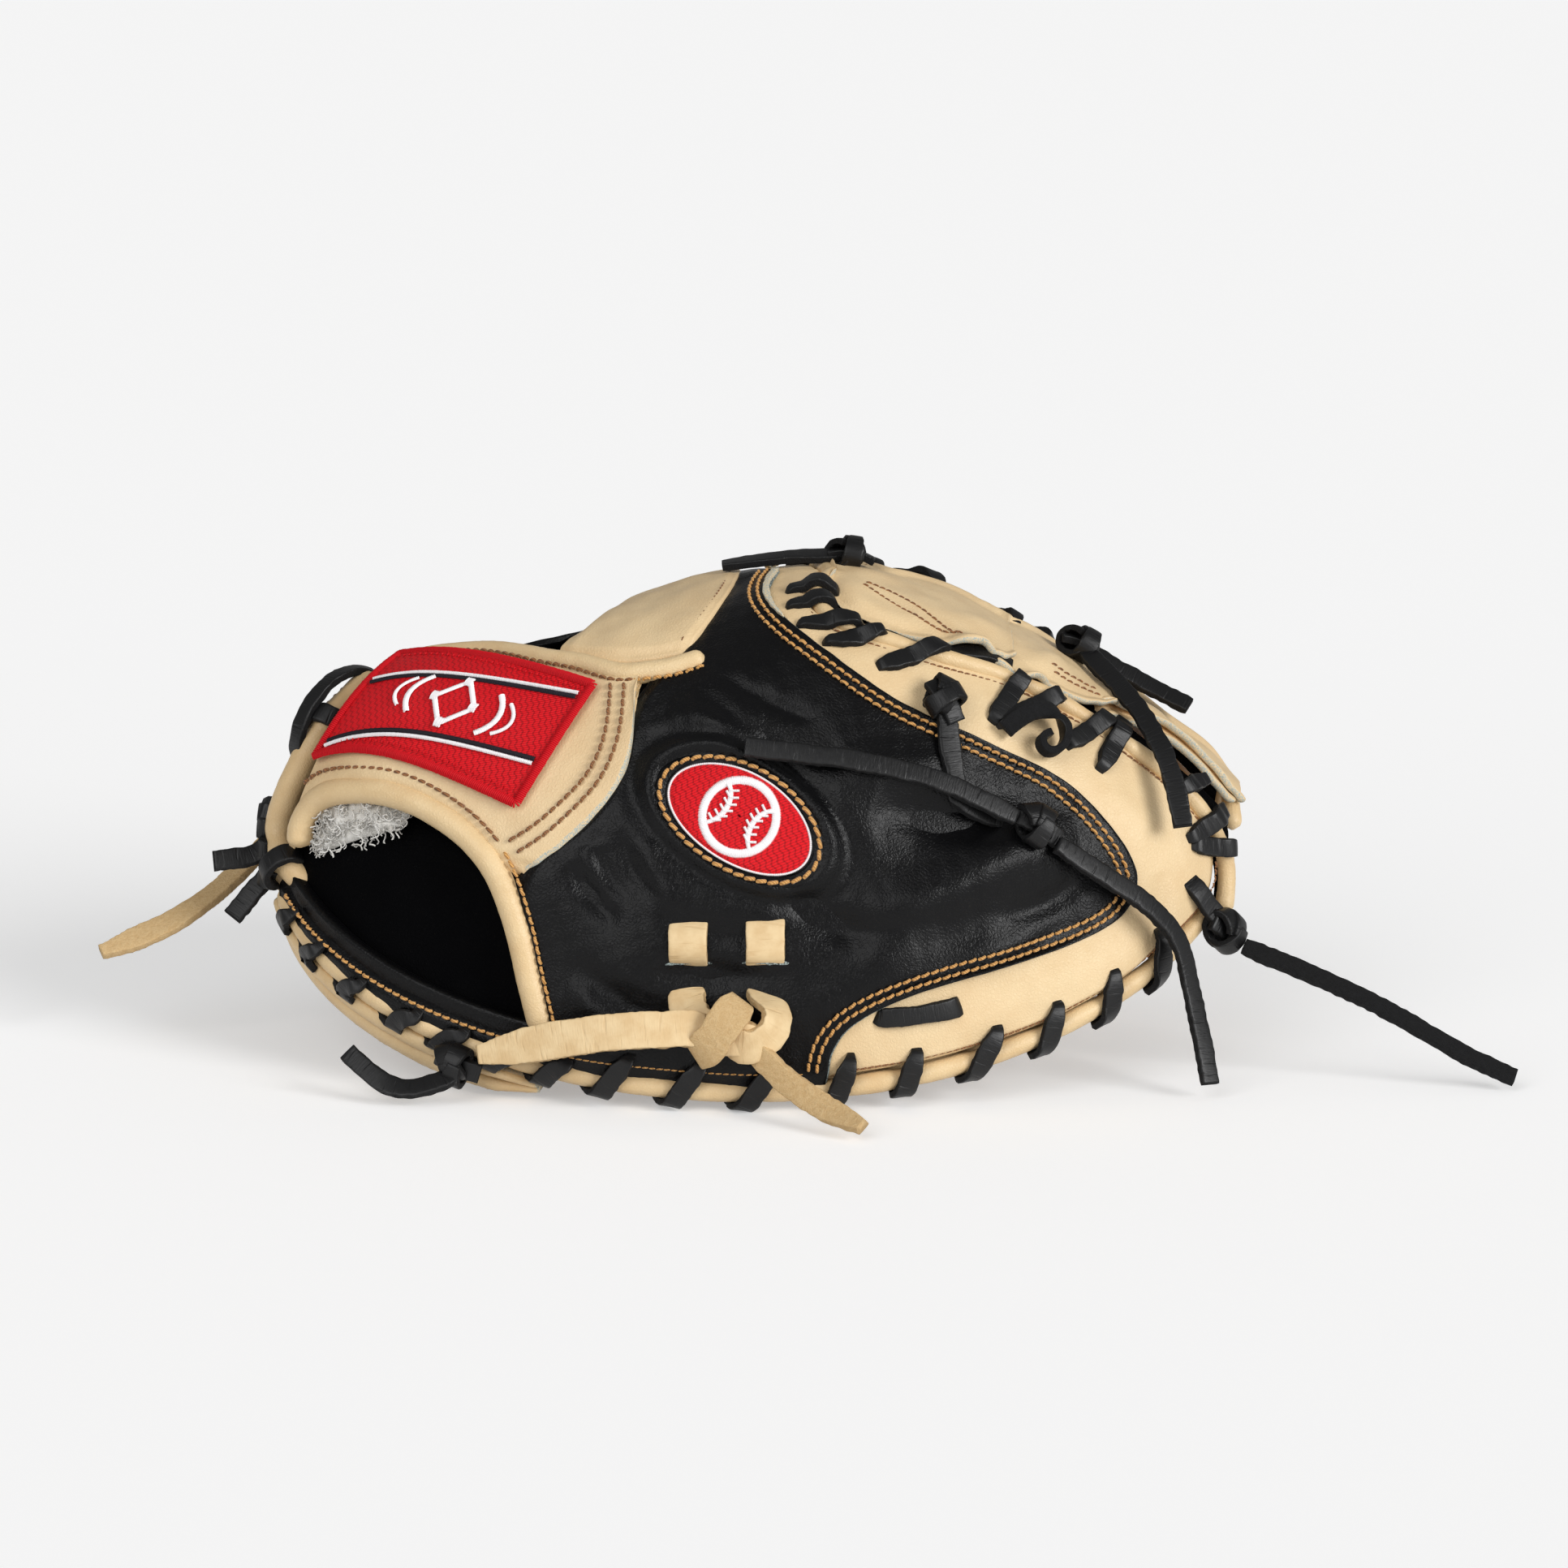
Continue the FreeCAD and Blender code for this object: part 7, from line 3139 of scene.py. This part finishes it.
    def side_roll(self, name: str) -> None:
        """Rolled edge beside the web on one half, its stitches of lace and its row of thread.

        Args:
            name: The half's body.
        """
        bench, finishes, half = self.bench, self.bench.finishes, Half(self.bench, name)
        bend, line, thumb = half.hinge(), half.over_web(WEB_RIM), half.hand == 1
        stitches = [
            self._stitch(line, points, half.hand, 170 + index, width)
            for index, (points, width) in enumerate(self.STITCHES)
        ]
        pinches = [
            self._nearest(line, FORM.arch(self._carried(points, half.hand))[1])
            for points, _ in self.STITCHES
        ]
        seed = 101 if thumb else 103
        roll = Roll(line, deep(self.roll_depth), self.roll_radius, pinches, 0.14, seed, 1.1, 22).build()
        node = "web_rim_binding" if thumb else "finger_web_binding"
        bench.leather([roll], name + "_web_rolled_edge", half.body, finishes.tan_edge, [node], bend)
        # A strip in the black lining's finish under the web's edge: painted shade in the gap there, and the
        # black lace behind it.
        painted_shade_strip = self._painted_shade_strip(line, half.hand)
        bench.leather([painted_shade_strip], name + "_web_gusset", half.body, finishes.lining, bend=bend)
        nodes = ["web_rim_lace"] if thumb else []
        stitches += self._curl() if thumb else []
        bench.leather(stitches, name + "_web_whipping", half.body, finishes.lace, nodes, bend)
        row = seam_along(line, 0.16, 0.84, 4.2 * half.hand, 0.1)
        bench.sew(name + "_web_edge_row", half.body, [row], FINE, finishes.brown, bend)

    @staticmethod
    def _carried(points: Sequence[Sequence[float]], hand: int) -> Array:
        """Places of a few points of the thumb's side, carried to the fingers' side when the hand is -1."""
        places = FORM.near(np.array(points, float))
        return places if hand == 1 else across_web(lambda t: places)(np.zeros(len(places)))

    def _nearest(self, line: Line, point: Array) -> float:
        """Fraction of a line that lies nearest to a point."""
        steps = np.linspace(0, 1, 400)
        return float(steps[np.argmin(np.linalg.norm(FORM.at(line(steps), self.roll_depth) - point, axis=1))])

    @staticmethod
    def _painted_shade_strip(line: Line, hand: int) -> MeshPlan:
        """The strip of leather from the rolled edge in under the web, black as painted shade in the gap there
        and for the black lace behind it.

        Args:
            line: Line of the rolled edge.
            hand: 1 on the thumb side and -1 on the fingers' side.

        Returns:
            The strip's plan.
        """

        def inner(t: Array) -> Array:
            share = np.atleast_1d(np.asarray(t, float))
            top = ease((share - 0.8) / 0.2)
            wider = 0.26 + 0.34 * (1 - ease(share / 0.3))
            past = 5.5 * (1 - ease((share - 0.1) / 0.2))
            return line(share) + np.stack([16 * top + past, hand * wider * (1 - top)], axis=1)

        return Skin(
            between(line, inner), deep(2.6), deep(4.2), 18, 130, Relief([], 0.3, 20, 0.1, 105),
            (-1.0, 0.0, 0.5, 0.5),
            {1: (-2.4, 9.0)},
        ).build()

    def _stitch(
        self, line: Line, points: Sequence[Sequence[float]], hand: int, seed: int, width: float,
    ) -> MeshPlan:
        """One stitch of lace from its hole in the panel, over the rolled edge and in under the web.

        Args:
            line: The rolled edge's line.
            points: Points beside the stitch on the thumb's side.
            hand: 1 on the thumb's side and -1 on the fingers'.
            seed: Seed of its uneven edges.
            width: Its width.

        Returns:
            The stitch's mesh.
        """
        t = np.linspace(0, 1, 60)
        places = smooth(self._carried(points, hand))(t)
        base, outward = FORM.arch(places), FORM.outward(places)
        steps = np.linspace(0, 1, 500)
        axis = FORM.at(line(steps), self.roll_depth)
        gaps = np.linalg.norm(base[:, None] - axis[None], axis=2)
        nearest = axis[np.argmin(gaps, axis=1)]
        clearance = self.roll_radius + Gauge.LACE / 2
        aside = np.sqrt(np.clip(gaps.min(axis=1) ** 2 - self.roll_depth**2, 0, None))
        needed = np.sqrt(np.clip(clearance**2 - aside**2, 0, None)) - self.roll_depth
        window = np.hanning(15)
        height = np.pad(np.maximum(needed, 1.0), 6, mode="edge")
        height = np.convolve(height, window[1:-1] / window.sum(), mode="valid")
        height = height - 3.4 * (1 - ease(t / 0.12)) - 3.4 * (1 - ease((1 - t) / 0.12)) + 0.25
        if hand < 0:
            height += 1.8 * np.sin(math.pi * t) * float(ease(np.array((points[0][0] - 15) / 10)))
        path = base + outward * height[:, None]
        lean = unit(path - nearest)
        weight = ease(1 - aside / (1.6 * clearance))[:, None]
        widths = ((0, 0.25), (0.07, 0.5), (0.24, 1.0), (0.76, 1.0), (0.92, 0.8), (1, 0.5))
        if width < self.NARROW:
            widths = ((0, 0.15), (0.12, 0.4), (0.3, 0.8), (0.5, 1.0), (0.72, 0.85), (0.9, 0.55), (1, 0.3))
        face = unit(outward * (1 - weight) + lean * weight)
        return Strap(path, face, width, widths=widths, seed=seed, spacing=0.7, rough=0.7).build()

    @staticmethod
    def _curl() -> list[MeshPlan]:
        """The lace's cut end, which curls up on the rolled edge."""
        points = [
            (73.5, -54, 109), (80, -48.5, 112.4), (86.6, -45.4, 111.2), (90.4, -47.4, 107),
            (89.4, -51, 102.6), (85.4, -53.4, 102), (83.6, -52, 105), (86.4, -49.4, 106.6),
        ]
        path, outward = draped(points, (3.6, 6.0, 6.6, 6.4, 5.8, 5.2, 5.0, 4.4), 90)
        onward = unit(np.gradient(path, axis=0))
        edgeways = np.cross(onward, outward)
        share = ease((np.linspace(0, 1, 90) - 0.2) / 0.25)[:, None]
        face = unit(-outward * (1 - share) + edgeways * share)
        lace = Strap(path, face, width=5.6, widths=((0, 1), (0.3, 1), (0.6, 0.8), (1, 0.7)), seed=181)
        points = [(57, -39, 132), (64, -36.5, 131), (71, -34, 129), (77, -33, 126)]
        path, ups = draped(points, (0.4, 1.2, 1.2, 0.2), 30)
        return [lace.build(), Strap(path, ups, width=5.0, seed=183, rough=0.6).build()]

    def tip(self) -> None:
        """Rolled edge at the web's tip."""
        line = straight((151.5, 0.5), (151.5, math.pi - 0.5))
        roll = Roll(line, deep(Gauge.ROLL + 1), Gauge.ROLL, (0.2, 0.4, 0.6, 0.8), 0.14, 107).build()
        self.bench.leather(
            [roll], "web_tip_rolled_edge", "core", self.bench.finishes.tan_edge, ["tip_binding"],
        )


# ---- ties


@dataclass
class FreeLace:
    """A loose end of lace, flat in section.

    Attributes:
        name: Its name, which is its solid's too, with "_lace" added.
        body: The body it hangs from.
        route: Control points of its line, in metres.
        faces: Ways its smooth face looks, from its start to its end.
        length: Its length in metres; not used.
        width: Its width in millimetres.
        gauge: Its thickness in millimetres.
        wide: Whether it is the blond thumb lace.
        rough: 1 where its underside shows suede, 0 where both faces are smooth.
        end: How it is cut.
        seed: Seed of its uneven edges.
    """

    name: str
    body: str
    route: tuple[tuple[float, float, float], ...]
    faces: tuple[tuple[float, float, float], ...]
    length: float
    width: float = 6.0
    gauge: float = 2.4
    wide: bool = False
    rough: float = 1.0
    end: EndShape = EndShape.CUT
    seed: int = 5

    def centre_line(self) -> Array:
        """Points of the smooth line through the route, in metres."""
        data = bpy.data.curves.new(self.name + "_line", "CURVE")
        data.dimensions = "3D"
        spline = data.splines.new("NURBS")
        spline.points.add(len(self.route) - 1)
        for point, place in zip(spline.points, self.route):
            point.co = (*place, 1.0)
        spline.order_u = 3
        spline.use_endpoint_u = True
        spline.resolution_u = 14
        holder = bpy.data.objects.new(self.name + "_line", data)
        bpy.context.scene.collection.objects.link(holder)
        graph = bpy.context.evaluated_depsgraph_get()
        made = bpy.data.meshes.new_from_object(holder.evaluated_get(graph), depsgraph=graph)
        points = np.zeros(len(made.vertices) * 3)
        made.vertices.foreach_get("co", points)
        bpy.data.objects.remove(holder)
        bpy.data.curves.remove(data)
        bpy.data.meshes.remove(made)
        return points.reshape(-1, 3)

    def dress(self, bench: Bench) -> None:
        """Args:
            bench: Where the piece is put on its body.
        """
        line = self.centre_line()
        ups = unit(smooth(self.faces)(np.linspace(0, 1, len(line))))
        widths = ((0, 0.8), (0.06, 1.0), (0.9, 1.0), (1, 0.96))
        plan = Strap(
            line / MM, ups, self.width, self.gauge, widths, seed=self.seed, rough=self.rough, end=self.end,
            spacing=0.7,
            uneven=0.2,
        ).build()
        finish = bench.finishes.loop if self.wide else bench.finishes.lace
        thing = bench.leather([plan], self.name + "_lace", self.body, finish, [self.name])
        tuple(self.route[0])
        self.width * MM


@dataclass
class Knot:
    """A knot of lace: a collar round the pulled lace, a band over it and its buried ends.

    Attributes:
        name: Its name.
        node: The solid it stands for.
        body: The body it rides on.
        centre: Its middle, in millimetres.
        out: The way it looks.
        along: The way the pulled lace runs.
        size: Its half width across the pulled lace.
        width: Width of its lace.
        wide: Whether it is tied in the blond thumb lace.
        seed: Seed of its uneven edges.
    """

    name: str
    node: str
    body: str
    centre: tuple[float, float, float]
    out: tuple[float, float, float]
    along: tuple[float, float, float]
    size: float = 5.4
    width: float = 6.2
    wide: bool = False
    seed: int = 7

    def dress(self, bench: Bench) -> None:
        """Builds the knot.

        Args:
            bench: Where the piece is put on its body.
        """
        out = unit(np.array(self.out, float))
        along = np.array(self.along, float)
        along = unit(along - out * (along @ out))
        aside = np.cross(out, along)
        centre = np.array(self.centre, float)
        slanted, square = unit(along + aside * 0.75), unit(aside - along * 0.75)
        beside = centre - along * 2.4 - out * 0.6
        plans = [
            self._band(centre, out, along, aside, self.size, 4.4, 0.0, 0.16, self.seed),
            self._band(beside, out, slanted, square, self.size * 0.92, 3.9, 1.2, 0.3, self.seed + 1),
            self._pull(centre, out, along),
        ]
        finish = bench.finishes.loop if self.wide else bench.finishes.lace
        bench.leather(plans, self.name, self.body, finish, [self.node])

    def _band(
        self, centre: Array, out: Array, along: Array, aside: Array, wide: float, tall: float,
        slip: float, lean: float, seed: int,
    ) -> MeshPlan:
        """A turn of lace round the pulled one.

        Args:
            centre: Its middle.
            out: The way the knot looks.
            along: The way the pulled lace runs.
            aside: The way across it.
            wide: Half the turn's width.
            tall: Half its height.
            slip: How far it bows along the pulled lace.
            lean: How far its two ends lie apart.
            seed: Seed of its uneven edges.

        Returns:
            The turn's mesh.
        """
        turn = np.linspace(-0.3, 2 * math.pi + 0.3, 64)
        spread = 1 + 0.05 * turn / (2 * math.pi)
        onward = lean * 8 * (turn / (2 * math.pi) - 0.5) + slip * np.cos(turn)
        path = (
            centre + aside * (wide * np.sin(turn) * spread)[:, None]
            + out * (tall * np.cos(turn) * spread)[:, None] + along * onward[:, None]
        )
        ups = unit(aside * (np.sin(turn) / wide)[:, None] + out * (np.cos(turn) / tall)[:, None])
        return Strap(
            path, ups, self.width * 0.96, Gauge.LACE * 0.85, ((0, 0.7), (0.2, 1), (0.8, 1), (1, 0.7)),
            seed=seed, spacing=0.6, rough=0.4,
        ).build()

    def _pull(self, centre: Array, out: Array, along: Array) -> MeshPlan:
        """The lace that is pulled through the turns.

        Args:
            centre: Middle of the knot.
            out: Outward direction there.
            along: Direction of the pulled lace.

        Returns:
            The lace's plan.
        """
        t = np.linspace(-1, 1, 30)[:, None]
        path = centre + along * (self.size * 1.35 * t) - out * (1.6 * t * t)
        ups = np.tile(out, (30, 1))
        return Strap(path, ups, self.width * 0.95, 2.4, seed=self.seed + 2, spacing=0.6, rough=0.7).build()


@dataclass
class Ties:
    """Every knot, riser and loose end of lace.

    Attributes:
        bench: Where its pieces are finished.
        KNOTS: Each knot's name, its body, a point beside it and the way its pulled lace runs.
    """

    bench: Bench

    KNOTS = (
        ("thumb_tie", "thumb_half", (83, -64, 82), (1, 0, -0.6)),
        ("thumb_upper", "thumb_half", (55, -55, 118), (0.3, 0, -1)),
        ("tip_tie", "thumb_half", (140, -38, 45), (1, 0, -0.5)),
        ("heel_tie", "thumb_half", (-89, -72, 12), (1, 0, -0.3)),
        ("crown", "core", (28, 6, 148), (1, 0, 0)),
        ("web", "core", (99, 3, 122), (1, 0, -0.4)),
    )

    def dress(self) -> None:
        """Builds the ties."""
        for index, (label, body, beside, along) in enumerate(self.KNOTS):
            (centre,), (out,) = on_back([beside], 5.6)
            name, node, seed = label + "_lace_knot", label + "_knot", 200 + 5 * index
            Knot(name, node, body, tuple(centre), tuple(out), along, seed=seed).dress(self.bench)
        self.risers()
        self.thumb_loop()
        for lace in self.loose_ends():
            lace.dress(self.bench)

    def risers(self) -> None:
        """Lace that comes up over the back to its knots."""
        long_points = [
            (53, -54, 119), (56, -57, 114), (57, -61, 107), (58.5, -66, 98), (60, -68, 92), (66, -67, 88),
            (74, -66, 86),
        ]
        path, ups = draped(long_points, (4.0, 3.4, 2.6, 2.2, 2.6, 1.0, -2.0), 60)
        plans = [Strap(path, ups, seed=231, uneven=0.3).build()]
        path, ups = draped(
            [(132, -45, 63), (134, -43, 58), (136, -42, 54), (138, -40, 50)], (-2.0, 1.6, 2.6, 4.0), 36,
        )
        plans.append(Strap(path, ups, seed=233).build())
        self.bench.leather(plans, "tie_rising_laces", "thumb_half", self.bench.finishes.lace, ["tie_risers"])

    def thumb_loop(self) -> None:
        """The blond loop's bow at the foot of the shell, and the fingers' side one."""
        ribbons = (
            (
                [(-21.2, -82, 38), (-21.2, -86.5, 35), (-19.5, -91, 31), (-15, -94.5, 28), (-9, -95.5, 27)],
                [(0, -0.6, 1), (-0.3, -1, 0.4), (0, -1, 0.2)], 11.0, 1.0,
            ),
            (
                [
                    (1.6, -82, 37), (1.6, -87, 35.6), (4.8, -92, 33.4), (5.2, -96, 29.2), (1.5, -98, 25.2),
                    (-3.5, -98.4, 23.9), (-9.4, -96, 25.2),
                ],
                [(0, -0.5, 1), (0.7, -0.7, 0.6), (0.7, -1, 0), (0, -1, -0.3)], 10.5, 1.0,
            ),
            (
                [
                    (-5.0, -94, 36.4), (-8.0, -98.2, 33.6), (-11.2, -100, 29.4), (-15.2, -99.4, 23.6),
                    (-18.6, -96.4, 20.6),
                ],
                [(0.2, -0.9, 0.6), (-0.2, -1, 0.2), (-0.4, -0.9, -0.2)], 11.0, -1.0,
            ),
            (
                [(-16.5, -94.5, 24.4), (-10, -97, 25.6), (-3, -97.6, 25.4), (-0.5, -96.5, 22)],
                [(0, -1, 0.1), (0, -1, -0.1)], 11.0, 1.0,
            ),
        )
        plans = []
        t = np.linspace(0, 1, 50)
        widths = ((0, 0.75), (0.15, 1.0), (0.85, 1.0), (1, 0.85))
        for index, (points, faces, width, turned) in enumerate(ribbons):
            path, ups = smooth(points)(t), unit(smooth(faces)(t)) * turned
            ribbon = Strap(
                path, ups, width, 2.6, widths, crown=0.15, seed=241 + index, rough=0.95, uneven=0.3,
            )
            plans.append(ribbon.build())
        self.bench.leather(
            plans, "thumb_loop_bow", "thumb_half", self.bench.finishes.loop, ["thumb_loop_knot"],
        )
        Knot(
            "pinky_loop_bow", "pinky_loop_knot", "finger_half", (-147, 45, 64), (-0.3, 1, 0), (1, 0, 0),
            7.0, 10.0,
            True, 260,
        ).dress(self.bench)

    @staticmethod
    def loose_ends() -> list[FreeLace]:
        """The loose ends of the lace."""
        return [
            FreeLace("thumb_tie_tail_left", "thumb_half", (
                (0.0775, -0.072, 0.0875), (0.0615, -0.0735, 0.097), (0.041, -0.0745, 0.1035),
                (0.0185, -0.075, 0.1075), (-0.004, -0.0735, 0.1095),
            ), ((0.2, -0.8, 0.6), (0, -0.9, 0.5)), 0.0856, rough=0.3, seed=301),
            FreeLace("thumb_tie_tail_right", "thumb_half", (
                (0.09, -0.07, 0.079), (0.104, -0.068, 0.069), (0.118, -0.0645, 0.0595),
                (0.1285, -0.061, 0.047), (0.132, -0.062, 0.031), (0.135, -0.068, 0.017),
                (0.137, -0.073, 0.005),
            ), ((0.4, -0.9, 0.6), (0.7, -0.8, 0.4), (0.5, -0.9, 0.1)), 0.0958, seed=303),
            FreeLace("tip_tie_tail", "thumb_half", (
                (0.149, -0.044, 0.041), (0.16, -0.047, 0.037), (0.176, -0.051, 0.031),
                (0.192, -0.0555, 0.024), (0.207, -0.058, 0.0155), (0.22, -0.0605, 0.0085),
                (0.231, -0.062, 0.004),
            ), ((-0.3, 0.7, -0.7), (-0.3, 0.6, -0.8)), 0.092, seed=305),
            FreeLace("crown_tail", "core", (
                (0.026, 0.006, 0.1544), (0.015, 0.0063, 0.1542), (0.004, 0.0054, 0.1534),
                (-0.005, 0.0048, 0.1523), (-0.0115, 0.0048, 0.1512),
            ), ((0, -0.35, 1), (0, -0.1, 1)), 0.0377, seed=307),
            FreeLace("web_side_tail", "core", (
                (0.1015, 0.0034, 0.125), (0.11, 0.003, 0.1202), (0.1185, 0.002, 0.1154),
                (0.127, 0.0005, 0.1112), (0.1345, -0.002, 0.108),
            ), ((0.3, -0.7, 0.7), (0.3, -0.7, 0.7)), 0.0377, seed=309),
            FreeLace("web_long_tail", "core", (
                (0.102, -0.002, 0.125), (0.1115, -0.017, 0.1175), (0.1195, -0.0325, 0.109),
                (0.1265, -0.046, 0.096), (0.129, -0.0545, 0.081),
            ), ((0.1, -0.8, 0.6), (0.1, -0.95, 0.35), (0.1, -1, 0.1)), 0.0758, seed=311),
            FreeLace("heel_tie_tail", "thumb_half", (
                (-0.092, -0.08, 0.0095), (-0.101, -0.0815, 0.006), (-0.11, -0.08, 0.0055),
                (-0.118, -0.076, 0.009), (-0.1245, -0.0705, 0.0145),
            ), ((0, -0.6, 0.8), (-0.3, -0.8, 0.5)), 0.0383, seed=313),
            FreeLace("thumb_loop_tail_left", "thumb_half", (
                (-0.0155, -0.0955, 0.0285), (-0.032, -0.097, 0.0285), (-0.05, -0.0945, 0.0265),
                (-0.068, -0.09, 0.022), (-0.084, -0.085, 0.0175),
            ), ((0, -0.9, 0.4), (-0.2, -1, 0.3)), 0.0712, 11.0, 2.6, True, 0.9, EndShape.POINT, 315),
            FreeLace("thumb_loop_tail_right", "thumb_half", (
                (-0.0035, -0.0955, 0.0245), (0.0055, -0.099, 0.0155), (0.015, -0.105, 0.0095),
                (0.0235, -0.112, 0.0062), (0.031, -0.119, 0.0048),
            ), ((0.3, 0.8, 0.2), (0.4, 0.4, -0.8)), 0.0476, 7.8, 2.8, True, 1.0, EndShape.POINT, 317),
            FreeLace("pinky_loop_tail", "finger_half", (
                (-0.15, 0.0425, 0.0625), (-0.1595, 0.03, 0.0555), (-0.169, 0.015, 0.0475),
                (-0.181, 0.002, 0.04), (-0.195, -0.005, 0.034), (-0.207, -0.009, 0.0305),
            ), ((0.5, 0.6, -0.6), (0.4, 0.7, -0.5)), 0.0855, 8.0, 2.8, True, 1.0, EndShape.POINT, 319),
        ]


# ---- studio


@dataclass
class Studio:
    """Pale floor, soft light and the camera.

    Attributes:
        pale: Colour of the background.
        albedo: Share of the light that the floor gives back.
        glow: Light that the floor adds where it is seen.
        ambient: Strength of the even light.
        suns: Each lamp's name, the way to it, its spread in degrees and its strength.
        LENS: The camera's focal length in millimetres.
        SENSOR: Its sensor's width in millimetres.
        PLACE: Where it stands.
        TILT: How far it is tilted up from looking straight down, in degrees.
        FLOOR_REACH: How far the floor reaches from the mitt.
    """

    pale: str = "F5F5F5"
    albedo: float = 0.84
    glow: float = 0.335
    ambient: float = 0.25
    suns: tuple[tuple[str, tuple[float, float, float], float, float], ...] = (
        ("key", (0.76, -0.6, 0.42), 26.0, 1.75),
        ("low", (0.62, -0.76, 0.17), 30.0, 0.55),
        ("fill", (-0.6, -1.0, 0.7), 46.0, 1.1),
    )

    LENS = 119.25
    SENSOR = 36.0
    PLACE = (0.00775, -1.59504, 0.42166)
    TILT = 78.0
    FLOOR_REACH = 60.0

    def build(self) -> None:
        """Makes the studio."""
        self.camera()
        self.floor()
        self.world()
        self.lamps()

    def camera(self) -> None:
        """The camera, a little over the mitt's thumb side."""
        data = bpy.data.cameras.new("camera")
        data.lens = self.LENS
        data.sensor_width = self.SENSOR
        camera = bpy.data.objects.new("camera", data)
        camera.location = self.PLACE
        camera.rotation_euler = (math.radians(self.TILT), 0.0, 0.0)
        bpy.context.scene.collection.objects.link(camera)
        bpy.context.scene.camera = camera

    def floor(self) -> None:
        """A wide pale floor, which shows the background's colour and keeps the mitt's shadow."""
        data = bpy.data.meshes.new("studio_floor")
        half = self.FLOOR_REACH
        corners = [(-half, -half, 0), (half, -half, 0), (half, half, 0), (-half, half, 0)]
        data.from_pydata(corners, [], [(0, 1, 2, 3)])
        shade = Shade("studio floor")
        shade.finish(Base_Color=(self.albedo,) * 3 + (1.0,), Roughness=1.0, Specular_IOR_Level=0.0)
        glow = shade.node("Emission", {}, {"Color": (1.0, 1.0, 1.0, 1.0), "Strength": self.glow})
        plain = Socket(shade, shade.main.outputs[0])
        both = shade.node("AddShader", {}, {0: plain, 1: glow})
        shown = shade.node("MixShader", {}, {0: self._seen(shade), 1: plain, 2: both})
        shade.feed(shade.out.inputs[0], shown)
        data.materials.append(shade.material)
        floor = bpy.data.objects.new("studio_floor", data)
        bpy.context.scene.collection.objects.link(floor)

    @staticmethod
    def _seen(shade: Shade) -> Socket:
        """1 for rays that show the background: the camera's, and those in gloss or glass.

        Args:
            shade: The floor's material.

        Returns:
            1 for those rays and 0 for the others.
        """
        camera = shade.node("LightPath", output="Is Camera Ray")
        glossy = shade.node("LightPath", output="Is Glossy Ray")
        through = shade.node("LightPath", output="Is Transmission Ray")
        return camera.most(glossy).most(through)

    def world(self) -> None:
        """Even light all round, and the background's colour where the world is seen."""
        world = bpy.data.worlds.new("studio")
        world.use_nodes = True
        tree = world.node_tree
        background = tree.nodes["Background"]
        background.inputs["Strength"].default_value = self.ambient
        background.inputs["Color"].default_value = (1.0, 1.0, 1.0, 1.0)
        shown = tree.nodes.new("ShaderNodeBackground")
        shown.inputs["Color"].default_value = srgb(self.pale)
        path = tree.nodes.new("ShaderNodeLightPath")
        mixed = tree.nodes.new("ShaderNodeMixShader")
        for socket, output in (
            (mixed.inputs[0], path.outputs["Is Camera Ray"]), (mixed.inputs[1], background.outputs[0]),
            (mixed.inputs[2], shown.outputs[0]),
            (tree.nodes["World Output"].inputs["Surface"], mixed.outputs[0]),
        ):
            tree.links.new(output, socket)
        bpy.context.scene.world = world

    def lamps(self) -> None:
        """Wide soft suns: a key and a low one from the front right, and a fill from the front left."""
        for name, toward, spread, strength in self.suns:
            data = bpy.data.lights.new(name, "SUN")
            data.energy = strength
            data.angle = math.radians(spread)
            lamp = bpy.data.objects.new(name, data)
            lamp.location = toward
            lamp.rotation_euler = Vector(toward).to_track_quat("Z", "Y").to_euler()
            bpy.context.scene.collection.objects.link(lamp)


def main() -> None:
    """Builds the mitt and its studio."""
    Studio().build()
    bench = Bench(Finishes.made(), ThreadRecipe(), PileRecipe())
    Ties(bench).dress()
    ThumbHalf(bench).dress()
    FingerHalf(bench, "finger").dress()
    WristStrap(bench).dress()
    Middle(bench).dress()
    Web(bench).dress()
    bpy.context.scene.view_settings.view_transform = "Standard"
    log.info("%d triangles in all", bench.triangles)


if __name__ == "__main__":
    main()
